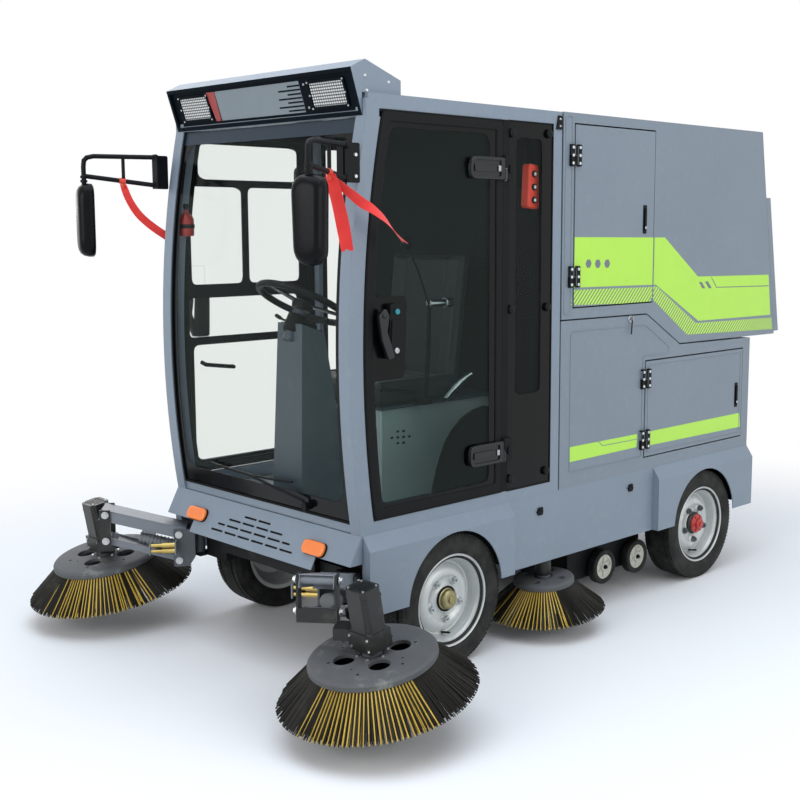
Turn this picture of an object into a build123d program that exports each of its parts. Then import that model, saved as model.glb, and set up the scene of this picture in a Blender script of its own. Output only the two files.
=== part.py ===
from build123d import *
from math import cos, radians, sin
import os

# Compact road sweeper. Millimetres, +Z up, nose towards -Y, the driver's left towards +X.
# The origin is on the ground at the middle of the machine's outline.

os.makedirs("parts", exist_ok=True)

# ---------------------------------------------------------------- driving dimensions
FRONT_AXLE_Y = -716.0      # station zero: every length along the machine counts from here
WHEELBASE = 1710.0
WHEEL_X = 541.0            # middle plane of each road wheel
TYRE_R = 266.0
TYRE_W = 155.0
FLANGE_R = 182.0           # thirteen-inch rim
BARREL_R = 165.0
BARREL_WALL = 5.0
RIM_W = 138.0
SHEET = 5.0                # body panels, folded edge included
FIT = 0.3                  # gap between curved faces that sit on each other
SPIN_FIT = 0.05            # radial clearance on a turning shaft
PANEL_GAP = 6.0            # shut line round doors and lids

BODY_X = 600.0             # flat side of the cab, the cabinet and the bin
FENDER_X = 637.0           # outer face of the mudguards
SILL_Z = 602.0             # where the flat sides meet the chamfer of the mudguards
FENDER_TOP_Z = 548.0
SKIRT_Z = 306.0            # lower edge of mudguards and skirts
ARCH_R = 254.0
ARCH_RISE = 25.0           # arch centre above the axle
FRONT_FENDER = (-446.0, 333.0)
REAR_FENDER = (WHEELBASE - 387.0, WHEELBASE + 421.0)

NOSE_TOP = (-454.0, 602.0)      # station, height of the front panel's upper edge
NOSE_LOW = (-532.0, 455.0)
NOSE_END_Z = 500.0              # lower edge of the panel outside the centre part
NOSE_LOW_X = 402.0              # half width of the deep centre part

SCREEN_BASE = (-454.0, 602.0)   # windscreen outline, station and height
SCREEN_BELLY = (-497.0, 1449.0)
SCREEN_HEAD = (-412.0, 2091.0)
PILLAR_W = 56.0
PILLAR_D = 66.0
ROOF_Z = 2172.0
ROOF_T = 52.0
CAB_REAR = 640.0
CAB_WALL = 24.0
FLOOR_Z = 596.0
GLASS_T = 6.0

DOOR_REAR = 283.0
DOOR_Z = (655.0, 2114.0)
DOOR_FRAME_W = 34.0
DOOR_T = 30.0
QUARTER = (297.0, 596.0)

CABINET_FRONT = 648.0
CABINET_REAR = WHEELBASE + 420.0
BIN_FRONT = 648.0
BIN_TOP_Z = 2174.0
BIN_STEP = ((649.0, 1324.0), (1249.0, 1321.0), (WHEELBASE - 196.0, 1168.0))
BIN_LOW_REAR = (WHEELBASE + 650.0, 1160.0)
BIN_TOP_REAR = WHEELBASE + 478.0
GATE_T = 42.0
GATE_TOP_Z = 1852.0
TIP_PIVOT = (WHEELBASE + 452.0, 1128.0)

BRUSH = (881.0, -651.0, 294.0)  # centre of a front brush's disc top, from the front axle
BRUSH_TILT = 10.0               # forward lean of the brush spindle
DISC_R = 223.0
BRISTLE_R = 349.0
BRISTLE_H = 147.0
WINDOWS = (98.0, 38.0, -28.0)   # ring radius, radius and first angle of the disc's round windows
ARM_ROOT = (520.0, -500.0)      # link pins at the swing bracket
ARM_TIP = (700.0, -734.0)       # link pins at the brush carrier
ARM_ROOT_Z = (432.0, 322.0)     # upper and lower link pins
ARM_RISE = 93.0
SWING_PIN = (478.0, -432.0)

MID_BRUSH = (560.0, 600.0, 228.0)
MID_DISC_R = 130.0
MID_BRISTLE_R = 258.0
MID_BRISTLE_H = 142.0
MID_WINDOWS = (80.0, 16.0, 20.0)


# ---------------------------------------------------------------- helpers
UPWARD = (Align.CENTER, Align.CENTER, Align.MIN)
DOWNWARD = (Align.CENTER, Align.CENTER, Align.MAX)


def st(station):
    """Y of a station counted back from the front axle."""
    return FRONT_AXLE_Y + station


def block(x0, x1, y0, y1, z0, z1):
    """Box between two corners."""
    return Pos((x0 + x1) / 2, (y0 + y1) / 2, (z0 + z1) / 2) * Box(abs(x1 - x0), abs(y1 - y0), abs(z1 - z0))


def side_prism(points, x0, x1):
    """Solid between two X planes from (station, height) corners."""
    outline = Polygon(*[(st(s), z) for s, z in points], align=None)
    return extrude(Pos(x0, 0, 0) * (Plane.YZ * outline), amount=x1 - x0, dir=(1, 0, 0))


def front_prism(points, s0, s1):
    """Solid between two stations from (x, height) corners."""
    plane = Plane((0, st(s0), 0), x_dir=(1, 0, 0), z_dir=(0, -1, 0))
    return extrude(plane * Polygon(*points, align=None), amount=s1 - s0, dir=(0, 1, 0))


def plan_prism(points, z0, z1):
    """Solid between two heights from (x, station) corners."""
    outline = Polygon(*[(x, st(s)) for x, s in points], align=None)
    return extrude(Pos(0, 0, z0) * outline, amount=z1 - z0, dir=(0, 0, 1))


def rod(start, end, radius):
    """Round bar between two points."""
    a, b = Vector(*start), Vector(*end)
    return Plane(a, z_dir=b - a) * Cylinder(radius, (b - a).length, align=UPWARD)


def ring_x(profile, x, y, z):
    """Turned piece about an X axis from (radius, offset along X) corners."""
    outline = Polygon(*[(offset, radius) for radius, offset in profile], align=None)
    turned = revolve(Plane.XY * outline, Axis.X)
    return Pos(x, y, z) * turned


def facet_ring(profile, sides, x, y, z):
    """Closed (radius, offset along X) outline carried round an X axis in flat facets."""
    def corner(radius, offset, k):
        turn = radians(360.0 * k / sides)
        return (x + offset, y + radius * sin(turn), z - radius * cos(turn))
    faces = []
    for (r0, o0), (r1, o1) in zip(profile, profile[1:] + profile[:1]):
        for k in range(sides):
            corners = [corner(r0, o0, k), corner(r1, o1, k), corner(r1, o1, k + 1), corner(r0, o0, k + 1)]
            faces.append(Face(Wire.make_polygon(corners)))
    return Solid(Shell(faces))


def ring_z(profile):
    """Turned piece about the Z axis from (radius, height) corners."""
    return revolve(Plane.XZ * Polygon(*profile, align=None), Axis.Z)


def flip(shape):
    """The same piece on the other side of the machine."""
    return mirror(shape, about=Plane.YZ)


def save(name, *shapes):
    """Write one named piece; several solids that don't touch may share it."""
    solids = []
    for shape in shapes:
        solids.extend(shape.solids())
    export_step(Compound(children=solids), f"parts/{name}.step")


def save_pair(name, shape):
    save(f"{name}_left", shape)
    save(f"{name}_right", flip(shape))


# ---------------------------------------------------------------- road wheels
HUB_BORE_R = 17.0
HUB_R = 44.0
TYRE_SIDES = 48


def tyre(x, y, side):
    half = TYRE_W / 2
    bead = (BARREL_R + FIT) / cos(radians(180.0 / TYRE_SIDES))
    wall = [(bead, 56), (FLANGE_R + 2.5, 59), (FLANGE_R + 8, 70), (TYRE_R - 44, half),
            (TYRE_R - 12, half - 5),
            (TYRE_R, 46)]
    section = [(r, -offset) for r, offset in wall] + wall[::-1]
    return facet_ring(section, TYRE_SIDES, x, y, TYRE_R)


def rim(x, y, side, cap):
    half = RIM_W / 2
    inner = BARREL_R - BARREL_WALL
    section = [(inner, -half), (FLANGE_R, -half), (FLANGE_R, -half + 6), (BARREL_R, -half + 10),
               (BARREL_R, half - 10), (FLANGE_R, half - 6), (FLANGE_R, half), (inner, half - 4),
               (inner, 22), (118, 34), (HUB_R + 22, 22), (HUB_R, 22), (HUB_R, 12), (HUB_R + 24, 12),
               (114, 24), (inner, 12)]
    hub = [(0, 12), (HUB_R, 12), (HUB_R, 60), (30, cap), (0, cap)]
    wheel = revolve(Plane.XY * Polygon(*[(o, r) for r, o in section], align=None), Axis.X)
    wheel += revolve(Plane.XY * Polygon(*[(o, r) for r, o in hub], align=None), Axis.X)
    wheel -= rod((0, 0, 0), (50, 0, 0), HUB_BORE_R + SPIN_FIT)
    if side < 0:
        wheel = mirror(wheel, about=Plane.YZ)
    return Pos(x, y, TYRE_R) * wheel


for corner, station, cap in (("front", 0.0, 66.0), ("rear", WHEELBASE, 86.0)):
    for side_name, side in (("left", 1), ("right", -1)):
        save(f"tyre_{corner}_{side_name}", tyre(side * WHEEL_X, st(station), side))
        save(f"rim_{corner}_{side_name}", rim(side * WHEEL_X, st(station), side, cap))

# ---------------------------------------------------------------- steering knuckles and axles
KINGPIN_X = 500.0
KINGPIN_R = 12.0
BOSS_R = 24.0
BOSS_H = 90.0
ARM_T = 14.0
SPINDLE_END = WHEEL_X + 48.0


def knuckle():
    y0 = st(0)
    top = TYRE_R + BOSS_H / 2 + FIT
    low = TYRE_R - BOSS_H / 2 - FIT
    body = block(KINGPIN_X - 26, KINGPIN_X + 46, y0 - 26, y0 + 26, low - ARM_T, low)
    body += block(KINGPIN_X - 26, KINGPIN_X + 46, y0 - 26, y0 + 26, top, top + ARM_T)
    body += block(KINGPIN_X + 30, KINGPIN_X + 46, y0 - 26, y0 + 26, low - ARM_T, top + ARM_T)
    body += rod((KINGPIN_X, y0, low - ARM_T), (KINGPIN_X, y0, top + ARM_T), KINGPIN_R)
    body += rod((KINGPIN_X + 46, y0, TYRE_R), (SPINDLE_END, y0, TYRE_R), HUB_BORE_R)
    return body


save_pair("knuckle", knuckle())

RAIL_X = (250.0, 310.0)
RAIL_Z = (372.0, 442.0)


SPRING_X = (256.0, 304.0)
SPRING_HALF = 262.0            # half length between the eyes
SPRING_T = 20.0
SPRING_EYE_R = 16.0
SPRING_EYE_Z = RAIL_Z[0] - 26.0
SPRING_CLAMP = 52.0            # half length of the clamp on the axle


def leaf_spring(side, station, seat_z):
    """Leaf spring under a rail: a bowed pack, an eye at each end and the clamp on the axle."""
    x0, x1 = side * SPRING_X[0], side * SPRING_X[1]
    y0 = st(station)
    half, eye = SPRING_HALF, SPRING_EYE_Z
    low = ThreePointArc((y0 - half, eye - SPRING_T / 2), (y0, seat_z), (y0 + half, eye - SPRING_T / 2))
    high = ThreePointArc((y0 - half, eye + SPRING_T / 2), (y0, seat_z + SPRING_T),
                         (y0 + half, eye + SPRING_T / 2))
    outline = make_face([low, high, Line(low @ 0, high @ 0), Line(low @ 1, high @ 1)])
    spring = extrude(Pos(x0, 0, 0) * (Plane.YZ * outline), amount=x1 - x0, dir=(1, 0, 0))
    for y in (y0 - half, y0 + half):
        spring += rod((x0, y, eye), (x1, y, eye), SPRING_EYE_R)
    return spring + block(x0, x1, y0 - SPRING_CLAMP, y0 + SPRING_CLAMP, TYRE_R, seat_z + SPRING_T + 8)


def front_axle():
    y0 = st(0)
    half_boss = BOSS_H / 2
    beam = block(-(KINGPIN_X - 10), KINGPIN_X - 10, y0 - 22, y0 + 22, TYRE_R - 28, TYRE_R + 28)
    for side in (-1, 1):
        beam += rod((side * KINGPIN_X, y0, TYRE_R - half_boss), (side * KINGPIN_X, y0,
                                                                 TYRE_R + half_boss), BOSS_R)
        beam += leaf_spring(side, 0.0, TYRE_R + 28)
    for side in (-1, 1):
        beam -= rod((side * KINGPIN_X, y0, TYRE_R - 60), (side * KINGPIN_X, y0, TYRE_R + 60),
                    KINGPIN_R + SPIN_FIT)
    return beam


def rear_axle():
    y0 = st(WHEELBASE)
    axle = rod((-(WHEEL_X - 30), y0, TYRE_R), (WHEEL_X - 30, y0, TYRE_R), 36)
    axle += rod((-SPINDLE_END, y0, TYRE_R), (SPINDLE_END, y0, TYRE_R), HUB_BORE_R)
    axle += rod((-105, y0, TYRE_R), (105, y0, TYRE_R), 105)
    axle += rod((0, y0 - 240, TYRE_R + 10), (0, y0, TYRE_R + 10), 92)
    for side in (-1, 1):
        axle += rod((side * (WHEEL_X - 60), y0, TYRE_R), (side * (WHEEL_X - 12), y0, TYRE_R), 118)
        axle += leaf_spring(side, WHEELBASE, TYRE_R + 36)
    return axle


save("rear_axle", rear_axle())

# ---------------------------------------------------------------- chassis frame
FRAME_FRONT = -440.0
FRAME_REAR = WHEELBASE + 408.0
SWING_R = 12.0
SWING_Z = (336.0, 436.0)       # the swing bracket's tube, between the frame's two lugs
LUG_T = 12.0
TOW_HOLE_S = WHEELBASE + 450.0
TOW_HOLE_R = 13.0
TOW_T = 20.0
FENDER_IN = FENDER_X - SHEET
OUTRIGGERS = ((-360.0, -330.0, FENDER_IN), (640.0, 680.0, BODY_X - SHEET),
              (WHEELBASE - 330.0, WHEELBASE - 290.0, FENDER_IN), (WHEELBASE + 350.0, WHEELBASE + 390.0,
                                                                  FENDER_IN))
POSTS = ((-360.0, -300.0, FLOOR_Z - 6.0), (560.0, 620.0, FLOOR_Z - 6.0), (1000.0, 1060.0, SILL_Z),
         (WHEELBASE + 340.0, WHEELBASE + 400.0, SILL_Z))
CROSS_MEMBERS = ((FRAME_FRONT, FRAME_FRONT + 60.0), (500.0, 560.0), (1000.0, 1060.0),
                 (WHEELBASE + 330.0, FRAME_REAR))


OUTRIGGER_Z = (RAIL_Z[1] - 34.0, RAIL_Z[1] + 34.0)


def rail(side):
    """Long rail with its cab and cabinet posts and the spring hangers under it."""
    x0, x1 = side * RAIL_X[0], side * RAIL_X[1]
    piece = block(x0, x1, st(FRAME_FRONT), st(FRAME_REAR), *RAIL_Z)
    for s0, s1, top in POSTS:
        piece += block(x0, x1, st(s0), st(s1), RAIL_Z[1] - 1, top)
    for station in (-SPRING_HALF, SPRING_HALF, WHEELBASE - SPRING_HALF, WHEELBASE + SPRING_HALF):
        piece += block(side * SPRING_X[0], side * SPRING_X[1], st(station - SPRING_EYE_R),
                       st(station + SPRING_EYE_R),
                       SPRING_EYE_Z + SPRING_EYE_R + FIT, RAIL_Z[0] + 1)
    return piece


def swing_lugs(side):
    """Bracket bolted to a rail, with the upright pin that a brush arm swings on."""
    pin_x, pin_s = SWING_PIN
    low, high = SWING_Z[0] - FIT - LUG_T, SWING_Z[1] + FIT + LUG_T
    rear = FRAME_FRONT + 60
    piece = block(side * (RAIL_X[1] + FIT), side * (pin_x - 24), st(rear - 34), st(rear), low, high)
    for z0, z1 in ((low, low + LUG_T), (high - LUG_T, high)):
        piece += block(side * (pin_x - 30), side * (pin_x + 20), st(pin_s - 20), st(rear), z0, z1)
    return piece + rod((side * pin_x, st(pin_s), low), (side * pin_x, st(pin_s), high), SWING_R)


def chassis_frame():
    """The bolted ladder frame: rails, cross members, outriggers and the brush arms' lugs."""
    pieces = []
    for s0, s1 in CROSS_MEMBERS:
        half = RAIL_X[0] - FIT
        pieces.append(block(-half, half, st(s0), st(s1), *RAIL_Z))
    tow_plate = block(-60, 60, st(FRAME_REAR - 1), st(TOW_HOLE_S + 34), RAIL_Z[0], RAIL_Z[0] + TOW_T)
    tow_plate -= rod((0, st(TOW_HOLE_S), RAIL_Z[0] - 1), (0, st(TOW_HOLE_S), RAIL_Z[0] + TOW_T + 1),
                     TOW_HOLE_R)
    pieces[-1] += tow_plate
    for side in (-1, 1):
        pieces.append(rail(side))
        pieces.append(swing_lugs(side))
        for s0, s1, reach in OUTRIGGERS:
            pieces.append(block(side * (RAIL_X[1] + FIT), side * reach, st(s0), st(s1), *OUTRIGGER_Z))
    return pieces


save("chassis_frame", *chassis_frame())
save("front_axle", front_axle())

# ---------------------------------------------------------------- mudguards, skirts and sills


def shell_section(outer_x):
    """Folded sheet seen from the front: (x, height) corners, open towards the machine."""
    return [(BODY_X - 40, SILL_Z), (BODY_X, SILL_Z), (outer_x, FENDER_TOP_Z), (outer_x, SKIRT_Z),
            (outer_x - SHEET, SKIRT_Z), (outer_x - SHEET, FENDER_TOP_Z - 2), (BODY_X - 3, SILL_Z - SHEET),
            (BODY_X - 40, SILL_Z - SHEET)]


def side_shell():
    shell = front_prism(shell_section(FENDER_X), *FRONT_FENDER)
    shell += front_prism(shell_section(FENDER_X), *REAR_FENDER)
    skirt = [(BODY_X - 40, SILL_Z), (BODY_X, SILL_Z), (BODY_X, SKIRT_Z), (BODY_X - SHEET, SKIRT_Z),
             (BODY_X - SHEET, SILL_Z - SHEET), (BODY_X - 40, SILL_Z - SHEET)]
    shell += front_prism(skirt, FRONT_FENDER[1] - 1, REAR_FENDER[0] + 1)
    ends = ((FRONT_FENDER[0], SHEET), (FRONT_FENDER[1] - SHEET, SHEET), (REAR_FENDER[0], SHEET),
            (REAR_FENDER[1] - SHEET, SHEET))
    for s0, thick in ends:
        web = [(BODY_X - SHEET, SILL_Z), (BODY_X, SILL_Z), (FENDER_X, FENDER_TOP_Z), (FENDER_X, SKIRT_Z),
               (BODY_X - SHEET, SKIRT_Z)]
        shell += front_prism(web, s0, s0 + thick)
    for station in (0.0, WHEELBASE):
        centre = (st(station), TYRE_R + ARCH_RISE)
        shell -= rod((BODY_X - 60, *centre), (FENDER_X + 20, *centre), ARCH_R)
    return shell


left_shell = side_shell()
save("side_shell", left_shell, flip(left_shell))

# ---------------------------------------------------------------- front panel


GRILLE_PITCH = 91.0
GRILLE_GAP = 12.0
GRILLE_SLOT_H = 8.0
GRILLE_ROWS = ((490.0, 280.0), (514.5, 238.0), (538.5, 180.0),
               (562.0, 86.0))   # height, half width of a row


def nose_plane(x, z):
    """Plane lying on the sloping front panel at a place, its normal pointing out."""
    (s0, z0), (s1, z1) = NOSE_TOP, NOSE_LOW
    s = s0 + (s1 - s0) * (z0 - z) / (z0 - z1)
    return Plane((x, st(s), z), x_dir=(1, 0, 0), z_dir=(0, z1 - z0, s0 - s1))


def grille_slots():
    """Rows of slots on one pitch, the outer ones cut short where a row ends."""
    slots = []
    for z, half in GRILLE_ROWS:
        for cell in range(int(half // GRILLE_PITCH) + 1):
            near = cell * GRILLE_PITCH + GRILLE_GAP / 2
            far = min((cell + 1) * GRILLE_PITCH - GRILLE_GAP / 2, half)
            if far - near < 2 * GRILLE_SLOT_H:
                continue
            for side in (-1, 1):
                place = nose_plane(side * (near + far) / 2, z)
                slots.append(extrude(place * SlotOverall(far - near, GRILLE_SLOT_H), amount=3 * SHEET,
                                     both=True))
    return slots


def front_panel():
    top, low = NOSE_TOP, NOSE_LOW
    slope = (low[0] - top[0]) / (low[1] - top[1])
    end_s = top[0] + slope * (NOSE_END_Z - top[1])
    centre = side_prism([top, low, (low[0] + SHEET, low[1]), (top[0] + SHEET, top[1])], -NOSE_LOW_X,
                        NOSE_LOW_X)
    full = side_prism([top, (end_s, NOSE_END_Z), (end_s + SHEET, NOSE_END_Z), (top[0] + SHEET, top[1])],
                      -BODY_X, BODY_X)
    panel = centre + full
    for side in (-1, 1):
        panel += side_prism([top, (end_s, NOSE_END_Z), (FRONT_FENDER[0] - 1, NOSE_END_Z),
                             (FRONT_FENDER[0] - 1, top[1])], side * (BODY_X - SHEET), side * BODY_X)
        lug_top = FLOOR_Z - 6
        panel += side_prism([(top[0] + slope * (lug_top - top[1]), lug_top),
                             (top[0] + slope * (lug_top - 16 - top[1]), lug_top - 16),
                             (-380, lug_top - 16), (-380, lug_top)], side * 300, side * 330)
    for slot in grille_slots():
        panel -= slot
    return panel


save("front_panel", front_panel())

# ---------------------------------------------------------------- cab


def belly_face(inset_front, inset_rear, z0=None, z1=None):
    """Side outline between two curves parallel to the windscreen, as a face in the YZ plane."""
    def curve(inset):
        pts = [(st(s + inset), z) for s, z in (SCREEN_BASE, SCREEN_BELLY, SCREEN_HEAD)]
        return ThreePointArc(*pts)
    front, rear = curve(inset_front), curve(inset_rear)
    foot = Line(front @ 0, rear @ 0)
    head = Line(front @ 1, rear @ 1)
    return make_face([front, foot, rear, head])


def belly_prism(inset_front, inset_rear, x0, x1):
    face = Plane.YZ * belly_face(inset_front, inset_rear)
    return extrude(Pos(x0, 0, 0) * face, amount=x1 - x0, dir=(1, 0, 0))


def cab_frame():
    inner = BODY_X - PILLAR_W
    base = SILL_Z
    frame = side_prism([(SCREEN_HEAD[0], ROOF_Z - ROOF_T - 28), (SCREEN_HEAD[0] + 12, ROOF_Z),
                        (CAB_REAR, ROOF_Z),
                        (CAB_REAR, ROOF_Z - ROOF_T), (SCREEN_HEAD[0] + 60, ROOF_Z - ROOF_T),
                        (SCREEN_HEAD[0] + 40, ROOF_Z - ROOF_T - 28)], -BODY_X, BODY_X)
    frame += block(-BODY_X, BODY_X, st(CAB_REAR - CAB_WALL), st(CAB_REAR), base, ROOF_Z)
    frame += block(-inner - 1, inner + 1, st(SCREEN_BASE[0] + 8), st(SCREEN_BASE[0] + PILLAR_D), base,
                   base + 34)
    for side in (-1, 1):
        frame += belly_prism(0, PILLAR_D, side * inner, side * BODY_X)
        frame += side_prism([(SCREEN_HEAD[0], SCREEN_HEAD[1] - 4), (SCREEN_HEAD[0], ROOF_Z - 20),
                             (SCREEN_HEAD[0] + 200, ROOF_Z - 20), (SCREEN_HEAD[0] + 200, ROOF_Z - ROOF_T),
                             (SCREEN_HEAD[0] + PILLAR_D - 6,
                              ROOF_Z - ROOF_T), (SCREEN_HEAD[0] + PILLAR_D - 6, SCREEN_HEAD[1] - 4)],
                            side * inner, side * BODY_X)
        frame += block(side * inner, side * BODY_X, st(SCREEN_BASE[0] + 4), st(CAB_REAR - 4), base,
                       DOOR_Z[0] - 7)
        frame += block(side * inner, side * BODY_X, st(DOOR_REAR + 3), st(QUARTER[0] + 20), base,
                       ROOF_Z - 10)
        frame += block(side * inner, side * BODY_X, st(QUARTER[1] - 10), st(CAB_REAR), base, ROOF_Z - 10)
    return frame


save("cab_floor", block(-(BODY_X - 42), BODY_X - 42, st(-440), st(CAB_REAR - CAB_WALL), FLOOR_Z - 6,
                        FLOOR_Z))


def cab_glass():
    inner = BODY_X - PILLAR_W
    screen = belly_prism(14, 14 + GLASS_T, -inner + 0.5, inner - 0.5)
    screen -= block(-inner, inner, st(-600), st(0), SILL_Z - 5, SILL_Z + 35)
    pane = block(BODY_X - 4 - GLASS_T, BODY_X - 4, st(QUARTER[0] + 20), st(QUARTER[1] - 10), DOOR_Z[0] - 7,
                 ROOF_Z - ROOF_T)
    return screen, pane, flip(pane)


save("cab_glass", *cab_glass())

# ---------------------------------------------------------------- lamp box above the windscreen
LAMP_BOX_X = 581.0
LAMP_BOX_BASE = (-413.5, 2094.0)
LAMP_BOX_BROW = (-465.0, 2254.0)
LAMP_BOX_RIDGE = (-399.0, 2286.0)
LAMP_BOX_TAIL = (-232.0, 2225.0)
RECESS = 12.0
RECESS_RIM = 14.0
HEAD_LAMP_X = (318.0, 520.0)
HEAD_LAMP_W = (0.2, 0.8)       # share of the front face's height that a lamp covers


def brow_point(share, inset):
    """Point on the lamp box's front face, up it by a share and behind it by an inset."""
    (s0, z0), (s1, z1) = LAMP_BOX_BASE, LAMP_BOX_BROW
    length = ((s1 - s0) ** 2 + (z1 - z0) ** 2) ** 0.5
    normal_s, normal_z = (z1 - z0) / length, -(s1 - s0) / length
    return (s0 + (s1 - s0) * share + normal_s * inset, z0 + (z1 - z0) * share + normal_z * inset)


def brow_slab(share0, share1, inset0, inset1, x0, x1):
    corners = [brow_point(share0, inset0), brow_point(share1, inset0), brow_point(share1, inset1),
               brow_point(share0, inset1)]
    return side_prism(corners, x0, x1)


def lamp_box():
    seat = ROOF_Z + FIT
    outer = [LAMP_BOX_BASE, LAMP_BOX_BROW, LAMP_BOX_RIDGE, LAMP_BOX_TAIL, (LAMP_BOX_TAIL[0], seat),
             (LAMP_BOX_BASE[0], seat)]
    box = side_prism(outer, -LAMP_BOX_X, LAMP_BOX_X)
    hollow = [(LAMP_BOX_BASE[0] + 6, ROOF_Z - 1), brow_point(0.6, RECESS + 6), brow_point(0.93, RECESS + 6),
              (LAMP_BOX_RIDGE[0], LAMP_BOX_RIDGE[1] - 8), (LAMP_BOX_TAIL[0] - 6, LAMP_BOX_TAIL[1] - 5),
              (LAMP_BOX_TAIL[0] - 6, ROOF_Z - 1)]
    box -= side_prism(hollow, -(LAMP_BOX_X - 5), LAMP_BOX_X - 5)
    rim_share = RECESS_RIM / 168.0
    box -= brow_slab(rim_share, 1 - rim_share, -5, RECESS, -(LAMP_BOX_X - RECESS_RIM),
                     LAMP_BOX_X - RECESS_RIM)
    return box


def head_lamp(side):
    low, high = HEAD_LAMP_W
    return brow_slab(low, high, 1, RECESS, side * HEAD_LAMP_X[0], side * HEAD_LAMP_X[1])


save("lamp_box", lamp_box())
save("head_lamps", head_lamp(1), head_lamp(-1))

MARKER = (386.0, 0.52)          # half spacing, share of the front panel's height from its top
MARKER_SIZE = (96.0, 44.0, 18.0)


def marker_lamp(side):
    z = NOSE_TOP[1] + (NOSE_LOW[1] - NOSE_TOP[1]) * MARKER[1]
    wide, high, deep = MARKER_SIZE
    return extrude(nose_plane(side * MARKER[0], z) * SlotOverall(wide, high), amount=deep)


save("marker_lamps", marker_lamp(1), marker_lamp(-1))

# ---------------------------------------------------------------- hinges of doors and hatches
HINGE_R = 8.0
HINGE_PIN_R = 4.0
LEAF_OUT = 4.0                 # how far a leaf stands out past the hinge's axis


def hinge(x, hinge_s, z, half, door_reach, post_reach, door_face):
    """Door leaf and post leaf of one hinge; reaches are signed lengths along the machine."""
    away = HINGE_R + 1.5 if door_reach > 0 else -HINGE_R - 1.5
    outer = x + LEAF_OUT
    door_leaf = block(x - LEAF_OUT, outer, st(hinge_s), st(hinge_s + door_reach), z - half, z - FIT)
    door_leaf += block(door_face - 1, outer, st(hinge_s + away), st(hinge_s + door_reach), z - half,
                       z + half)
    door_leaf += rod((x, st(hinge_s), z - half), (x, st(hinge_s), z - FIT), HINGE_R)
    door_leaf -= rod((x, st(hinge_s), z - half - 1), (x, st(hinge_s), z), HINGE_PIN_R + SPIN_FIT)
    post_leaf = block(x - LEAF_OUT, outer, st(hinge_s), st(hinge_s + post_reach), z + FIT, z + half)
    post_away = HINGE_R + 1.5 if post_reach > 0 else -HINGE_R - 1.5
    post_leaf += block(BODY_X - 1, outer, st(hinge_s + post_away), st(hinge_s + post_reach), z + FIT,
                       z + half)
    post_leaf += rod((x, st(hinge_s), z + FIT), (x, st(hinge_s), z + half), HINGE_R)
    post_leaf += rod((x, st(hinge_s), z - half + 2), (x, st(hinge_s), z + half), HINGE_PIN_R)
    return door_leaf, post_leaf


# ---------------------------------------------------------------- cab doors
DOOR_FACE_X = BODY_X + 4
CAB_HINGE = (DOOR_FACE_X + 5, DOOR_REAR + 9)
CAB_HINGE_Z = (821.0, 1932.0)
DOOR_FRONT_INSET = PILLAR_D + 7
LATCH_S = (-392.0, -296.0)
LATCH_Z = (1212.0, 1540.0)
LATCH_OUT = 34.0
LATCH_IN = 26.0


def door_face(shrink):
    """Door outline shrunk by a margin, its front edge parallel to the windscreen pillar."""
    inset = DOOR_FRONT_INSET + shrink
    head = (SCREEN_HEAD[0] + 8, 2120.0)
    edge = ThreePointArc(*[(st(s + inset), z) for s, z in (SCREEN_BASE, SCREEN_BELLY, head)])
    rear = st(DOOR_REAR - shrink)
    foot_y, foot_z = (edge @ 0).X, (edge @ 0).Y
    head_y, head_z = (edge @ 1).X, (edge @ 1).Y
    outline = make_face([edge, Line((foot_y, foot_z), (rear, foot_z)), Line((rear, foot_z), (rear, head_z)),
                         Line((rear, head_z), (head_y, head_z))])
    low, high = DOOR_Z[0] + shrink, DOOR_Z[1] - shrink
    return outline & (Pos(st(0), (low + high) / 2) * Rectangle(3000, high - low))


def door_slab(shrink, x0, x1):
    return extrude(Pos(x0, 0, 0) * (Plane.YZ * door_face(shrink)), amount=x1 - x0, dir=(1, 0, 0))


def door_frame():
    x1 = DOOR_FACE_X
    frame = door_slab(0, x1 - DOOR_T, x1) - door_slab(DOOR_FRAME_W, x1 - DOOR_T - 5, x1 + 5)
    for z in CAB_HINGE_Z:
        frame += hinge(*CAB_HINGE, z, 48, -130, 40, x1)[0]
    frame += block(x1 - DOOR_T - LATCH_IN, x1 + LATCH_OUT, st(LATCH_S[0]), st(LATCH_S[1]), *LATCH_Z)
    return frame


def door_glass():
    x1 = DOOR_FACE_X - 6
    pane = door_slab(DOOR_FRAME_W + FIT, x1 - GLASS_T, x1)
    return pane - block(500, 700, st(LATCH_S[0] - 10), st(LATCH_S[1] + FIT), LATCH_Z[0] - FIT,
                        LATCH_Z[1] + FIT)


full_frame = cab_frame()
for hinge_z in CAB_HINGE_Z:
    leaf = hinge(*CAB_HINGE, hinge_z, 48, -130, 40, DOOR_FACE_X)[1]
    full_frame += leaf
    full_frame += flip(leaf)
save("cab_frame", full_frame)
save_pair("door_frame", door_frame())
save_pair("door_glass", door_glass())

# ---------------------------------------------------------------- inside the cab
STEER_CENTRE = (0.0, -232.0, 1405.0)
STEER_TILT = 28.0
STEER_R = 185.0
STEER_GRIP_R = 14.0
STEER_SHAFT_R = 11.0
COLUMN_R = 26.0
COLUMN_TOP = -34.0


def steer_frame():
    x, s, z = STEER_CENTRE
    return Pos(x, st(s), z) * Rot(-STEER_TILT, 0, 0)


POD_X = (95.0, 78.0)           # half width at the floor and at the top
POD_FOOT = (-98.0, 162.0)      # stations ahead of and behind the steering wheel's middle
POD_HEAD = ((-68.0, 1330.0), (42.0, 1290.0))   # station from the wheel's middle, height


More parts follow.
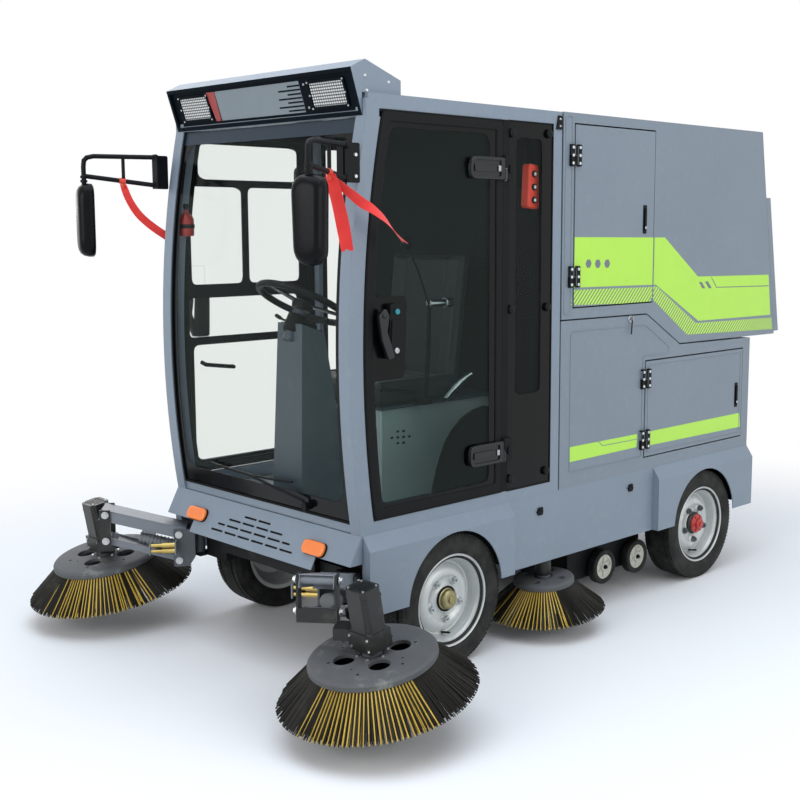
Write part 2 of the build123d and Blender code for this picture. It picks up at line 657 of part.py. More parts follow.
def steering_pod():
    """Tapered console under the steering wheel: a side outline cut to a narrower top."""
    s = STEER_CENTRE[1]
    (head0, z0), (head1, z1) = POD_HEAD
    foot = FLOOR_Z + FIT
    pod = side_prism([(s + POD_FOOT[0], foot), (s + POD_FOOT[1], foot), (s + head1, z1), (s + head0, z0)],
                     -POD_X[0], POD_X[0])
    low, high = POD_X
    pod &= front_prism([(-low, foot), (low, foot), (high, z0), (-high, z0)], s + POD_FOOT[0] - 5,
                       s + POD_FOOT[1] + 5)
    column = steer_frame() * (Pos(0, 0, COLUMN_TOP) * Cylinder(COLUMN_R, 130, align=DOWNWARD))
    bore = steer_frame() * (Pos(0, 0, COLUMN_TOP + 1) * Cylinder(STEER_SHAFT_R + SPIN_FIT, 101,
                                                                 align=DOWNWARD))
    return pod + column - bore


def steering_wheel():
    wheel = Torus(STEER_R, STEER_GRIP_R) + Pos(0, 0, -14) * Cylinder(40, 30)
    for angle in (-90, 30, 150):
        wheel += Rot(0, 0, angle) * (Pos(STEER_R / 2, 0, -6) * Box(STEER_R - 12, 30, 8))
    wheel += Pos(0, 0, -20) * Cylinder(STEER_SHAFT_R, 112, align=DOWNWARD)
    return steer_frame() * wheel


SEAT_X = 250.0
SEAT_S = (165.0, 585.0)
SEAT_Z = 900.0
CUSHION_H = 106.0
BACK_TOP_Z = 1560.0
REAR_WALL_S = CAB_REAR - CAB_WALL


def seat_back():
    low = SEAT_Z + CUSHION_H + 2
    rear = REAR_WALL_S - FIT
    return side_prism([(rear - 84, low), (rear, low), (rear, BACK_TOP_Z), (rear - 58, BACK_TOP_Z)], -225,
                      225)


save("steering_pod", steering_pod())
save("steering_wheel", steering_wheel())
save("seat_base", block(-SEAT_X, SEAT_X, st(SEAT_S[0] + 15), st(REAR_WALL_S - FIT), FLOOR_Z + FIT, SEAT_Z))
cushion = block(-SEAT_X + 10, SEAT_X - 10, st(SEAT_S[0]), st(SEAT_S[1] - 60), SEAT_Z + FIT,
                SEAT_Z + CUSHION_H)
save("seat_pads", fillet(cushion.edges(), 26), fillet(seat_back().edges(), 22))

# ---------------------------------------------------------------- mirrors and ribbons
MIRROR_ROOT = (BODY_X + 4, -508.0)
MIRROR_END = (725.0, -768.0)
MIRROR_BARS_Z = (1988.0, 1922.0)
MIRROR_BAR_R = 9.0
MIRROR_POST_R = 11.0
MIRROR_HEAD = (150.0, 62.0, 296.0)
MIRROR_TOP_Z = 1880.0
MIRROR_YAW = 20.0


def along_bar(share):
    (x0, s0), (x1, s1) = MIRROR_ROOT, MIRROR_END
    return x0 + (x1 - x0) * share, st(s0 + (s1 - s0) * share)


def mirror_arm():
    high, low = MIRROR_BARS_Z
    end = along_bar(1.0)
    arm = block(BODY_X - 40, BODY_X + 30, st(-524), st(-440), low - 62, high + 8)
    for z in MIRROR_BARS_Z:
        arm += rod((*along_bar(0.0), z), (*end, z), MIRROR_BAR_R)
    arm += rod((*end, high + 14), (*end, MIRROR_TOP_Z - 40), MIRROR_POST_R)
    arm += rod((*along_bar(0.32), low), (*along_bar(0.32), high), MIRROR_BAR_R - 2)
    return arm - belly_prism(0, 300, BODY_X - 60, BODY_X)


def mirror_head():
    x, y = along_bar(1.0)
    wide, deep, high = MIRROR_HEAD
    shell = fillet(Box(wide, deep, high).edges(), 24)
    head = Pos(x, y, MIRROR_TOP_Z - high / 2) * Rot(0, 0, MIRROR_YAW) * shell
    return head - rod((x, y, MIRROR_TOP_Z - 40 - FIT), (x, y, MIRROR_TOP_Z + 10), MIRROR_POST_R + FIT)


RIBBON_T = 4.0
RIBBON_W = 42.0


def ribbon(route):
    """Strip of cloth through (x, station, height) points, its width across the run."""
    strip = None
    for a, b in zip(route, route[1:]):
        start, end = Vector(a[0], st(a[1]), a[2]), Vector(b[0], st(b[1]), b[2])
        run = end - start
        across = Vector(-run.Y, run.X, 0)
        if across.length < 1:
            across = Vector(1, 1, 0)
        plane = Plane(start, x_dir=across, z_dir=run)
        piece = extrude(plane * Rectangle(RIBBON_W, RIBBON_T), amount=run.length + 1)
        strip = piece if strip is None else strip + piece
    return strip


def all_ribbons():
    """Cloth strips tied under the lower mirror bars: two on the left, one on the right."""
    top = MIRROR_BARS_Z[1] - MIRROR_BAR_R - FIT
    (ax, ay), (bx, by) = along_bar(0.4), along_bar(0.2)
    a_s, b_s = ay - FRONT_AXLE_Y, by - FRONT_AXLE_Y
    above = block(-900, 900, st(-900), st(0), top, top + 60)
    hang = ribbon([(ax, a_s, top + 5), (ax + 6, a_s - 8, 1790), (ax - 2, a_s - 6, 1650)])
    drift = ribbon([(bx, b_s, top + 5), (bx + 90, b_s + 40, 1820), (bx + 190, b_s + 104, 1700)])
    across = ribbon([(-ax, a_s, top + 5), (-ax + 60, a_s + 30, 1790), (-ax + 108, a_s + 62, 1650)])
    return hang - above, drift - above, across - above


save("ribbons", *all_ribbons())

arm_left = mirror_arm()
save("mirror_arms", arm_left, flip(arm_left))
head_left = mirror_head()
save("mirror_heads", head_left, flip(head_left))

# ---------------------------------------------------------------- cabinet under the bin
LOW_DOOR_S = (WHEELBASE - 467.0, WHEELBASE + 358.0)
LOW_DOOR_Z = (657.0, 1108.0)
HATCH_T = 16.0
HATCH_HINGE_X = BODY_X + 9
LOW_HINGE_Z = (744.0, 1024.0)
CABINET_DROP = 8.0
EAR_X = ((380.0, 400.0), (460.0, 480.0))
TIP_PIN_R = 12.0
LUG_R = 20.0


def hatch(edges_s, edges_z, hinge_z):
    """Flush side door hung at its front edge, with its own hinge leaves."""
    x1 = BODY_X + 2
    door = block(x1 - HATCH_T, x1, st(edges_s[0] + PANEL_GAP), st(edges_s[1] - PANEL_GAP),
                 edges_z[0] + PANEL_GAP,
                 edges_z[1] - PANEL_GAP)
    for z in hinge_z:
        door += hinge(HATCH_HINGE_X, edges_s[0], z, 38, 34, -34, x1)[0]
    return door


def hatch_posts(body, edges_s, hinge_z):
    """Adds the fixed hinge leaves to the body on both sides."""
    for z in hinge_z:
        leaf = hinge(HATCH_HINGE_X, edges_s[0], z, 38, 34, -34, BODY_X + 2)[1]
        body += leaf
        body += flip(leaf)
    return body


def cabinet():
    (s0, z0), (s1, z1), (s2, z2) = [(s, z - PANEL_GAP) for s, z in BIN_STEP]
    top_rear = z2 - CABINET_DROP
    outer = side_prism([(CABINET_FRONT, SILL_Z), (CABINET_FRONT, z0), (s1, z1), (s2, z2),
                        (CABINET_REAR, top_rear),
                        (CABINET_REAR, SILL_Z)], -BODY_X, BODY_X)
    w = SHEET
    inner = side_prism([(CABINET_FRONT + w, SILL_Z + w), (CABINET_FRONT + w, z0 - w), (s1 - 2, z1 - w),
                        (s2 - 2, z2 - w),
                        (CABINET_REAR - w, top_rear - w), (CABINET_REAR - w,
                                                           SILL_Z + w)], -(BODY_X - w), BODY_X - w)
    box = outer - inner
    for side in (-1, 1):
        box -= block(side * (BODY_X - 20), side * (BODY_X + 20), st(LOW_DOOR_S[0]), st(LOW_DOOR_S[1]),
                     *LOW_DOOR_Z)
        for x0, x1 in EAR_X:
            box += block(side * x0, side * x1, st(CABINET_REAR - 1), st(TIP_PIVOT[0] + 22),
                         TIP_PIVOT[1] - 34,
                         TIP_PIVOT[1] + 18)
        box -= rod((side * 300, st(TIP_PIVOT[0]), TIP_PIVOT[1]), (side * 500, st(TIP_PIVOT[0]),
                                                                  TIP_PIVOT[1]),
                   TIP_PIN_R + SPIN_FIT)
    return hatch_posts(box, LOW_DOOR_S, LOW_HINGE_Z)


TAIL_LAMP_X = (470.0, 560.0)
TAIL_LAMP_Z = (700.0, 900.0)
TAIL_LAMP_T = 26.0


def tail_lamp(side):
    """Upright lamp cluster on the cabinet's back, its free edges rounded."""
    lamp = block(side * TAIL_LAMP_X[0], side * TAIL_LAMP_X[1], st(CABINET_REAR + FIT),
                 st(CABINET_REAR + TAIL_LAMP_T), *TAIL_LAMP_Z)
    return fillet(lamp.faces().sort_by(Axis.Y)[-1].edges(), 8)


save("cabinet", cabinet())
save("tail_lamps", tail_lamp(1), tail_lamp(-1))
BATTERY_X = 420.0
BATTERY_S = (CABINET_FRONT + 152.0, LOW_DOOR_S[0] - 53.0)
BATTERY_TOP_Z = 1080.0
save("battery", block(-BATTERY_X, BATTERY_X, st(BATTERY_S[0]), st(BATTERY_S[1]), SILL_Z + SHEET + FIT,
                      BATTERY_TOP_Z))
save_pair("low_door", hatch(LOW_DOOR_S, LOW_DOOR_Z, LOW_HINGE_Z))

# ---------------------------------------------------------------- tipping bin
UP_DOOR_S = (721.0, 1289.0)
UP_DOOR_Z = (1368.0, 2133.0)
UP_HINGE_Z = (1501.0, 2001.0)
GATE_HINGE_UP = 16.0           # hinge axis above the tailgate's top edge
GATE_HINGE_OUT = 22.1          # and behind the bin's rear edge
GATE_HINGE_X = ((-470.0, -410.0), (410.0, 470.0))


def rear_s(z):
    """Station of the bin's sloping rear edge at a height."""
    share = (BIN_TOP_Z - z) / (BIN_TOP_Z - BIN_LOW_REAR[1])
    return BIN_TOP_REAR + (BIN_LOW_REAR[0] - BIN_TOP_REAR) * share


GATE_HINGE_Z = GATE_TOP_Z + GATE_HINGE_UP
GATE_HINGE = (rear_s(GATE_HINGE_Z) + GATE_HINGE_OUT, GATE_HINGE_Z)


def bin_shell():
    (s0, z0), (s1, z1), (s2, z2) = BIN_STEP
    front = BIN_FRONT + 2
    outer = side_prism([(front, z0), (s1, z1), (s2, z2), BIN_LOW_REAR, (BIN_TOP_REAR, BIN_TOP_Z),
                        (front, BIN_TOP_Z)],
                       -BODY_X, BODY_X)
    w = SHEET
    lip = GATE_TOP_Z - 12
    inner = side_prism([(front + w, z0 + w), (s1 + 2, z1 + w), (s2 + 2, z2 + w), (BIN_LOW_REAR[0] + 60,
                                                                                  BIN_LOW_REAR[1] + w),
                        (BIN_LOW_REAR[0] + 60, lip), (rear_s(lip) - w, lip), (BIN_TOP_REAR - w,
                                                                              BIN_TOP_Z - w),
                        (front + w, BIN_TOP_Z - w)], -(BODY_X - w), BODY_X - w)
    shell = outer - inner
    for side in (-1, 1):
        shell -= block(side * (BODY_X - 20), side * (BODY_X + 20), st(UP_DOOR_S[0]), st(UP_DOOR_S[1]),
                       *UP_DOOR_Z)
        lug_x = (side * (EAR_X[0][1] + 4), side * (EAR_X[1][0] - 4))
        shell += block(*lug_x, st(TIP_PIVOT[0] - LUG_R), st(TIP_PIVOT[0] + LUG_R), TIP_PIVOT[1],
                       BIN_LOW_REAR[1] + 10)
        shell += rod((lug_x[0], st(TIP_PIVOT[0]), TIP_PIVOT[1]), (lug_x[1], st(TIP_PIVOT[0]),
                                                                  TIP_PIVOT[1]), LUG_R)
        shell += rod((side * (EAR_X[0][0] - 4), st(TIP_PIVOT[0]), TIP_PIVOT[1]),
                     (side * (EAR_X[1][1] + 4), st(TIP_PIVOT[0]), TIP_PIVOT[1]), TIP_PIN_R)
    hs, hz = GATE_HINGE
    for x0, x1 in GATE_HINGE_X:
        for a, b in ((x0, x0 + 14), (x1 - 14, x1)):
            shell += side_prism([(rear_s(hz + 30) - 2, hz + 30), (rear_s(hz + 30) + 12, hz + 30),
                                 (hs + 9, hz + 6),
                                 (hs + 9, hz - 6), (hs, hz - 10), (rear_s(hz - 10) - 2, hz - 10)], a, b)
        shell += rod((x0, st(hs), hz), (x1, st(hs), hz), 6)
    return hatch_posts(shell, UP_DOOR_S, UP_HINGE_Z)


def tailgate():
    hs, hz = GATE_HINGE
    top_s, low_s = rear_s(GATE_TOP_Z) + 1.5, rear_s(BIN_LOW_REAR[1] + 14) + 1.5
    low_z = BIN_LOW_REAR[1] + 14
    gate = side_prism([(top_s, GATE_TOP_Z), (low_s, low_z), (low_s + GATE_T, low_z),
                       (top_s + GATE_T - 4, GATE_TOP_Z)],
                      -BODY_X, BODY_X)
    for x0, x1 in GATE_HINGE_X:
        gate -= block(x0 - 2, x1 + 2, st(hs - 40), st(hs + 60), GATE_TOP_Z - 8, GATE_TOP_Z + 60)
        gate += rod((x0 + 15, st(hs), hz), (x1 - 15, st(hs), hz), 11)
        gate += block(x0 + 15, x1 - 15, st(hs - 6), st(hs + 10), GATE_TOP_Z - 20, hz)
        gate -= rod((x0, st(hs), hz), (x1, st(hs), hz), 6 + SPIN_FIT)
    return gate


save("bin_shell", bin_shell())
save("tailgate", tailgate())
save_pair("up_door", hatch(UP_DOOR_S, UP_DOOR_Z, UP_HINGE_Z))

# ---------------------------------------------------------------- front brushes on their lifting arms
root = Vector(ARM_ROOT[0], st(ARM_ROOT[1]), 0)
tip = Vector(ARM_TIP[0], st(ARM_TIP[1]), 0)
REACH = (tip - root).length
ARM_DIR = (tip - root).normalized()
ARM_SIDE = Vector(-ARM_DIR.Y, ARM_DIR.X, 0)      # level, across the arm, pointing outwards
ARM_HALF = 62.0
LINK_HALF = 50.0
PIN_R = 8.0
CHEEK_T = 8.0
CHEEK_GAP = 1.0
UP_ROOT, LOW_ROOT = ARM_ROOT_Z
UP_TIP, LOW_TIP = UP_ROOT + ARM_RISE, LOW_ROOT + ARM_RISE
SHAFT_R = 12.0
GEARBOX = (112.0, 96.0, 66.0)
MOTOR = (104.0, 88.0, 152.0)
GEARBOX_FOOT = 22.0
swing_along = (Vector(SWING_PIN[0], st(SWING_PIN[1]), 0) - root).dot(ARM_DIR)
swing_across = (Vector(SWING_PIN[0], st(SWING_PIN[1]), 0) - root).dot(ARM_SIDE)


def arm_point(along, across, height):
    """Point given along the arm from its root, across it and above the ground."""
    p = root + ARM_DIR * along + ARM_SIDE * across
    return (p.X, p.Y, height)


def plate(points, across0, across1):
    """Plate in the arm's own upright plane from (along, height) corners."""
    plane = Plane(arm_point(0, across0, 0), x_dir=ARM_DIR, z_dir=ARM_DIR.cross(Vector(0, 0, 1)))
    return extrude(plane * Polygon(*points, align=None), amount=across1 - across0, dir=ARM_SIDE)


def pin(along, height, half, radius):
    return rod(arm_point(along, -half, height), arm_point(along, half, height), radius)


def link(low_end, high_end, half_across, half_deep, tip_play):
    """Straight link between two pins, each end an eye."""
    (l0, z0), (l1, z1) = low_end, high_end
    length = ((l1 - l0) ** 2 + (z1 - z0) ** 2) ** 0.5
    ul, uz = (l1 - l0) / length, (z1 - z0) / length
    corners = [(l0 - uz * half_deep, z0 + ul * half_deep), (l1 - uz * half_deep, z1 + ul * half_deep),
               (l1 + uz * half_deep, z1 - ul * half_deep), (l0 + uz * half_deep, z0 - ul * half_deep)]
    arm = plate(corners, -half_across, half_across)
    for along, z, play in ((l0, z0, SPIN_FIT), (l1, z1, tip_play)):
        arm += pin(along, z, half_across, half_deep)
        arm -= pin(along, z, half_across + 20, PIN_R + play)
    return arm


def arm_bracket():
    outer = ARM_HALF + CHEEK_GAP
    low, high = LOW_ROOT - 26, UP_ROOT + 22
    bracket = rod(arm_point(swing_along, swing_across, SWING_Z[0]), arm_point(swing_along, swing_across,
                                                                              SWING_Z[1]), 22)
    bracket += plate([(-66, SWING_Z[0]), (-48, SWING_Z[0]), (-48, SWING_Z[1]), (-66, SWING_Z[1])],
                     -outer - 1, outer + 1)
    for across in (-1, 1):
        bracket += plate([(-66, SWING_Z[0]), (-40, low), (22, low), (22, high), (-40, high),
                          (-66, SWING_Z[1])],
                         across * outer, across * (outer + CHEEK_T))
    bracket -= rod(arm_point(swing_along, swing_across, 300), arm_point(swing_along, swing_across, 500),
                   SWING_R + SPIN_FIT)
    for z in (UP_ROOT, LOW_ROOT):
        bracket += pin(0, z, outer + CHEEK_T + 4, PIN_R)
    return bracket


def brush_axis_point(height):
    """Point on the leaning brush spindle at a height along it above the disc."""
    x, s, z = BRUSH
    lean = radians(BRUSH_TILT)
    return Vector(x, st(s) - height * sin(lean), z + height * cos(lean))


def spindle_frame():
    x, s, z = BRUSH
    return Pos(x, st(s), z) * Rot(BRUSH_TILT, 0, 0)


def brush_carrier():
    outer = ARM_HALF + CHEEK_GAP
    low, high = LOW_TIP - 34, UP_TIP + 20
    carrier = plate([(REACH + 16, low), (REACH + 24, low), (REACH + 24, low + 50), (REACH + 16, low + 50)],
                    -outer - 1, outer + 1)
    for across in (-1, 1):
        carrier += plate([(REACH - 20, low), (REACH + 24, low), (REACH + 24, high), (REACH - 20, high)],
                         across * outer, across * (outer + CHEEK_T))
    for z in (UP_TIP, LOW_TIP):
        carrier += pin(REACH, z, outer + CHEEK_T + 4, PIN_R)
    place = spindle_frame()
    foot = GEARBOX_FOOT
    housing = Pos(0, 0, foot + GEARBOX[2] / 2) * Box(*GEARBOX)
    housing += Pos(0, 0,
    foot + GEARBOX[2] + MOTOR[2] / 2) * chamfer(Box(*MOTOR).edges().filter_by(Axis.Z), 18)
    carrier += place * housing
    carrier += plate([(REACH - 14, low), (REACH + 24, low), (REACH + 60, low - 6), (REACH + 60, low - 46),
                      (REACH - 10, low - 46)],
                     outer, outer + 74)
    carrier -= place * (Pos(0, 0, foot - 1) * Cylinder(SHAFT_R + SPIN_FIT, 46, align=UPWARD))
    return carrier


def brush(disc_r, bristle_r, height, shaft, windows):
    """Disc, bristle cone and spindle about +Z, the disc's upper face at zero, with round windows."""
    body = ring_z([(0, 0), (disc_r - 12, 0), (disc_r, -12), (disc_r, -30), (bristle_r, -height),
                   (bristle_r - 40, -height),
                   (disc_r - 56, -34), (0, -34)])
    body += Cylinder(SHAFT_R, shaft, align=UPWARD)
    ring, radius, first = windows
    for k in range(4):
        body -= Rot(0, 0, first + 90 * k) * (Pos(ring, 0, -17) * Cylinder(radius, 36))
    return body


save_pair("upper_arm", link((0, UP_ROOT), (REACH, UP_TIP), ARM_HALF, 24, SPIN_FIT))
save_pair("lower_link", link((0, LOW_ROOT), (REACH, LOW_TIP), LINK_HALF, 14, 0.6))
save_pair("arm_bracket", arm_bracket())
save_pair("brush_carrier", brush_carrier())
save_pair("front_brush", spindle_frame() * brush(DISC_R, BRISTLE_R, BRISTLE_H, 62, WINDOWS))

# ---------------------------------------------------------------- brushes under the middle
MID_TILT = 5.0
MID_MOTOR_R = 34.0
MID_FOOT = 20.0
ROLLER_BOX_S = (WHEELBASE - 826.0, WHEELBASE - 292.0)
ROLLER_BOX_X = 455.0
ROLLER_BOX_Z = (112.0, 366.0)
ROLLER = (WHEELBASE - 565.0, 230.0)
ROLLER_R = 124.0
CARRY_R = 80.0
CARRY_W = 44.0
CARRY_SIDES = 32
CARRY_X = 484.0
CARRY_STATIONS = (WHEELBASE - 612.0, WHEELBASE - 363.0)
CARRY_Z = 154.0
CARRY_PIN_R = 10.0


def mid_frame():
    x, s, z = MID_BRUSH
    return Pos(x, st(s), z) * Rot(MID_TILT, 0, 0)


def mid_mount():
    x, s, z = MID_BRUSH
    motor = mid_frame() * (Pos(0, 0, MID_FOOT) * Cylinder(MID_MOTOR_R, 110, align=UPWARD))
    motor += block(RAIL_X[1] + FIT, BODY_X - SHEET - FIT, st(s - 50), st(s + 34), 340, 352)
    motor += block(RAIL_X[1] + FIT, RAIL_X[1] + 8, st(s - 50), st(s + 34), 340, 430)
    motor -= mid_frame() * (Pos(0, 0, MID_FOOT - 1) * Cylinder(SHAFT_R + SPIN_FIT, 46, align=UPWARD))
    return motor


def roller_box():
    x, z0, z1 = ROLLER_BOX_X, *ROLLER_BOX_Z
    s0, s1 = ROLLER_BOX_S
    box = block(-x, x, st(s0), st(s1), z0, z1) - block(-x + 6, x - 6, st(s0 + 6), st(s1 - 6), z0 - 1,
                                                       z1 - 6)
    for side in (-1, 1):
        box += rod((side * (x - 26), st(ROLLER[0]), ROLLER[1]), (side * (x - 5), st(ROLLER[0]),
                                                                 ROLLER[1]), 15)
        box += block(side * RAIL_X[0], side * RAIL_X[1], st(s0 + 90), st(s0 + 130), z1 - 1, RAIL_Z[0] - FIT)
        box += block(side * RAIL_X[0], side * RAIL_X[1], st(s1 - 130), st(s1 - 90), z1 - 1, RAIL_Z[0] - FIT)
        for station in CARRY_STATIONS:
            box += rod((side * (x - 1), st(station), CARRY_Z), (side * (CARRY_X + CARRY_W / 2 + 4),
                                                                st(station), CARRY_Z),
                       CARRY_PIN_R)
    return box


def roller():
    half = ROLLER_BOX_X - 14
    core = rod((-half, st(ROLLER[0]), ROLLER[1]), (half, st(ROLLER[0]), ROLLER[1]), ROLLER_R)
    for side in (-1, 1):
        core -= rod((side * (half - 40), st(ROLLER[0]), ROLLER[1]), (side * (half + 1), st(ROLLER[0]),
                                                                     ROLLER[1]), 15 + SPIN_FIT)
    return core


def carry_wheel(side, station):
    half = CARRY_W / 2
    x = side * CARRY_X
    disc = Plane((x - half, st(station), CARRY_Z), x_dir=(0, 1, 0),
                 z_dir=(1, 0, 0)) * RegularPolygon(CARRY_R, CARRY_SIDES)
    wheel = extrude(disc, amount=CARRY_W)
    return wheel - rod((x - half - 1, st(station), CARRY_Z), (x + half + 1, st(station), CARRY_Z),
                       CARRY_PIN_R + SPIN_FIT)


save("mid_brush_mounts", mid_mount(), flip(mid_mount()))
save_pair("mid_brush", mid_frame() * brush(MID_DISC_R, MID_BRISTLE_R, MID_BRISTLE_H, 60, MID_WINDOWS))
save("roller_box", roller_box())
save("main_roller", roller())
for name, station in zip(("fore", "aft"), CARRY_STATIONS):
    save(f"carry_wheel_{name}_left", carry_wheel(1, station))
    save(f"carry_wheel_{name}_right", carry_wheel(-1, station))
print("reach of the brush arms", round(REACH, 1))
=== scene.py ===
# %% [markdown]
# # A compact road sweeper, dressed in Blender
# The machine arrives as plain solids in one shared frame. This lesson gives every surface its
# finish, swaps the simple wheels, brushes, mirrors and cushions for detailed ones, and lights it.
# Lengths are written in millimetres, counted back from the front axle, because that is how such
# a machine is measured on a drawing. One function turns them into Blender's metres.

# %% Load the solids
import math
import random

import bmesh
import bpy
from mathutils import Matrix, Quaternion, Vector


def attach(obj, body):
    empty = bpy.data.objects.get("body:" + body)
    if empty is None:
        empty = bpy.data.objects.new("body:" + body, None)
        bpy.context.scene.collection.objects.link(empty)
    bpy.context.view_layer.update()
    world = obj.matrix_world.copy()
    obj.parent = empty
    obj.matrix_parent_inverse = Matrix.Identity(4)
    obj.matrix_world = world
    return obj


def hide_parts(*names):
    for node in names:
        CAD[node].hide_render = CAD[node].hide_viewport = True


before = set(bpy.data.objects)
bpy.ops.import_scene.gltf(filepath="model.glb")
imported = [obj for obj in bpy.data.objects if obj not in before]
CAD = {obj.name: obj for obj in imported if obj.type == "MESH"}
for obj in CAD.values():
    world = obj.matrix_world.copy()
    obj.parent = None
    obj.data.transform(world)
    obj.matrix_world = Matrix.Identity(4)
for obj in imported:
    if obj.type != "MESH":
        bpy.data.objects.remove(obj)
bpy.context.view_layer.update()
print("solids loaded:", len(CAD))

# %% [markdown]
# ## Small tools
# A "station" is a distance behind the front axle. `spot` turns (x, station, height) in millimetres
# into a point. The mesh helpers each add one form to a bmesh, so a piece can be built from several.

# %% Places and sizes
FRONT_AXLE_Y = -716.0
SIDES = (("left", 1), ("right", -1))


def spot(x, s, z):
    return Vector((x, FRONT_AXLE_Y + s, z)) / 1000


def mm(value):
    return value / 1000


# %% Mesh helpers
def add_faces(bm, points, faces):
    verts = [bm.verts.new(p) for p in points]
    return [bm.faces.new([verts[i] for i in face]) for face in faces]


def add_box(bm, low, high, turn=None):
    """Box between two corners in metres, turned about its middle."""
    low, high = Vector(low), Vector(high)
    middle, half = (low + high) / 2, (high - low) / 2
    corners = [Vector((sx * half.x, sy * half.y, sz * half.z)) for sx in (-1, 1) for sy in (-1, 1) for sz in (-1, 1)]
    if turn is not None:
        corners = [turn @ c for c in corners]
    faces = [(0, 1, 3, 2), (4, 6, 7, 5), (0, 4, 5, 1), (2, 3, 7, 6), (0, 2, 6, 4), (1, 5, 7, 3)]
    return add_faces(bm, [middle + c for c in corners], faces)


def block(bm, x0, x1, s0, s1, z0, z1):
    return add_box(bm, spot(min(x0, x1), s0, z0), spot(max(x0, x1), s1, z1))


def across(direction):
    """Two unit vectors square to a direction."""
    direction = direction.normalized()
    helper = Vector((0, 0, 1)) if abs(direction.z) < 0.9 else Vector((1, 0, 0))
    u = direction.cross(helper).normalized()
    return u, direction.cross(u).normalized()


def add_tube(bm, points, radius, sides=14, caps=True):
    """Round bar through the points, mitred at its corners. radius is in metres, one number or one a point."""
    radii = radius if isinstance(radius, (list, tuple)) else [radius] * len(points)
    points = [Vector(p) for p in points]
    rings = []
    u, _ = across(points[1] - points[0])
    for i, point in enumerate(points):
        before = (points[i] - points[i - 1]).normalized() if i else (points[1] - points[0]).normalized()
        after = (points[i + 1] - points[i]).normalized() if i < len(points) - 1 else before
        along = (before + after).normalized()
        u = (u - along * u.dot(along)).normalized()
        v = along.cross(u)
        stretch = 1 / max(0.35, along.dot(before))
        bend = (after - before)
        ring = []
        for k in range(sides):
            angle = 2 * math.pi * k / sides
            offset = (u * math.cos(angle) + v * math.sin(angle)) * radii[i]
            if bend.length > 1e-6:
                axis = bend.normalized()
                offset += axis * offset.dot(axis) * (stretch - 1)
            ring.append(bm.verts.new(point + offset))
        rings.append(ring)
    for a, b in zip(rings, rings[1:]):
        for k in range(sides):
            bm.faces.new((a[k], a[(k + 1) % sides], b[(k + 1) % sides], b[k]))
    if caps:
        bm.faces.new(list(reversed(rings[0])))
        bm.faces.new(rings[-1])


def add_turned(bm, profile, centre, axis, segments=64, closed=False):
    """Lathe work: (radius, distance along the axis) corners in millimetres, turned about the axis."""
    axis = Vector(axis).normalized()
    u, v = across(axis)
    rings = []
    for radius, along in profile:
        base = Vector(centre) + axis * mm(along)
        if radius == 0:
            rings.append([bm.verts.new(base)])
            continue
        rings.append([bm.verts.new(base + (u * math.cos(t) + v * math.sin(t)) * mm(radius))
                      for t in (2 * math.pi * k / segments for k in range(segments))])
    pairs = list(zip(rings, rings[1:])) + ([(rings[-1], rings[0])] if closed else [])
    for a, b in pairs:
        for k in range(segments):
            j = (k + 1) % segments
            if len(a) == 1 and len(b) > 1:
                bm.faces.new((a[0], b[j], b[k]))
            elif len(b) == 1 and len(a) > 1:
                bm.faces.new((a[k], a[j], b[0]))
            elif len(a) > 1:
                bm.faces.new((a[k], a[j], b[j], b[k]))


def add_plate(bm, outline, push):
    """Flat plate from an outline of points, pushed to its thickness along a vector."""
    front = [bm.verts.new(Vector(p)) for p in outline]
    back = [bm.verts.new(Vector(p) + Vector(push)) for p in outline]
    bm.faces.new(front)
    bm.faces.new(list(reversed(back)))
    for i in range(len(front)):
        j = (i + 1) % len(front)
        bm.faces.new((front[i], back[i], back[j], front[j]))


def add_frame_plate(bm, outline, inner, push):
    """Flat plate with a window: both outlines have the same number of points."""
    n = len(outline)
    outer_front = [bm.verts.new(Vector(p)) for p in outline]
    inner_front = [bm.verts.new(Vector(p)) for p in inner]
    outer_back = [bm.verts.new(Vector(p) + Vector(push)) for p in outline]
    inner_back = [bm.verts.new(Vector(p) + Vector(push)) for p in inner]
    for i in range(n):
        j = (i + 1) % n
        bm.faces.new((outer_front[i], outer_front[j], inner_front[j], inner_front[i]))
        bm.faces.new((outer_back[j], outer_back[i], inner_back[i], inner_back[j]))
        bm.faces.new((outer_front[j], outer_front[i], outer_back[i], outer_back[j]))
        bm.faces.new((inner_front[i], inner_front[j], inner_back[j], inner_back[i]))


def rounded(points, radius, steps=5):
    """The 2-D outline with each corner rounded. radius is in the outline's own unit, one or one a corner."""
    radii = radius if isinstance(radius, (list, tuple)) else [radius] * len(points)
    result = []
    n = len(points)
    for i in range(n):
        p = Vector(points[i])
        a, b = (Vector(points[i - 1]) - p), (Vector(points[(i + 1) % n]) - p)
        r = radii[i]
        if r <= 0:
            result.append(p)
            continue
        turn = a.angle(b)
        cut = min(r / math.tan(turn / 2), a.length * 0.49, b.length * 0.49)
        start, end = p + a.normalized() * cut, p + b.normalized() * cut
        for k in range(steps + 1):
            t = k / steps
            result.append(start.lerp(p, t).lerp(p.lerp(end, t), t))
    return result


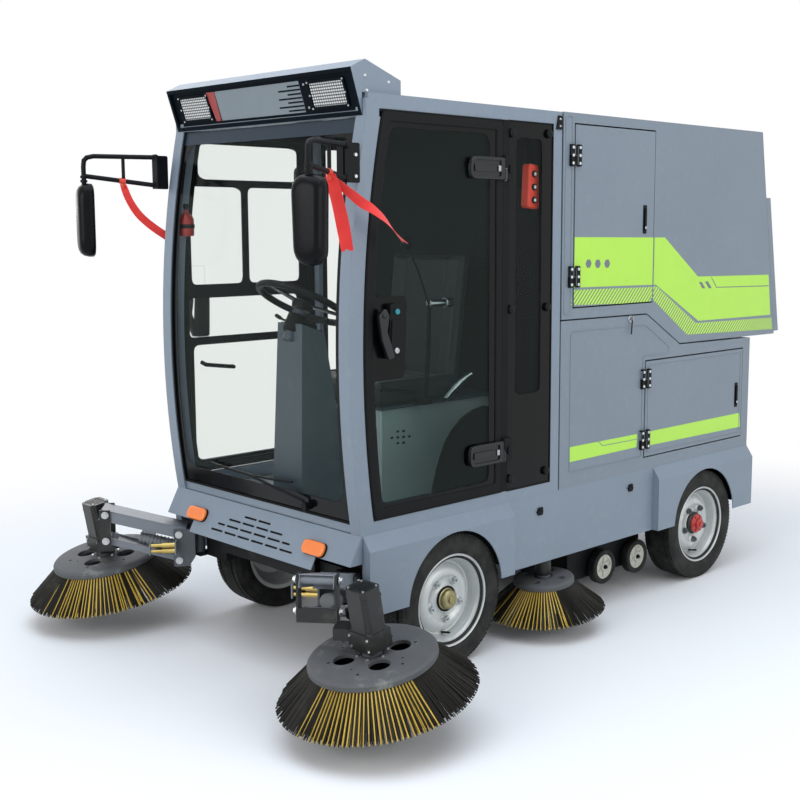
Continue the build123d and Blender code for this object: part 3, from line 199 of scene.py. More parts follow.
def finish(bm, name, materials, body, bevel=0.0, smooth=35.0, replaces=(), levels=2):
    """Turns the bmesh into a piece of the machine that moves with a body."""
    bmesh.ops.remove_doubles(bm, verts=bm.verts, dist=1e-6)
    bmesh.ops.recalc_face_normals(bm, faces=bm.faces)
    mesh = bpy.data.meshes.new(name)
    bm.to_mesh(mesh)
    bm.free()
    for material in materials if isinstance(materials, (list, tuple)) else [materials]:
        mesh.materials.append(material)
    piece = bpy.data.objects.new(name, mesh)
    bpy.context.scene.collection.objects.link(piece)
    if smooth:
        mesh.shade_smooth()
        mesh.set_sharp_from_angle(angle=math.radians(smooth))
    if bevel:
        edge = piece.modifiers.new("edges", "BEVEL")
        edge.width = mm(bevel)
        edge.segments = levels
        edge.limit_method = "ANGLE"
        edge.angle_limit = math.radians(32)
        edge.harden_normals = False
    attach(piece, body)
    if replaces:
        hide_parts(*replaces)
    return piece


# %% [markdown]
# ## Finishes
# Each finish starts from what the real surface is: stove-sprayed steel, moulded rubber, float glass,
# zinc plate. Colours are written as on a paint chart and turned to linear light by one function.

# %% Colour and node helpers
def chart(code, alpha=1.0):
    """An sRGB colour code as linear light."""
    values = [int(code[i:i + 2], 16) / 255 for i in (1, 3, 5)]
    return (*[v / 12.92 if v <= 0.04045 else ((v + 0.055) / 1.055) ** 2.4 for v in values], alpha)


def put(tree, kind, inputs=None, **settings):
    """Adds one node with its settings, values and links."""
    made = tree.nodes.new(kind)
    for key, value in settings.items():
        setattr(made, key, value)
    for key, value in (inputs or {}).items():
        if isinstance(value, bpy.types.NodeSocket):
            tree.links.new(value, made.inputs[key])
        else:
            made.inputs[key].default_value = value
    return made


def new_finish(name):
    material = bpy.data.materials.new(name)
    material.use_nodes = True
    tree = material.node_tree
    tree.nodes.clear()
    return material, tree


def place_of(tree):
    return put(tree, "ShaderNodeTexCoord").outputs["Object"]


def close_finish(tree, shader):
    put(tree, "ShaderNodeOutputMaterial", {"Surface": shader.outputs[0]})


def between(tree, amount, low, high):
    """Colour or value between two, by an amount from 0 to 1."""
    if isinstance(low, (int, float)):
        mixed = put(tree, "ShaderNodeMapRange", {"Value": amount, "To Min": low, "To Max": high})
        return mixed.outputs["Result"]
    mixed = put(tree, "ShaderNodeMix", {"Factor": amount}, data_type="RGBA")
    mixed.inputs[6].default_value = low
    mixed.inputs[7].default_value = high
    return mixed.outputs[2]


# %% Sprayed steel, the cab's and the body's finish
def sprayed_steel(name, colour, shade, rough=0.36, edge=1.5):
    """Two-pack paint on sheet steel: a broad tone drift, faint dust, and orange peel about 1.5 mm across.
    A Bevel node rounds the light on every fold by the sheet's own bend radius."""
    material, tree = new_finish(name)
    where = place_of(tree)
    drift = put(tree, "ShaderNodeTexNoise", {"Vector": where, "Scale": 1.6, "Detail": 5.0, "Roughness": 0.62})
    film = put(tree, "ShaderNodeTexNoise", {"Vector": where, "Scale": 26.0, "Detail": 7.0, "Roughness": 0.7})
    peel = put(tree, "ShaderNodeTexNoise", {"Vector": where, "Scale": 420.0, "Detail": 1.0})
    tone = between(tree, drift.outputs["Fac"], chart(shade), chart(colour))
    dust = put(tree, "ShaderNodeMapRange", {"Value": film.outputs["Fac"], "From Min": 0.52, "From Max": 0.8,
                                            "To Max": 0.16})
    dusty = put(tree, "ShaderNodeMix", {"Factor": dust.outputs["Result"]}, data_type="RGBA")
    tree.links.new(tone, dusty.inputs[6])
    dusty.inputs[7].default_value = chart("#a7a89f")
    fold = put(tree, "ShaderNodeBevel", {"Radius": mm(edge)}, samples=4)
    skin = put(tree, "ShaderNodeBump", {"Height": peel.outputs["Fac"], "Strength": 0.1, "Distance": 0.0004,
                                        "Normal": fold.outputs["Normal"]})
    close_finish(tree, put(tree, "ShaderNodeBsdfPrincipled", {
        "Base Color": dusty.outputs[2], "Roughness": between(tree, film.outputs["Fac"], rough - 0.07, rough + 0.12),
        "Normal": skin.outputs["Normal"], "Specular IOR Level": 0.4, "Coat Weight": 0.1, "Coat Roughness": 0.25}))
    return material


cab_paint = sprayed_steel("sprayed_steel_blue_grey", "#808d9a", "#77838f")
body_paint = sprayed_steel("sprayed_steel_mid_grey", "#7c8892", "#747f89")
# a lighter copy of the body's grey paint: painted light on the seat box, which stands in the cab's shade
seat_box_painted_light = sprayed_steel("sprayed_steel_grey_painted_light", "#c9d1d1", "#bac3c3", 0.42)
# a darker copy of the cab paint: painted shade on the steering pod and on the seat box's lid and door
dark_grey_painted_shade = sprayed_steel("sprayed_steel_grey_painted_shade", "#424e57", "#3a454d")
arm_paint = sprayed_steel("sprayed_steel_arm_grey", "#7c8188", "#6b7077", 0.42, 2.0)
print("sprayed finishes made")


# %% Powder coat, castings and moulded plastics
def matt_skin(name, colour, shade, rough, grain=900.0, depth=0.12, coat=0.0, worn=None, metallic=0.0, shine=0.5):
    """A surface with fine moulded or cast grain; worn gives the colour that shows through in patches."""
    material, tree = new_finish(name)
    where = place_of(tree)
    patch = put(tree, "ShaderNodeTexNoise", {"Vector": where, "Scale": 9.0, "Detail": 6.0, "Roughness": 0.65})
    speck = put(tree, "ShaderNodeTexNoise", {"Vector": where, "Scale": grain, "Detail": 2.0})
    tone = between(tree, patch.outputs["Fac"], chart(shade), chart(colour))
    if worn:
        rub = put(tree, "ShaderNodeMapRange", {"Value": patch.outputs["Fac"], "From Min": 0.58, "From Max": 0.74})
        mixed = put(tree, "ShaderNodeMix", {"Factor": rub.outputs["Result"]}, data_type="RGBA")
        tree.links.new(tone, mixed.inputs[6])
        mixed.inputs[7].default_value = chart(worn)
        tone = mixed.outputs[2]
    fold = put(tree, "ShaderNodeBevel", {"Radius": 0.0012}, samples=4)
    skin = put(tree, "ShaderNodeBump", {"Height": speck.outputs["Fac"], "Strength": depth, "Distance": 0.0005,
                                        "Normal": fold.outputs["Normal"]})
    close_finish(tree, put(tree, "ShaderNodeBsdfPrincipled", {
        "Base Color": tone, "Roughness": between(tree, patch.outputs["Fac"], rough - 0.08, rough + 0.1),
        "Normal": skin.outputs["Normal"], "Coat Weight": coat, "Coat Roughness": 0.15, "Metallic": metallic,
        "Specular IOR Level": shine}))
    return material


lamp_face_paint = matt_skin("powder_coated_steel_slate", "#0a141b", "#081016", 0.55, 700.0, shine=0.04)
powder_black = matt_skin("powder_coated_steel_black", "#111316", "#0b0d0f", 0.45, shine=0.13)
chassis_black = matt_skin("chassis_enamel_black", "#191a1c", "#101112", 0.55, worn="#33322f", shine=0.2)
motor_olive = matt_skin("motor_housing_dark_olive", "#2b2d2a", "#1b1d1b", 0.36, coat=0.12, worn="#454740", shine=0.3)
gearbox_grey = matt_skin("cast_gearbox_grey", "#50565b", "#3c4146", 0.5, 500.0, 0.25, worn="#74777a")
abs_black = matt_skin("abs_black", "#0f1113", "#090a0c", 0.45, 1300.0, 0.2, shine=0.13)
abs_gloss = matt_skin("abs_black_gloss", "#0d0f11", "#08090b", 0.26, 1300.0, 0.03, shine=0.1)
latch_black = matt_skin("die_cast_latch_black", "#17191b", "#0f1113", 0.24, 1300.0, 0.03, shine=0.42)
epdm_black = matt_skin("epdm_seal_black", "#0d0e0f", "#090909", 0.6, shine=0.15)
disc_grey = matt_skin("polypropylene_disc_dusty", "#626466", "#494b4c", 0.62, 700.0, 0.3, worn="#868882", shine=0.3)
frit_black = matt_skin("ceramic_frit_black", "#090b0c", "#060708", 0.16, shine=0.18)
trim_black = matt_skin("bulkhead_trim_black", "#14171a", "#0e1012", 0.75, 600.0, 0.3, shine=0.2)
wheel_silver = matt_skin("wheel_silver_paint", "#cbcecc", "#b4b8b7", 0.36, 900.0, 0.1, coat=0.2, worn="#dcdedc", metallic=0.3)
hub_white = matt_skin("nylon_wheel_white", "#cfcec3", "#b3b2a6", 0.5, worn="#8c8a7c")
red_enamel = matt_skin("hub_cap_red_enamel", "#c3342e", "#a82722", 0.35, coat=0.3)
pendant_red = matt_skin("pendant_housing_red", "#e2452f", "#c93a28", 0.45)
battery_case = matt_skin("battery_case_grey", "#2c2f33", "#222528", 0.5)
control_teal = matt_skin("push_button_teal", "#1f8f9a", "#187680", 0.4)
label_white = matt_skin("painted_white", "#dcdedd", "#cfd2d1", 0.45)
label_red = matt_skin("painted_red", "#a5423f", "#8f3533", 0.45)
label_grey = matt_skin("painted_panel_grey", "#848e93", "#768187", 0.45, shine=0.3)
print("plastic and casting finishes made")


# %% Bare and plated metals
def plated(name, colour, shade, rough, scratch=300.0):
    """Plated or turned metal: colour drift of the plating and fine turning marks."""
    material, tree = new_finish(name)
    where = place_of(tree)
    drift = put(tree, "ShaderNodeTexNoise", {"Vector": where, "Scale": 22.0, "Detail": 4.0})
    marks = put(tree, "ShaderNodeTexNoise", {"Vector": where, "Scale": scratch, "Detail": 3.0})
    mark_bump = put(tree, "ShaderNodeBump", {"Height": marks.outputs["Fac"], "Strength": 0.12, "Distance": 0.0003})
    close_finish(tree, put(tree, "ShaderNodeBsdfPrincipled", {
        "Base Color": between(tree, drift.outputs["Fac"], chart(shade), chart(colour)), "Metallic": 1.0,
        "Roughness": between(tree, marks.outputs["Fac"], rough - 0.06, rough + 0.1), "Normal": mark_bump.outputs["Normal"]}))
    return material


zinc_yellow = plated("zinc_plate_yellow", "#c8b36a", "#a8935a", 0.34)
zinc_bright = plated("zinc_plate_bright", "#c9cccd", "#a9adaf", 0.3)
chrome = plated("chrome_plate", "#dfe2e4", "#cfd3d6", 0.1)
gas_rod = plated("gas_spring_brass_yellow", "#d9bd52", "#b9993c", 0.28)
hub_gold = plated("passivated_hub_cap", "#a9a279", "#87805e", 0.36)
brushed = plated("satin_stainless", "#b9bcbd", "#9fa2a4", 0.3, 700.0)
print("metal finishes made")


# %% Tyre rubber, vinyl film, bristle plastic
def tyre_skin():
    """Vulcanised rubber, grey-brown with road dust where the noise is high."""
    material, tree = new_finish("vulcanised_tyre_rubber")
    where = place_of(tree)
    dust = put(tree, "ShaderNodeTexNoise", {"Vector": where, "Scale": 14.0, "Detail": 8.0, "Roughness": 0.7})
    grain = put(tree, "ShaderNodeTexNoise", {"Vector": where, "Scale": 650.0, "Detail": 2.0})
    amount = put(tree, "ShaderNodeMapRange", {"Value": dust.outputs["Fac"], "From Min": 0.42, "From Max": 0.72})
    tone = between(tree, amount.outputs["Result"], chart("#1b1c1b"), chart("#3a3a36"))
    skin = put(tree, "ShaderNodeBump", {"Height": grain.outputs["Fac"], "Strength": 0.2, "Distance": 0.0006})
    close_finish(tree, put(tree, "ShaderNodeBsdfPrincipled", {
        "Base Color": tone, "Roughness": between(tree, dust.outputs["Fac"], 0.55, 0.85),
        "Normal": skin.outputs["Normal"], "Specular IOR Level": 0.22}))
    return material


tyre_rubber = tyre_skin()
lime_film = matt_skin("vinyl_film_lime", "#b4e749", "#aade44", 0.3, coat=0.3)
grey_film = matt_skin("vinyl_film_grey", "#67707a", "#5f6871", 0.3, coat=0.3)
bristle_yellow = matt_skin("bristle_polypropylene_yellow", "#dcb94e", "#ad8f3c", 0.45, worn="#dcc467", shine=0.3)
bristle_black = matt_skin("bristle_polypropylene_black", "#211f1a", "#141310", 0.5, worn="#35332b", shine=0.2)


# %% Lamp plastics, mirror silver and cloth
def moulded_lens(name, colour, shade, glow=0.0):
    """Clear-coated acrylic over a reflector: bright body colour with a fine prism pattern, 4 mm apart."""
    material, tree = new_finish(name)
    where = place_of(tree)
    prism = put(tree, "ShaderNodeTexVoronoi", {"Vector": where, "Scale": 250.0})
    tone = between(tree, prism.outputs["Distance"], chart(colour), chart(shade))
    pattern = put(tree, "ShaderNodeBump", {"Height": prism.outputs["Distance"], "Strength": 0.35, "Distance": 0.0006})
    close_finish(tree, put(tree, "ShaderNodeBsdfPrincipled", {
        "Base Color": tone, "Roughness": 0.28, "Normal": pattern.outputs["Normal"], "Coat Weight": 1.0,
        "Coat Roughness": 0.05, "Emission Color": chart(colour), "Emission Strength": glow}))
    return material


amber_acrylic = moulded_lens("amber_acrylic", "#f07b04", "#dc6600", 0.14)
red_acrylic = moulded_lens("red_acrylic", "#b3181c", "#8d1014", 0.05)
mirror_silver = plated("mirror_silver", "#e6ebec", "#dfe5e6", 0.07)


def woven_cloth():
    """Plain-weave polyester ribbon: warp and weft as two crossed waves, 1.2 mm apart, with a soft sheen."""
    material, tree = new_finish("woven_ribbon_red")
    where = place_of(tree)
    warp = put(tree, "ShaderNodeTexWave", {"Vector": where, "Scale": 260.0, "Distortion": 0.6}, bands_direction="Z")
    weft = put(tree, "ShaderNodeTexWave", {"Vector": where, "Scale": 260.0, "Distortion": 0.6}, bands_direction="X")
    weave = put(tree, "ShaderNodeMath", {0: warp.outputs["Fac"], 1: weft.outputs["Fac"]}, operation="MULTIPLY")
    drift = put(tree, "ShaderNodeTexNoise", {"Vector": where, "Scale": 18.0, "Detail": 4.0})
    skin = put(tree, "ShaderNodeBump", {"Height": weave.outputs[0], "Strength": 0.4, "Distance": 0.0004})
    close_finish(tree, put(tree, "ShaderNodeBsdfPrincipled", {
        "Base Color": between(tree, drift.outputs["Fac"], chart("#e0241f"), chart("#f4413b")), "Roughness": 0.75,
        "Normal": skin.outputs["Normal"], "Sheen Weight": 0.4, "Sheen Roughness": 0.4}))
    return material


ribbon_cloth = woven_cloth()


CELL_PITCH = (("X", 0.0125), ("Z", 0.0100))


def honeycomb_lens():
    """Work lamp seen through its guard: rows and columns of bright reflector cells between dark webs."""
    material, tree = new_finish("work_lamp_honeycomb")
    part = put(tree, "ShaderNodeSeparateXYZ", {0: place_of(tree)})
    waves = []
    for axis, pitch in CELL_PITCH:
        turn = put(tree, "ShaderNodeMath", {0: part.outputs[axis], 1: math.pi / pitch}, operation="MULTIPLY")
        waves.append(put(tree, "ShaderNodeMath", {0: turn.outputs[0]}, operation="SINE"))
    cells = put(tree, "ShaderNodeMath", {0: waves[0].outputs[0], 1: waves[1].outputs[0]}, operation="MULTIPLY")
    height = put(tree, "ShaderNodeMath", {0: cells.outputs[0]}, operation="ABSOLUTE")
    web = put(tree, "ShaderNodeMapRange", {"Value": height.outputs[0], "From Min": 0.28, "From Max": 0.85})
    tone = between(tree, web.outputs["Result"], chart("#2b3033"), chart("#eef1f0"))
    close_finish(tree, put(tree, "ShaderNodeBsdfPrincipled", {
        "Base Color": tone, "Roughness": 0.3, "Coat Weight": 0.5, "Coat Roughness": 0.08}))
    return material


lamp_white = honeycomb_lens()
# dark slate for the border strip along the windscreen's top: painted shade over the glass's top border
band_painted_shade = matt_skin("glass_band_painted_shade", "#2a3743", "#24303b", 0.2, shine=0.2)
print("lens, mirror and cloth finishes made")


# %% Patterned finishes: chequer plate, hatched film, seat vinyl
def chequer_plate():
    """Rolled steel floor plate: raised bars 25 mm apart in two crossed directions."""
    material, tree = new_finish("chequer_plate_steel")
    where = place_of(tree)
    part = put(tree, "ShaderNodeSeparateXYZ", {0: where})
    along = put(tree, "ShaderNodeMath", {0: part.outputs["X"], 1: part.outputs["Y"]}, operation="ADD")
    across_it = put(tree, "ShaderNodeMath", {0: part.outputs["X"], 1: part.outputs["Y"]}, operation="SUBTRACT")
    bars = []
    for source, other in ((along, across_it), (across_it, along)):
        stripe = put(tree, "ShaderNodeMath", {0: source.outputs[0], 1: 177.0}, operation="MULTIPLY")
        wave = put(tree, "ShaderNodeMath", {0: stripe.outputs[0]}, operation="SINE")
        gate = put(tree, "ShaderNodeMath", {0: other.outputs[0], 1: 88.5}, operation="MULTIPLY")
        gate_wave = put(tree, "ShaderNodeMath", {0: gate.outputs[0]}, operation="SINE")
        both = put(tree, "ShaderNodeMath", {0: wave.outputs[0], 1: gate_wave.outputs[0]}, operation="MULTIPLY")
        bars.append(put(tree, "ShaderNodeMapRange", {"Value": both.outputs[0], "From Min": 0.45, "From Max": 0.7}))
    height = put(tree, "ShaderNodeMath", {0: bars[0].outputs["Result"], 1: bars[1].outputs["Result"]}, operation="MAXIMUM")
    grime = put(tree, "ShaderNodeTexNoise", {"Vector": where, "Scale": 12.0, "Detail": 6.0})
    raised = put(tree, "ShaderNodeBump", {"Height": height.outputs[0], "Strength": 0.8, "Distance": 0.0016})
    close_finish(tree, put(tree, "ShaderNodeBsdfPrincipled", {
        "Base Color": between(tree, grime.outputs["Fac"], chart("#73797b"), chart("#a3a9aa")), "Metallic": 0.8,
        "Roughness": between(tree, grime.outputs["Fac"], 0.3, 0.55), "Normal": raised.outputs["Normal"]}))
    return material


def hatched_vinyl():
    """Lime film printed with slanting hairlines of the paint's grey, 22 mm apart."""
    material, tree = new_finish("vinyl_film_lime_hatched")
    where = place_of(tree)
    part = put(tree, "ShaderNodeSeparateXYZ", {0: where})
    slant = put(tree, "ShaderNodeMath", {0: part.outputs["Y"], 1: part.outputs["Z"]}, operation="SUBTRACT")
    repeat = put(tree, "ShaderNodeMath", {0: slant.outputs[0], 1: 45.0}, operation="MULTIPLY")
    phase = put(tree, "ShaderNodeMath", {0: repeat.outputs[0]}, operation="FRACT")
    line = put(tree, "ShaderNodeMath", {0: phase.outputs[0], 1: 0.42}, operation="LESS_THAN")
    close_finish(tree, put(tree, "ShaderNodeBsdfPrincipled", {
        "Base Color": between(tree, line.outputs[0], chart("#b4e65a"), chart("#75824f")), "Roughness": 0.32,
        "Coat Weight": 0.3, "Coat Roughness": 0.12}))
    return material


def upholstery_vinyl():
    """Grained black seat vinyl: a 2 mm leather grain with worn, slightly glossier high spots."""
    material, tree = new_finish("seat_vinyl_black")
    where = place_of(tree)
    grain = put(tree, "ShaderNodeTexVoronoi", {"Vector": where, "Scale": 480.0})
    wear = put(tree, "ShaderNodeTexNoise", {"Vector": where, "Scale": 8.0, "Detail": 5.0})
    skin = put(tree, "ShaderNodeBump", {"Height": grain.outputs["Distance"], "Strength": 0.3, "Distance": 0.0005})
    close_finish(tree, put(tree, "ShaderNodeBsdfPrincipled", {
        "Base Color": between(tree, wear.outputs["Fac"], chart("#17191a"), chart("#25292a")),
        "Roughness": between(tree, wear.outputs["Fac"], 0.38, 0.6), "Normal": skin.outputs["Normal"],
        "Sheen Weight": 0.1}))
    return material


checker_plate = chequer_plate()
hatched_film = hatched_vinyl()
seat_vinyl = upholstery_vinyl()
control_grey = matt_skin("actuator_casting_grey", "#8a8f92", "#777c80", 0.42, coat=0.2)
print("patterned finishes made")


# %% Glass
def float_glass(name, tint, head_on=0.04, mirror_tint="#8b9695"):
    """Toughened float glass seen as a thin pane: it darkens what is behind it and mirrors more at a slant.
    A pane this thin hardly bends the view, so Transparent and Glossy shaders do it without noise. The
    mirror's share head on is `head_on` and rises with the fifth power of the slant, the same from both
    sides."""
    material, tree = new_finish(name)
    slant = put(tree, "ShaderNodeLayerWeight", {"Blend": 0.5})
    steep = put(tree, "ShaderNodeMath", {0: slant.outputs["Facing"], 1: 5.0}, operation="POWER")
    share = put(tree, "ShaderNodeMapRange", {"Value": steep.outputs[0], "To Min": head_on, "To Max": 0.9})
    through = put(tree, "ShaderNodeBsdfTransparent", {"Color": chart(tint)})
    mirror = put(tree, "ShaderNodeBsdfGlossy", {"Color": chart(mirror_tint), "Roughness": 0.03})
    close_finish(tree, put(tree, "ShaderNodeMixShader", {0: share.outputs["Result"], 1: through.outputs[0],
                                                         2: mirror.outputs[0]}))
    return material


screen_glass = float_glass("toughened_glass_clear", "#fcfdfc", 0.02)
side_glass = float_glass("toughened_glass_tinted", "#d3dcda")
clear_side_glass = float_glass("toughened_glass_pale", "#f9fbfa", 0.02)
print("glass made")


# %% [markdown]
# ## Finishes on the solids that stay
# Sheet panels, beams and housings already have their true shape, so they keep their solids and only
# take a finish. A table names the finish of each.

# %% Give each kept solid its finish
def dress(node, finish_material):
    node_object = CAD[node]
    node_object.data.materials.clear()
    node_object.data.materials.append(finish_material)


kept = {"chassis_frame": chassis_black, "rear_axle": chassis_black, "front_axle": chassis_black,
        "tail_lamps": red_acrylic, "side_shell": cab_paint,
        "front_panel": cab_paint, "cab_frame": cab_paint, "cab_floor": chassis_black, "cab_glass": screen_glass,
        "lamp_box": cab_paint, "steering_pod": dark_grey_painted_shade, "seat_base": cab_paint, "cabinet": body_paint,
        "battery": battery_case, "bin_shell": body_paint, "tailgate": body_paint, "mid_brush_mounts": motor_olive,
        "roller_box": powder_black, "mirror_arms": powder_black, "mirror_heads": abs_black,
        "head_lamps": label_white, "marker_lamps": lime_film, "seat_pads": abs_black, "steering_wheel": abs_black,
        "ribbons": red_enamel, "main_roller": bristle_black}
for side, _ in SIDES:
    kept.update({f"knuckle_{side}": chassis_black, f"door_frame_{side}": frit_black,
                 f"door_glass_{side}": side_glass if side == "left" else clear_side_glass, f"low_door_{side}": body_paint, f"up_door_{side}": body_paint,
                 f"upper_arm_{side}": arm_paint, f"lower_link_{side}": arm_paint, f"arm_bracket_{side}": gearbox_grey,
                 f"brush_carrier_{side}": motor_olive, f"front_brush_{side}": bristle_black,
                 f"mid_brush_{side}": bristle_black, f"carry_wheel_fore_{side}": hub_white,
                 f"carry_wheel_aft_{side}": hub_white})
    for corner in ("front", "rear"):
        kept[f"tyre_{corner}_{side}"] = tyre_rubber
        kept[f"rim_{corner}_{side}"] = wheel_silver
for node_name, material in kept.items():
    dress(node_name, material)
print("solids dressed:", len(kept), "of", len(CAD))


# %% [markdown]
# ## Repeated parts with Geometry Nodes
# Screws, nuts, tread blocks and bristles repeat by the hundred. Modelling one and copying it by hand
# would work, but a node tree keeps count, size and spacing as named inputs, so one tree serves them all.

# %% Node tree helpers
def new_tree(name, sockets):
    """An empty node tree with a geometry input, the given inputs and a geometry output."""
    tree = bpy.data.node_groups.new(name, "GeometryNodeTree")
    tree.interface.new_socket("Points", in_out="INPUT", socket_type="NodeSocketGeometry")
    for label, kind, value in sockets:
        made = tree.interface.new_socket(label, in_out="INPUT", socket_type=kind)
        if value is not None:
            made.default_value = value
    tree.interface.new_socket("Result", in_out="OUTPUT", socket_type="NodeSocketGeometry")
    return tree, tree.nodes.new("NodeGroupInput")


def close_tree(tree, geometry, material):
    real = put(tree, "GeometryNodeRealizeInstances", {"Geometry": geometry})
    done = put(tree, "GeometryNodeSetMaterial", {"Geometry": real.outputs[0], "Material": material})
    put(tree, "NodeGroupOutput", {0: done.outputs[0]})


def points_with_facing(name, places):
    """A mesh of loose points, each with the direction that a copy on it faces."""
    mesh = bpy.data.meshes.new(name)
    mesh.from_pydata([p for p, _ in places], [], [])
    facing = mesh.attributes.new("facing", "FLOAT_VECTOR", "POINT")
    for i, (_, direction) in enumerate(places):
        facing.data[i].vector = direction
    return mesh


def grow(name, mesh, tree, values, body, smooth=35.0):
    """Runs a tree on a mesh and keeps the result as a plain mesh piece on a body."""
    seed = bpy.data.objects.new(name + "_points", mesh)
    bpy.context.scene.collection.objects.link(seed)
    modifier = seed.modifiers.new("grow", "NODES")
    modifier.node_group = tree
    for item in tree.interface.items_tree:
        if item.in_out == "INPUT" and item.name in values:
            modifier[item.identifier] = values[item.name]
    evaluated = seed.evaluated_get(bpy.context.evaluated_depsgraph_get())
    result = bpy.data.meshes.new_from_object(evaluated)
    bpy.data.objects.remove(seed)
    result.name = name
    if smooth:
        result.shade_smooth()
        result.set_sharp_from_angle(angle=math.radians(smooth))
    piece = bpy.data.objects.new(name, result)
    bpy.context.scene.collection.objects.link(piece)
    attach(piece, body)
    return piece


# %% Tree for screws, nuts and studs
def fastener_tree():
    """A tapered head with any number of sides on each point, standing along its facing."""
    tree, given = new_tree("fasteners", (("Sides", "NodeSocketInt", 6), ("Radius", "NodeSocketFloat", 0.006),
                                         ("Top Radius", "NodeSocketFloat", 0.005), ("Height", "NodeSocketFloat", 0.004),
                                         ("Finish", "NodeSocketMaterial", None)))
    head = put(tree, "GeometryNodeMeshCone", {"Vertices": given.outputs["Sides"], "Radius Bottom": given.outputs["Radius"],
                                              "Radius Top": given.outputs["Top Radius"], "Depth": given.outputs["Height"]})
    facing = put(tree, "GeometryNodeInputNamedAttribute", {"Name": "facing"}, data_type="FLOAT_VECTOR")
    turn = put(tree, "FunctionNodeAlignRotationToVector", {"Vector": facing.outputs["Attribute"]}, axis="Z")
    copies = put(tree, "GeometryNodeInstanceOnPoints", {"Points": given.outputs["Points"], "Instance": head.outputs["Mesh"],
                                                        "Rotation": turn.outputs["Rotation"]})
    close_tree(tree, copies.outputs["Instances"], given.outputs["Finish"])
    return tree


FASTENERS = fastener_tree()


def fasten(name, places, sides, radius, height, material, body, top=0.82):
    """Screw heads, nuts or studs at (point, direction) places. Sizes are in millimetres."""
    return grow(name, points_with_facing(name, places), FASTENERS,
                {"Sides": sides, "Radius": mm(radius), "Top Radius": mm(radius * top), "Height": mm(height),
                 "Finish": material}, body)


def ring_of(centre, axis, radius, count, start=0.0):
    """Points in a circle, all facing along its axis. Radius in millimetres, start in degrees."""
    axis = Vector(axis).normalized()
    u, v = across(axis)
    return [(Vector(centre) + (u * math.cos(t) + v * math.sin(t)) * mm(radius), axis)
            for t in (math.radians(start) + 2 * math.pi * k / count for k in range(count))]


print("fastener tree inputs:", [item.name for item in FASTENERS.interface.items_tree if item.in_out == "INPUT"])

# %% [markdown]
# ## Road wheels
# A light-truck tyre is turned rubber with a cut tread. The carcass is lathe work with grooves, and the
# blocks between the grooves are grown by a node tree, each turned about the axle only.

# %% Tread tree
def tread_tree():
    tree, given = new_tree("tread_blocks", (("Block Size", "NodeSocketVector", (0.02, 0.012, 0.008)),
                                            ("Slant", "NodeSocketFloat", 0.2), ("Finish", "NodeSocketMaterial", None)))
    cube = put(tree, "GeometryNodeMeshCube", {"Size": given.outputs["Block Size"]})
    skew = put(tree, "ShaderNodeCombineXYZ", {"Z": given.outputs["Slant"]})
    slanted = put(tree, "GeometryNodeTransform", {"Geometry": cube.outputs["Mesh"], "Rotation": skew.outputs[0]})
    facing = put(tree, "GeometryNodeInputNamedAttribute", {"Name": "facing"}, data_type="FLOAT_VECTOR")
    turn = put(tree, "FunctionNodeAlignRotationToVector", {"Vector": facing.outputs["Attribute"]}, axis="Z",
               pivot_axis="X")
    copies = put(tree, "GeometryNodeInstanceOnPoints", {"Points": given.outputs["Points"],
                                                        "Instance": slanted.outputs["Geometry"],
                                                        "Rotation": turn.outputs["Rotation"]})
    close_tree(tree, copies.outputs["Instances"], given.outputs["Finish"])
    return tree


TREAD = tread_tree()
TYRE_R, WHEELBASE, WHEEL_X = 266.0, 1710.0, 541.0
TREAD_ROWS = ((-58.0, 20.0, 0.22), (-24.0, 22.0, -0.3), (0.0, 18.0, 0.3), (24.0, 22.0, -0.3), (58.0, 20.0, 0.22))
TREAD_PITCH = 92


def tyre_and_tread(corner, side, k, body):
    station = 0.0 if corner == "front" else WHEELBASE
    centre = spot(k * WHEEL_X, station, TYRE_R)
    bm = bmesh.new()
    wall = [(168, 50), (166, 60), (178, 67), (186, 70), (190, 70), (193, 73), (206, 76), (222, 77.4), (226, 76.2),
            (230, 77), (243, 75), (252, 72), (257, 69)]
    profile = [(r, -o) for r, o in wall] + [(258.5, -64), (259, 0), (258.5, 64)] + list(reversed(wall))
    add_turned(bm, profile, centre, (1, 0, 0), 96)
    finish(bm, f"tyre_skin_{corner}_{side}", tyre_rubber, body, smooth=40,
           replaces=(f"tyre_{corner}_{side}",))
    for row, (offset, width, slant) in enumerate(TREAD_ROWS):
        radius = TYRE_R - 5.2 if abs(offset) < 40 else TYRE_R - 6.6
        places = []
        for i in range(TREAD_PITCH):
            t = 2 * math.pi * (i + 0.5 * (row % 2)) / TREAD_PITCH
            out = Vector((0, math.cos(t), math.sin(t)))
            places.append((centre + Vector((mm(offset), 0, 0)) + out * mm(radius), out))
        grow(f"tread_{corner}_{side}_{row}", points_with_facing("tread", places), TREAD,
             {"Block Size": (mm(width + 4), mm(15.5), mm(8)), "Slant": slant, "Finish": tyre_rubber}, body)


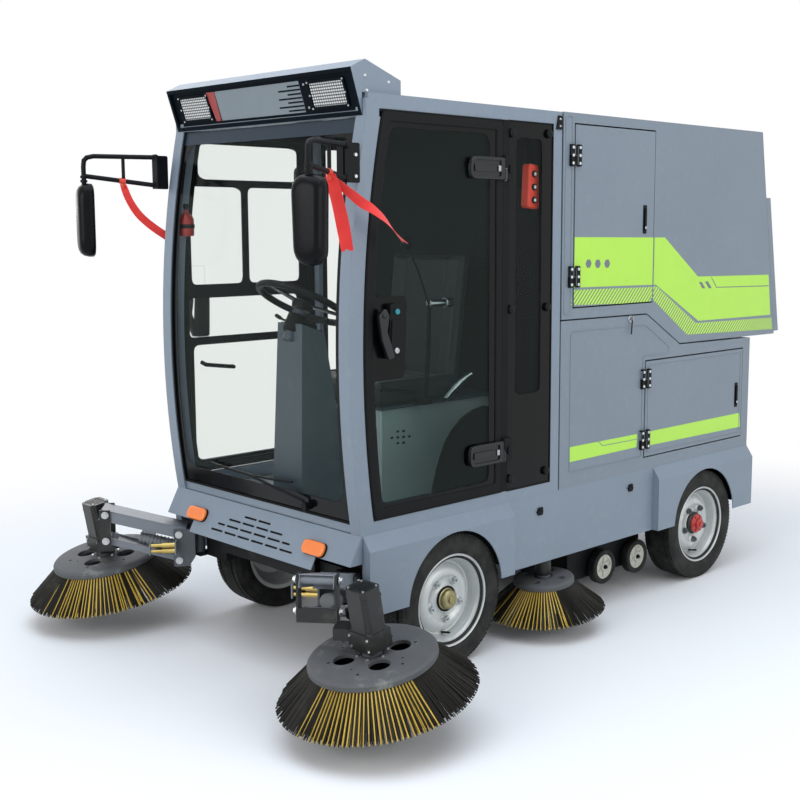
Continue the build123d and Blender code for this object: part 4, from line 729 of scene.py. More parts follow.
def steel_wheel(corner, side, k, body):
    """Pressed steel disc wheel: rolled rim, dished disc, nut seats, nuts and hub cap."""
    station = 0.0 if corner == "front" else WHEELBASE
    centre = spot(k * WHEEL_X, station, TYRE_R)
    out = Vector((k, 0, 0))
    bm = bmesh.new()
    profile = [(182, 66), (185, 70), (182, 72.5), (177, 70), (175, 62), (166, 56), (163, 44), (158, 40), (150, 20),
               (147, 8), (141, 6), (132, 16), (120, 27), (104, 33), (92, 31), (84, 24), (70, 22), (56, 25), (50, 30),
               (46, 31), (46, 12), (60, 8), (124, 4), (136, -10), (150, -30), (158, -52), (170, -62), (182, -66),
               (182, -69), (165, -64), (165, -50), (160, -40), (152, -28), (152, 30), (160, 44), (165, 54), (176, 63)]
    add_turned(bm, profile, centre, out, 72, closed=True)
    finish(bm, f"wheel_disc_{corner}_{side}", wheel_silver, body, smooth=38,
           replaces=(f"rim_{corner}_{side}",))
    seats = ring_of(centre + out * mm(22.5), out, 82, 5, 18)
    fasten(f"nut_seats_{corner}_{side}", seats, 24, 24, 7, wheel_silver, body, 0.72)
    metal = zinc_bright if corner == "front" else gearbox_grey
    fasten(f"nuts_{corner}_{side}", [(p + out * mm(6.5), d) for p, d in seats], 6, 15.5, 15, metal, body, 0.9)
    fasten(f"studs_{corner}_{side}", [(p + out * mm(20), d) for p, d in seats], 12, 7, 9, metal, body, 0.85)
    bm = bmesh.new()
    if corner == "front":
        hub = [(0, 69), (11, 69), (12.5, 67), (13, 62), (27, 61.5), (31, 58), (34, 54), (35, 40), (40, 36), (40, 12), (0, 12)]
        add_turned(bm, [(r * 1.12, o) for r, o in hub], centre, out, 40)
        finish(bm, f"hub_cap_{corner}_{side}", hub_gold, body, smooth=30)
        bm = bmesh.new()
        add_turned(bm, [(44, 30), (51, 33), (51, 36), (44, 38)], centre, out, 40, closed=True)
        finish(bm, f"hub_ring_{corner}_{side}", abs_black, body, smooth=30)
    else:
        hub = [(0, 46), (40, 46), (48, 42), (54, 34), (56, 12), (0, 12)]
        add_turned(bm, hub, centre, out, 40)
        finish(bm, f"hub_flange_{corner}_{side}", motor_olive, body, smooth=30)
        bm = bmesh.new()
        add_turned(bm, [(0, 80), (12, 80), (13, 74), (24, 73), (27, 70), (28, 60), (33, 57), (43, 56), (46, 53), (46, 46),
                        (0, 46)], centre, out, 40)
        finish(bm, f"lock_cap_{corner}_{side}", red_enamel, body, smooth=30)
        fasten(f"cap_screws_{corner}_{side}", ring_of(centre + out * mm(56), out, 37, 6), 6, 6, 6, red_enamel, body)
    bm = bmesh.new()
    stem = centre + Vector((mm(k * 8), 0, 0))
    add_tube(bm, [stem + Vector((0, 0, mm(-143))), stem + Vector((mm(k * 10), 0, mm(-140))),
                  stem + Vector((mm(k * 44), 0, mm(-134)))], mm(4), 10)
    finish(bm, f"valve_{corner}_{side}", abs_black, body)


for side, k in SIDES:
    for corner in ("front", "rear"):
        wheel_body = f"wheel_{corner}_{side}"
        tyre_and_tread(corner, side, k, wheel_body)
        steel_wheel(corner, side, k, wheel_body)
print("road wheels made")

# %% [markdown]
# ## Carrying wheels
# Four small castors with white nylon hubs carry the sweeping box, and a long brush turns inside it.

# %% Carrying wheels
CARRY = (("fore", 1098.0), ("aft", 1347.0))
for side, k in SIDES:
    for place_name, station in CARRY:
        centre = spot(k * 484, station, 154)
        out = Vector((k, 0, 0))
        wheel_body = f"carry_wheel_{place_name}_{side}"
        bm = bmesh.new()
        add_turned(bm, [(56, -21), (76, -22), (80, -16), (80, 16), (76, 21), (66, 22), (62, 19), (56, 18)], centre, out, 48,
                   closed=True)
        finish(bm, f"castor_tyre_{place_name}_{side}", tyre_rubber, wheel_body,
               replaces=(f"carry_wheel_{place_name}_{side}",))
        bm = bmesh.new()
        add_turned(bm, [(10.2, 20), (20, 21), (22, 16), (26, 9), (44, 9), (49, 15), (56.5, 16), (56.5, -16), (49, -15),
                        (44, -9), (26, -9), (22, -16), (10.2, -20)], centre, out, 48, closed=True)
        for i in range(6):
            spin = Matrix.Rotation(math.pi * i / 3, 4, "X")
            rib = [spin @ Vector((mm(-14), mm(-3), mm(20))), spin @ Vector((mm(-14), mm(3), mm(20))),
                   spin @ Vector((mm(-14), mm(3), mm(50))), spin @ Vector((mm(-14), mm(-3), mm(50)))]
            add_plate(bm, [centre + p for p in rib], (mm(28), 0, 0))
        finish(bm, f"castor_hub_{place_name}_{side}", hub_white, wheel_body, smooth=30)
    ends = [(spot(k * 510, station, 154), Vector((k, 0, 0))) for _, station in CARRY]
    fasten(f"castor_axle_ends_{side}", ends, 6, 8, 6, chassis_black, "chassis")
print("carrying wheels made")

# %% [markdown]
# ## Disc brushes
# A gutter brush is a plastic disc with rows of stiff plastic bristles that flare out under it. The
# bristles are grown: a circle of points, a thin tapered spike on each, leaned outwards with a little
# scatter, and a random choice of two colours with a fixed seed.

# %% Bristle tree
def bristle_tree():
    tree, given = new_tree("bristles", (
        ("Count", "NodeSocketInt", 200), ("Root Radius", "NodeSocketFloat", 0.2), ("Flare", "NodeSocketFloat", 0.14),
        ("Drop", "NodeSocketFloat", 0.11), ("Thickness", "NodeSocketFloat", 0.003), ("Scatter", "NodeSocketFloat", 0.006),
        ("Yellow Share", "NodeSocketFloat", 0.45), ("Bright Side", "NodeSocketVector", (0.0, -1.0, 0.0)),
        ("Seed", "NodeSocketInt", 1),
        ("First Finish", "NodeSocketMaterial", None), ("Second Finish", "NodeSocketMaterial", None)))
    ring = put(tree, "GeometryNodeMeshCircle", {"Vertices": given.outputs["Count"], "Radius": given.outputs["Root Radius"]})
    place = put(tree, "GeometryNodeInputPosition")
    outward = put(tree, "ShaderNodeVectorMath", {0: place.outputs[0]}, operation="NORMALIZE")
    flare = put(tree, "ShaderNodeVectorMath", {0: outward.outputs[0], "Scale": given.outputs["Flare"]}, operation="SCALE")
    down = put(tree, "ShaderNodeMath", {0: given.outputs["Drop"], 1: -1.0}, operation="MULTIPLY")
    drop = put(tree, "ShaderNodeCombineXYZ", {"Z": down.outputs[0]})
    lean = put(tree, "ShaderNodeVectorMath", {0: flare.outputs[0], 1: drop.outputs[0]}, operation="ADD")
    low = put(tree, "ShaderNodeMath", {0: given.outputs["Scatter"], 1: -1.0}, operation="MULTIPLY")
    low_v = put(tree, "ShaderNodeCombineXYZ", {"X": low.outputs[0], "Y": low.outputs[0], "Z": low.outputs[0]})
    high_v = put(tree, "ShaderNodeCombineXYZ", {"X": given.outputs["Scatter"], "Y": given.outputs["Scatter"],
                                                "Z": given.outputs["Scatter"]})
    stray = put(tree, "FunctionNodeRandomValue", {0: low_v.outputs[0], 1: high_v.outputs[0], "Seed": given.outputs["Seed"]},
                data_type="FLOAT_VECTOR")
    aim = put(tree, "ShaderNodeVectorMath", {0: lean.outputs[0], 1: stray.outputs[0]}, operation="ADD")
    reach = put(tree, "ShaderNodeCombineXYZ", {"X": given.outputs["Flare"], "Z": given.outputs["Drop"]})
    length = put(tree, "ShaderNodeVectorMath", {0: reach.outputs[0]}, operation="LENGTH")
    turn = put(tree, "FunctionNodeAlignRotationToVector", {"Vector": aim.outputs[0]}, axis="Z")
    tip = put(tree, "ShaderNodeMath", {0: given.outputs["Thickness"], 1: 0.8}, operation="MULTIPLY")
    spike = put(tree, "GeometryNodeMeshCone", {"Vertices": 4, "Radius Bottom": given.outputs["Thickness"],
                                               "Radius Top": tip.outputs[0], "Depth": length.outputs["Value"]})
    toward = put(tree, "ShaderNodeVectorMath", {0: outward.outputs[0], 1: given.outputs["Bright Side"]},
                 operation="DOT_PRODUCT")
    sector = put(tree, "ShaderNodeMapRange", {"Value": toward.outputs["Value"], "From Min": 0.62, "From Max": 0.9})
    share = put(tree, "ShaderNodeMath", {0: sector.outputs["Result"], 1: given.outputs["Yellow Share"]},
                operation="MULTIPLY")
    order = put(tree, "GeometryNodeInputIndex")
    odd = put(tree, "ShaderNodeMath", {0: order.outputs[0], 1: 2.0}, operation="MODULO")
    odd_share = put(tree, "ShaderNodeMath", {0: odd.outputs[0], 1: share.outputs[0]}, operation="MULTIPLY")
    pick = put(tree, "FunctionNodeRandomValue", {"Probability": odd_share.outputs[0], "Seed": given.outputs["Seed"]},
               data_type="BOOLEAN")
    other = put(tree, "FunctionNodeBooleanMath", {0: pick.outputs[3]}, operation="NOT")
    parts = []
    for chosen, finish_socket in ((pick.outputs[3], "First Finish"), (other.outputs[0], "Second Finish")):
        copies = put(tree, "GeometryNodeInstanceOnPoints", {"Points": ring.outputs["Mesh"], "Selection": chosen,
                                                            "Instance": spike.outputs["Mesh"],
                                                            "Rotation": turn.outputs["Rotation"]})
        real = put(tree, "GeometryNodeRealizeInstances", {"Geometry": copies.outputs["Instances"]})
        parts.append(put(tree, "GeometryNodeSetMaterial", {"Geometry": real.outputs[0],
                                                           "Material": given.outputs[finish_socket]}).outputs[0])
    joined = put(tree, "GeometryNodeJoinGeometry")
    for part in parts:
        tree.links.new(part, joined.inputs[0])
    put(tree, "NodeGroupOutput", {0: joined.outputs[0]})
    return tree


BRISTLES = bristle_tree()


def move_mesh(piece, matrix):
    piece.data.transform(matrix)


def bristle_ring(name, frame_matrix, root, tip, z0, z1, count, thickness, seed, share, toward, body, scatter=7.0):
    """One ring of bristles about a spindle. Radii and heights in millimetres from the disc's upper face."""
    bare = bpy.data.meshes.new(name)
    bare.from_pydata([(0, 0, 0)], [], [])
    piece = grow(name, bare, BRISTLES, {
        "Count": count, "Root Radius": mm(root), "Flare": mm(tip - root), "Drop": mm(z0 - z1), "Thickness": mm(thickness),
        "Scatter": mm(scatter), "Yellow Share": share, "Bright Side": toward, "Seed": seed, "First Finish": bristle_yellow,
        "Second Finish": bristle_black}, body, smooth=0)
    move_mesh(piece, frame_matrix @ Matrix.Translation((0, 0, mm(z0))))
    return piece


def disc_with_holes(name, frame_matrix, disc_r, holes, body, replaced):
    """Moulded disc, its rim rounded, with round windows through its top."""
    bm = bmesh.new()
    add_turned(bm, [(0, -6), (38, -6), (40, 0), (disc_r - 16, 0), (disc_r - 5, -3), (disc_r, -9), (disc_r, -24),
                    (disc_r - 4, -28), (disc_r - 22, -28), (disc_r - 24, -14), (0, -14)], (0, 0, 0), (0, 0, 1), 64)
    for face in bm.faces:
        face.smooth = True
    bmesh.ops.recalc_face_normals(bm, faces=bm.faces)
    mesh = bpy.data.meshes.new(name)
    bm.to_mesh(mesh)
    bm.free()
    disc = bpy.data.objects.new(name + "_raw", mesh)
    bpy.context.scene.collection.objects.link(disc)
    cutters = []
    for angle, ring, radius in holes:
        cut = bmesh.new()
        t = math.radians(angle)
        add_turned(cut, [(0, 10), (radius, 10), (radius, -40), (0, -40)], (mm(ring) * math.cos(t), mm(ring) * math.sin(t), 0),
                   (0, 0, 1), 28)
        bmesh.ops.recalc_face_normals(cut, faces=cut.faces)
        cut_mesh = bpy.data.meshes.new("cut")
        cut.to_mesh(cut_mesh)
        cut.free()
        cutter = bpy.data.objects.new("cut", cut_mesh)
        bpy.context.scene.collection.objects.link(cutter)
        bore = disc.modifiers.new("hole", "BOOLEAN")
        bore.operation, bore.object, bore.solver = "DIFFERENCE", cutter, "EXACT"
        cutters.append(cutter)
    result = bpy.data.meshes.new_from_object(disc.evaluated_get(bpy.context.evaluated_depsgraph_get()))
    for extra in cutters + [disc]:
        bpy.data.objects.remove(extra)
    result.materials.clear()
    result.materials.append(disc_grey)
    result.transform(frame_matrix)
    result.set_sharp_from_angle(angle=math.radians(35))
    piece = bpy.data.objects.new(name, result)
    bpy.context.scene.collection.objects.link(piece)
    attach(piece, body)
    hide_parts(replaced)
    return piece


# %% Front and middle brushes
def spindle(x, s, z, lean):
    return Matrix.Translation(spot(x, s, z)) @ Matrix.Rotation(math.radians(lean), 4, "X")


DISC_HOLES = [(a, 98.0, 38.0) for a in (-118, -28, 62, 152)]
SMALL_HOLES = [(a, 150.0, 6.0) for a in range(0, 360, 60)] + [(a + 14, 122.0, 4.0) for a in range(0, 360, 90)]
for side, k in SIDES:
    place = spindle(k * 881, -651, 294, 10)
    body = f"front_brush_{side}"
    disc_with_holes(f"brush_disc_{side}", place, 223, [(a if k > 0 else 180 - a, r, h) for a, r, h in DISC_HOLES + SMALL_HOLES],
                    body, f"front_brush_{side}")
    bright = (0.7, -0.714, 0.0) if k > 0 else (0.76, -0.65, 0.0)
    bristle_ring(f"bristles_outer_{side}", place, 211, 345, -22, -145, 240, 3.0, 3 + k, 1.0, bright, body, 3.0)
    bristle_ring(f"bristles_second_{side}", place, 205, 337, -22, -143, 320, 3.6, 13 + k, 0.5, bright, body, 5.0)
    bristle_ring(f"bristles_inner_{side}", place, 198, 326, -22, -140, 380, 4.6, 23 + k, 0.05, bright, body, 6.0)
    bm = bmesh.new()
    add_turned(bm, [(0, 60), (12, 60), (12, 12), (34, 10), (36, 0), (36, -8), (0, -8)], (0, 0, 0), (0, 0, 1), 32)
    hub = finish(bm, f"brush_hub_{side}", gearbox_grey, body)
    move_mesh(hub, place)
    bm = bmesh.new()
    add_turned(bm, [(0, -46), (186, -46), (190, -50), (186, -54), (0, -54)], (0, 0, 0), (0, 0, 1), 48)
    move_mesh(finish(bm, f"brush_core_{side}", abs_black, body), place)
    screws = fasten(f"disc_screws_{side}", ring_of((0, 0, 0), (0, 0, 1), 54, 6, 30), 6, 7, 6, zinc_bright, body)
    move_mesh(screws, place)
    place = spindle(k * 560, 600, 228, 5)
    body = f"mid_brush_{side}"
    disc_with_holes(f"mid_disc_{side}", place, 130, [(a if k > 0 else 180 - a, 80.0, 16.0) for a in range(20, 380, 90)], body,
                    f"mid_brush_{side}")
    bright = (0.36, -0.93, 0.0)
    bristle_ring(f"mid_bristles_outer_{side}", place, 119, 255, -22, -141, 170, 3.0, 33 + k, 1.0, bright, body, 3.0)
    bristle_ring(f"mid_bristles_second_{side}", place, 113, 247, -22, -139, 210, 3.6, 43 + k, 0.5, bright, body, 5.0)
    bristle_ring(f"mid_bristles_inner_{side}", place, 106, 236, -22, -136, 250, 4.6, 53 + k, 0.05, bright, body, 6.0)
    bm = bmesh.new()
    add_turned(bm, [(0, 58), (12, 58), (12, 10), (28, 8), (30, 0), (30, -8), (0, -8)], (0, 0, 0), (0, 0, 1), 32)
    hub = finish(bm, f"mid_hub_{side}", gearbox_grey, body)
    move_mesh(hub, place)
    bm = bmesh.new()
    add_turned(bm, [(0, -44), (98, -44), (101, -48), (98, -52), (0, -52)], (0, 0, 0), (0, 0, 1), 40)
    move_mesh(finish(bm, f"mid_core_{side}", abs_black, body), place)
print("disc brushes made")


# %% [markdown]
# ## Brush arms
# Each arm is a small four-bar lift: a folded steel box as the upper arm, a flat link under it, a bracket
# that swings on an upright pin and a carrier with gearbox and motor. Pins end in nuts, as such machines
# are assembled with bolts, and short zinc-yellow struts limit the swing.

# %% The arm's own directions
ARM_ROOT = spot(520, -500, 0)
ARM_TIP = spot(700, -734, 0)
REACH = (ARM_TIP - ARM_ROOT).length * 1000.0
ROOT_Z, TIP_Z = (432.0, 322.0), (525.0, 415.0)


def arm_axes(k):
    along = (ARM_TIP - ARM_ROOT).normalized()
    along = Vector((k * along.x, along.y, 0))
    outward = Vector((-along.y, along.x, 0)) * k
    return along, outward


def on_arm(k, along_mm, outward_mm, z):
    """Point from millimetres along the arm, out from its middle plane and above the ground."""
    along, outward = arm_axes(k)
    base = Vector((k * ARM_ROOT.x, ARM_ROOT.y, 0))
    return base + along * mm(along_mm) + outward * mm(outward_mm) + Vector((0, 0, mm(z)))


def arm_prism(bm, k, corners, out0, out1):
    """Plate in the arm's upright plane from (along, height) corners."""
    outward = arm_axes(k)[1]
    add_plate(bm, [on_arm(k, a, out0, z) for a, z in corners], outward * mm(out1 - out0))


def slope_corners(low, high, half):
    (l0, z0), (l1, z1) = low, high
    n = math.hypot(l1 - l0, z1 - z0)
    ul, uz = (l1 - l0) / n, (z1 - z0) / n
    return [(l0 - ul * half - uz * half, z0 + ul * half), (l1 + ul * half - uz * half, z1 + ul * half),
            (l1 + ul * half + uz * half, z1 - ul * half), (l0 - ul * half + uz * half, z0 - ul * half)]


# %% Upper arms, links and brackets
for side, k in SIDES:
    body = f"upper_arm_{side}"
    bm = bmesh.new()
    corners = slope_corners((0, ROOT_Z[0]), (REACH, TIP_Z[0]), 23.6)
    n = math.hypot(REACH, 93.0)
    ul, uz = REACH / n, 93.0 / n
    top = [(corners[0][0], corners[0][1]), (corners[1][0], corners[1][1]),
           (corners[1][0] + uz * 4, corners[1][1] - ul * 4), (corners[0][0] + uz * 4, corners[0][1] - ul * 4)]
    for out0, out1 in ((-61.8, -57.8), (57.8, 61.8)):
        arm_prism(bm, k, corners, out0, out1)
    arm_prism(bm, k, top, -61.8, 61.8)
    finish(bm, f"arm_channel_{side}", arm_paint, body, bevel=1.4, replaces=(f"upper_arm_{side}",))
    bm = bmesh.new()
    for a, z in ((0, ROOT_Z[0]), (REACH, TIP_Z[0])):
        add_tube(bm, [on_arm(k, a, -62, z), on_arm(k, a, 62, z)], mm(15), 24)
    arm_prism(bm, k, [(96, 430), (150, 447), (150, 478), (96, 461)], -56, 56)
    finish(bm, f"arm_bushes_{side}", arm_paint, body, bevel=0)
    body = f"lower_link_{side}"
    bm = bmesh.new()
    corners = slope_corners((0, ROOT_Z[1]), (REACH, TIP_Z[1]), 13.8)
    for out0, out1 in ((-49.5, -41.5), (41.5, 49.5)):
        arm_prism(bm, k, corners, out0, out1)
    low_plate = [(40, 325), (REACH - 40, 403), (REACH - 40, 408), (40, 330)]
    arm_prism(bm, k, low_plate, -41.5, 41.5)
    for a, z in ((0, ROOT_Z[1]), (REACH, TIP_Z[1])):
        add_tube(bm, [on_arm(k, a, -49.8, z), on_arm(k, a, 49.8, z)], mm(13.6), 24)
    finish(bm, f"link_plates_{side}", arm_paint, body, bevel=1.2, replaces=(f"lower_link_{side}",))
    heads = []
    for a, z, half, rider in ((0, ROOT_Z[0], 75, "arm_bracket"), (0, ROOT_Z[1], 75, "arm_bracket"),
                              (REACH, TIP_Z[0], 75, "brush_carrier"), (REACH, TIP_Z[1], 75, "brush_carrier")):
        outward = arm_axes(k)[1]
        places = [(on_arm(k, a, half, z), outward), (on_arm(k, a, -half, z), -outward)]
        tag = f"{rider}_{side}_{round(z)}"
        nut_high = 5 if rider == "arm_bracket" else 8     # thin nuts clear the skirt when the arm swings
        fasten(f"pin_washers_{tag}", places, 24, 15, 2.5, zinc_bright, f"{rider}_{side}", 1.0)
        fasten(f"pin_nuts_{tag}", [(p + d * 0.0025, d) for p, d in places], 6, 11, nut_high, zinc_bright,
               f"{rider}_{side}", 0.93)
    body = f"arm_bracket_{side}"
    bm = bmesh.new()
    arm_prism(bm, k, [(-34, 296), (-2, 296), (-2, 300), (-34, 300)], -62.6, 62.6)
    finish(bm, f"bracket_floor_{side}", arm_paint, body, bevel=1)
    bm = bmesh.new()
    for z in (372, 396):
        route = [(-16, -72), (-16, -124), (-16, -170)] if k > 0 else [(14, -100), (66, -100), (112, -100)]
        add_tube(bm, [on_arm(k, *route[0], z), on_arm(k, *route[1], z)], mm(11), 20)
        add_tube(bm, [on_arm(k, *route[1], z), on_arm(k, *route[2], z)], mm(8), 16)
    finish(bm, f"stop_struts_{side}", zinc_yellow, body, bevel=0.6)
    bm = bmesh.new()
    if k > 0:
        arm_prism(bm, k, [(-30, 356), (-2, 356), (-2, 412), (-30, 412)], -76, -71.2)
    else:
        arm_prism(bm, k, [(8, 356), (14, 356), (14, 412), (8, 412)], -114, -70)
    ends = (-30, -2, -176, -170) if k > 0 else (112, 118, -114, -86)
    arm_prism(bm, k, [(ends[0], 358), (ends[1], 358), (ends[1], 410), (ends[0], 410)], ends[2], ends[3])
    finish(bm, f"strut_plates_{side}", arm_paint, body, bevel=0.8)
    # lift motor between the bracket's cheeks
    bm = bmesh.new()
    start, end = on_arm(k, 34, 0, 372), on_arm(k, 168, 0, 409)
    add_tube(bm, [start, end], mm(24), 28)
    axis = (end - start).normalized()
    for i in range(9):
        at = start.lerp(end, (i + 0.5) / 9)
        add_tube(bm, [at - axis * 0.002, at + axis * 0.002], mm(28), 28)
    finish(bm, f"lift_motor_{side}", control_grey, f"upper_arm_{side}", bevel=0)
print("arms made")

# %% [markdown]
# ## Brush motors
# A cast gearbox under a finned electric motor with a screwed cover, a cable gland and a conduit.

# %% Motors and gearboxes
GEAR_FOOT, GEAR_TOP, MOTOR_TOP = 22.0, 88.0, 240.0
for side, k in SIDES:
    place = spindle(k * 881, -651, 294, 10)
    body = f"brush_carrier_{side}"
    bm = bmesh.new()
    for z0, z1, half_x, half_y in ((90, 96, 50, 42), (96, 206, 46, 38), (206, 212, 50.5, 42.5), (212, 238, 48, 40),
                                   (238, 240, 44, 36)):
        corner = 15
        outline = rounded([(-half_x, -half_y), (half_x, -half_y), (half_x, half_y), (-half_x, half_y)], corner, 4)
        add_plate(bm, [Vector((mm(x), mm(y), mm(z0))) for x, y in outline], (0, 0, mm(z1 - z0)))
    for i in range(-4, 5):
        for ys in (-1, 1):
            x = mm(i * 9.2)
            add_box(bm, (x - mm(1.5), ys * mm(36.5), mm(98)), (x + mm(1.5), ys * mm(42.5), mm(204)))
    for i in range(-3, 4):
        for xs in (-1, 1):
            y = mm(i * 9.2)
            add_box(bm, (xs * mm(44.5), y - mm(1.5), mm(98)), (xs * mm(50.5), y + mm(1.5), mm(204)))
    motor = finish(bm, f"brush_motor_{side}", motor_olive, body, bevel=1.0)
    move_mesh(motor, place)
    bm = bmesh.new()
    outline = rounded([(-55.5, -47.5), (55.5, -47.5), (55.5, 47.5), (-55.5, 47.5)], 12, 4)
    add_plate(bm, [Vector((mm(x), mm(y), mm(24))) for x, y in outline], (0, 0, mm(58)))
    outline = rounded([(-50, -42), (50, -42), (50, 42), (-50, 42)], 10, 4)
    add_plate(bm, [Vector((mm(x), mm(y), mm(82))) for x, y in outline], (0, 0, mm(8)))
    gear = finish(bm, f"brush_gearbox_{side}", gearbox_grey, body, bevel=1.8)
    move_mesh(gear, place)
    screws = fasten(f"motor_screws_{side}", [(Vector((mm(x), mm(y), mm(240))), Vector((0, 0, 1)))
                                             for x in (-37, 37) for y in (-29, 29)], 6, 4.5, 4, zinc_bright, body)
    move_mesh(screws, place)
    bolts = fasten(f"gearbox_bolts_{side}", [(Vector((mm(x), mm(-47.5), mm(z))), Vector((0, -1, 0)))
                                             for x in (-44, 44) for z in (34, 74)], 6, 6, 5, zinc_bright, body)
    move_mesh(bolts, place)
    gland = [(place @ Vector((mm(-k * 46), mm(-10), mm(150)))), (place @ Vector((mm(-k * 62), mm(-10), mm(150))))]
    bm = bmesh.new()
    add_tube(bm, gland, mm(9), 6)
    finish(bm, f"cable_gland_{side}", abs_black, body, bevel=0.8)
    bm = bmesh.new()
    run = [(place @ Vector((mm(-k * 58), mm(-10), mm(150)))), (place @ Vector((mm(-k * 84), mm(-14), mm(142)))),
           (place @ Vector((mm(-k * 92), mm(-8), mm(112)))), (place @ Vector((mm(-k * 74), mm(6), mm(92)))),
           (place @ Vector((mm(-k * 58), mm(30), mm(88))))]
    add_tube(bm, run, mm(6.5), 12)
    finish(bm, f"motor_conduit_{side}", abs_black, body)
    bm = bmesh.new()
    add_tube(bm, [place @ Vector((mm(-k * 60), mm(-36), mm(52))), place @ Vector((mm(-k * 88), mm(-40), mm(56)))], mm(7), 16)
    finish(bm, f"adjust_bolt_{side}", zinc_yellow, body, bevel=0.8)
print("brush motors made")


# %% [markdown]
# ## Lamps above and below the windscreen
# A dark pressed-steel face carries two reflector work lamps behind mesh guards and a blank panel between
# them. The turn lamps below are amber acrylic capsules on a rubber foot.

# %% Lamp box
BASE, BROW, RIDGE = (-413.5, 2094.0), (-465.0, 2254.0), (-399.0, 2286.0)


def on_brow(x, share, out=0.0):
    """Point on the lamp box's front face: x in millimetres, share of its height, out from the face."""
    ds, dz = BROW[0] - BASE[0], BROW[1] - BASE[1]
    n = math.hypot(ds, dz)
    return spot(x, BASE[0] + ds * share - dz / n * out, BASE[1] + dz * share + ds / n * out)


BROW_OUT = (on_brow(0, 0.5, 1000) - on_brow(0, 0.5, 0)).normalized()
BROW_UP = (on_brow(0, 1) - on_brow(0, 0)).normalized()


def brow_plate(bm, x0, x1, share0, share1, out0, out1, radius=0.0):
    height = (on_brow(0, share1) - on_brow(0, share0)).length * 1000
    outline = [(x0, 0.0), (x1, 0.0), (x1, height), (x0, height)]
    if radius:
        outline = rounded(outline, radius, 3)
    start = on_brow(0, share0, out0)
    add_plate(bm, [start + Vector((mm(p[0]), 0, 0)) + BROW_UP * mm(p[1]) for p in outline], BROW_OUT * mm(out1 - out0))


bm = bmesh.new()
brow_plate(bm, -566.5, 566.5, 0.09, 0.91, -11.8, -10.4)
BROW_H = (on_brow(0, 1) - on_brow(0, 0)).length * 1000
rim = [[(-x, low), (x, low), (x, high), (-x, high)] for x, low, high in ((580.8, 0.3, BROW_H - 0.3), (566.2, 14.8, BROW_H - 14.8))]
start = on_brow(0, 0, -11.0)
rings = [[start + Vector((mm(p[0]), 0, 0)) + BROW_UP * mm(p[1]) for p in ring] for ring in rim]
add_frame_plate(bm, rings[0], rings[1], BROW_OUT * mm(11.6))
finish(bm, "lamp_box_face", lamp_face_paint, "chassis", bevel=0)
bm = bmesh.new()
brow_plate(bm, -262, 268, 0.16, 0.84, -11.4, -8.6, 3)
finish(bm, "banner_panel", label_grey, "chassis", bevel=0.5)


def slanted_bar(bm, low_left, low_right, high_left, high_right, out):
    """Flat bar on the banner between two heights, given by its four x places in millimetres."""
    foot, head = on_brow(0, 0.16, out), on_brow(0, 0.84, out)
    add_plate(bm, [foot + Vector((mm(low_left), 0, 0)), foot + Vector((mm(low_right), 0, 0)),
                   head + Vector((mm(high_right), 0, 0)), head + Vector((mm(high_left), 0, 0))], BROW_OUT * mm(0.5))


bm = bmesh.new()
slanted_bar(bm, -300, -268, -322, -264, -8.5)
finish(bm, "banner_wedge", label_red, "chassis", bevel=0)
bm = bmesh.new()
for row in range(7):
    share = 0.2 + 0.088 * row
    start = 268 - (150 if row % 2 else 96) + 4 * row
    brow_plate(bm, start, 268, share, share + 0.036, -8.7, -8.1, 0)
finish(bm, "banner_speed_lines", lamp_face_paint, "chassis", bevel=0)
for tag, x0, x1 in (("left", 318, 520), ("right", -520, -318)):
    bm = bmesh.new()
    brow_plate(bm, x0, x1, 0.2, 0.8, -11.6, -7.0, 12)
    finish(bm, f"work_lamp_lens_{tag}", lamp_white, "chassis", bevel=1.2, replaces=("head_lamps",) if tag == "left" else ())
    bm = bmesh.new()
    outer = rounded([(x0 - 3, 0), (x1 + 3, 0), (x1 + 3, 106.5), (x0 - 3, 106.5)], 14, 4)
    inner = rounded([(x0 + 8, 11), (x1 - 8, 11), (x1 - 8, 95.5), (x0 + 8, 95.5)], 8, 4)
    start = on_brow(0, 0.185, -11.4)
    lift = [[start + Vector((mm(p[0]), 0, 0)) + BROW_UP * mm(p[1]) for p in ring] for ring in (outer, inner)]
    add_frame_plate(bm, lift[0], lift[1], BROW_OUT * mm(8.4))
    finish(bm, f"work_lamp_bezel_{tag}", lamp_face_paint, "chassis", bevel=1.0)
    screws = [(on_brow(x, s, -3.0), BROW_OUT) for x in (x0 + 3, x1 - 3) for s in (0.22, 0.5, 0.78)]
    fasten(f"lamp_screws_{tag}", screws, 12, 4, 1.6, zinc_bright, "chassis")
screws = [(on_brow(x, s, -10.4), BROW_OUT) for x in (-300, 292) for s in (0.25, 0.75)]
fasten("face_screws", screws, 12, 5, 2, zinc_bright, "chassis")
for side, k in SIDES:
    ends = [(spot(k * 581, s, z), Vector((k, 0, 0))) for s, z in ((-400, 2230), (-290, 2215), (-392, 2180))]
    fasten(f"lamp_box_end_screws_{side}", ends, 14, 6, 2.4, zinc_bright, "chassis")

# %% Turn lamps
NOSE_TOP, NOSE_LOW = (-454.0, 602.0), (-532.0, 455.0)
NOSE_UP = (spot(0, *NOSE_TOP) - spot(0, *NOSE_LOW)).normalized()
NOSE_OUT = Vector((0, -NOSE_UP.z, NOSE_UP.y))


def on_nose(x, share, out=0.0):
    low, high = spot(x, *NOSE_LOW), spot(x, *NOSE_TOP)
    return high.lerp(low, share) + NOSE_OUT * mm(out)


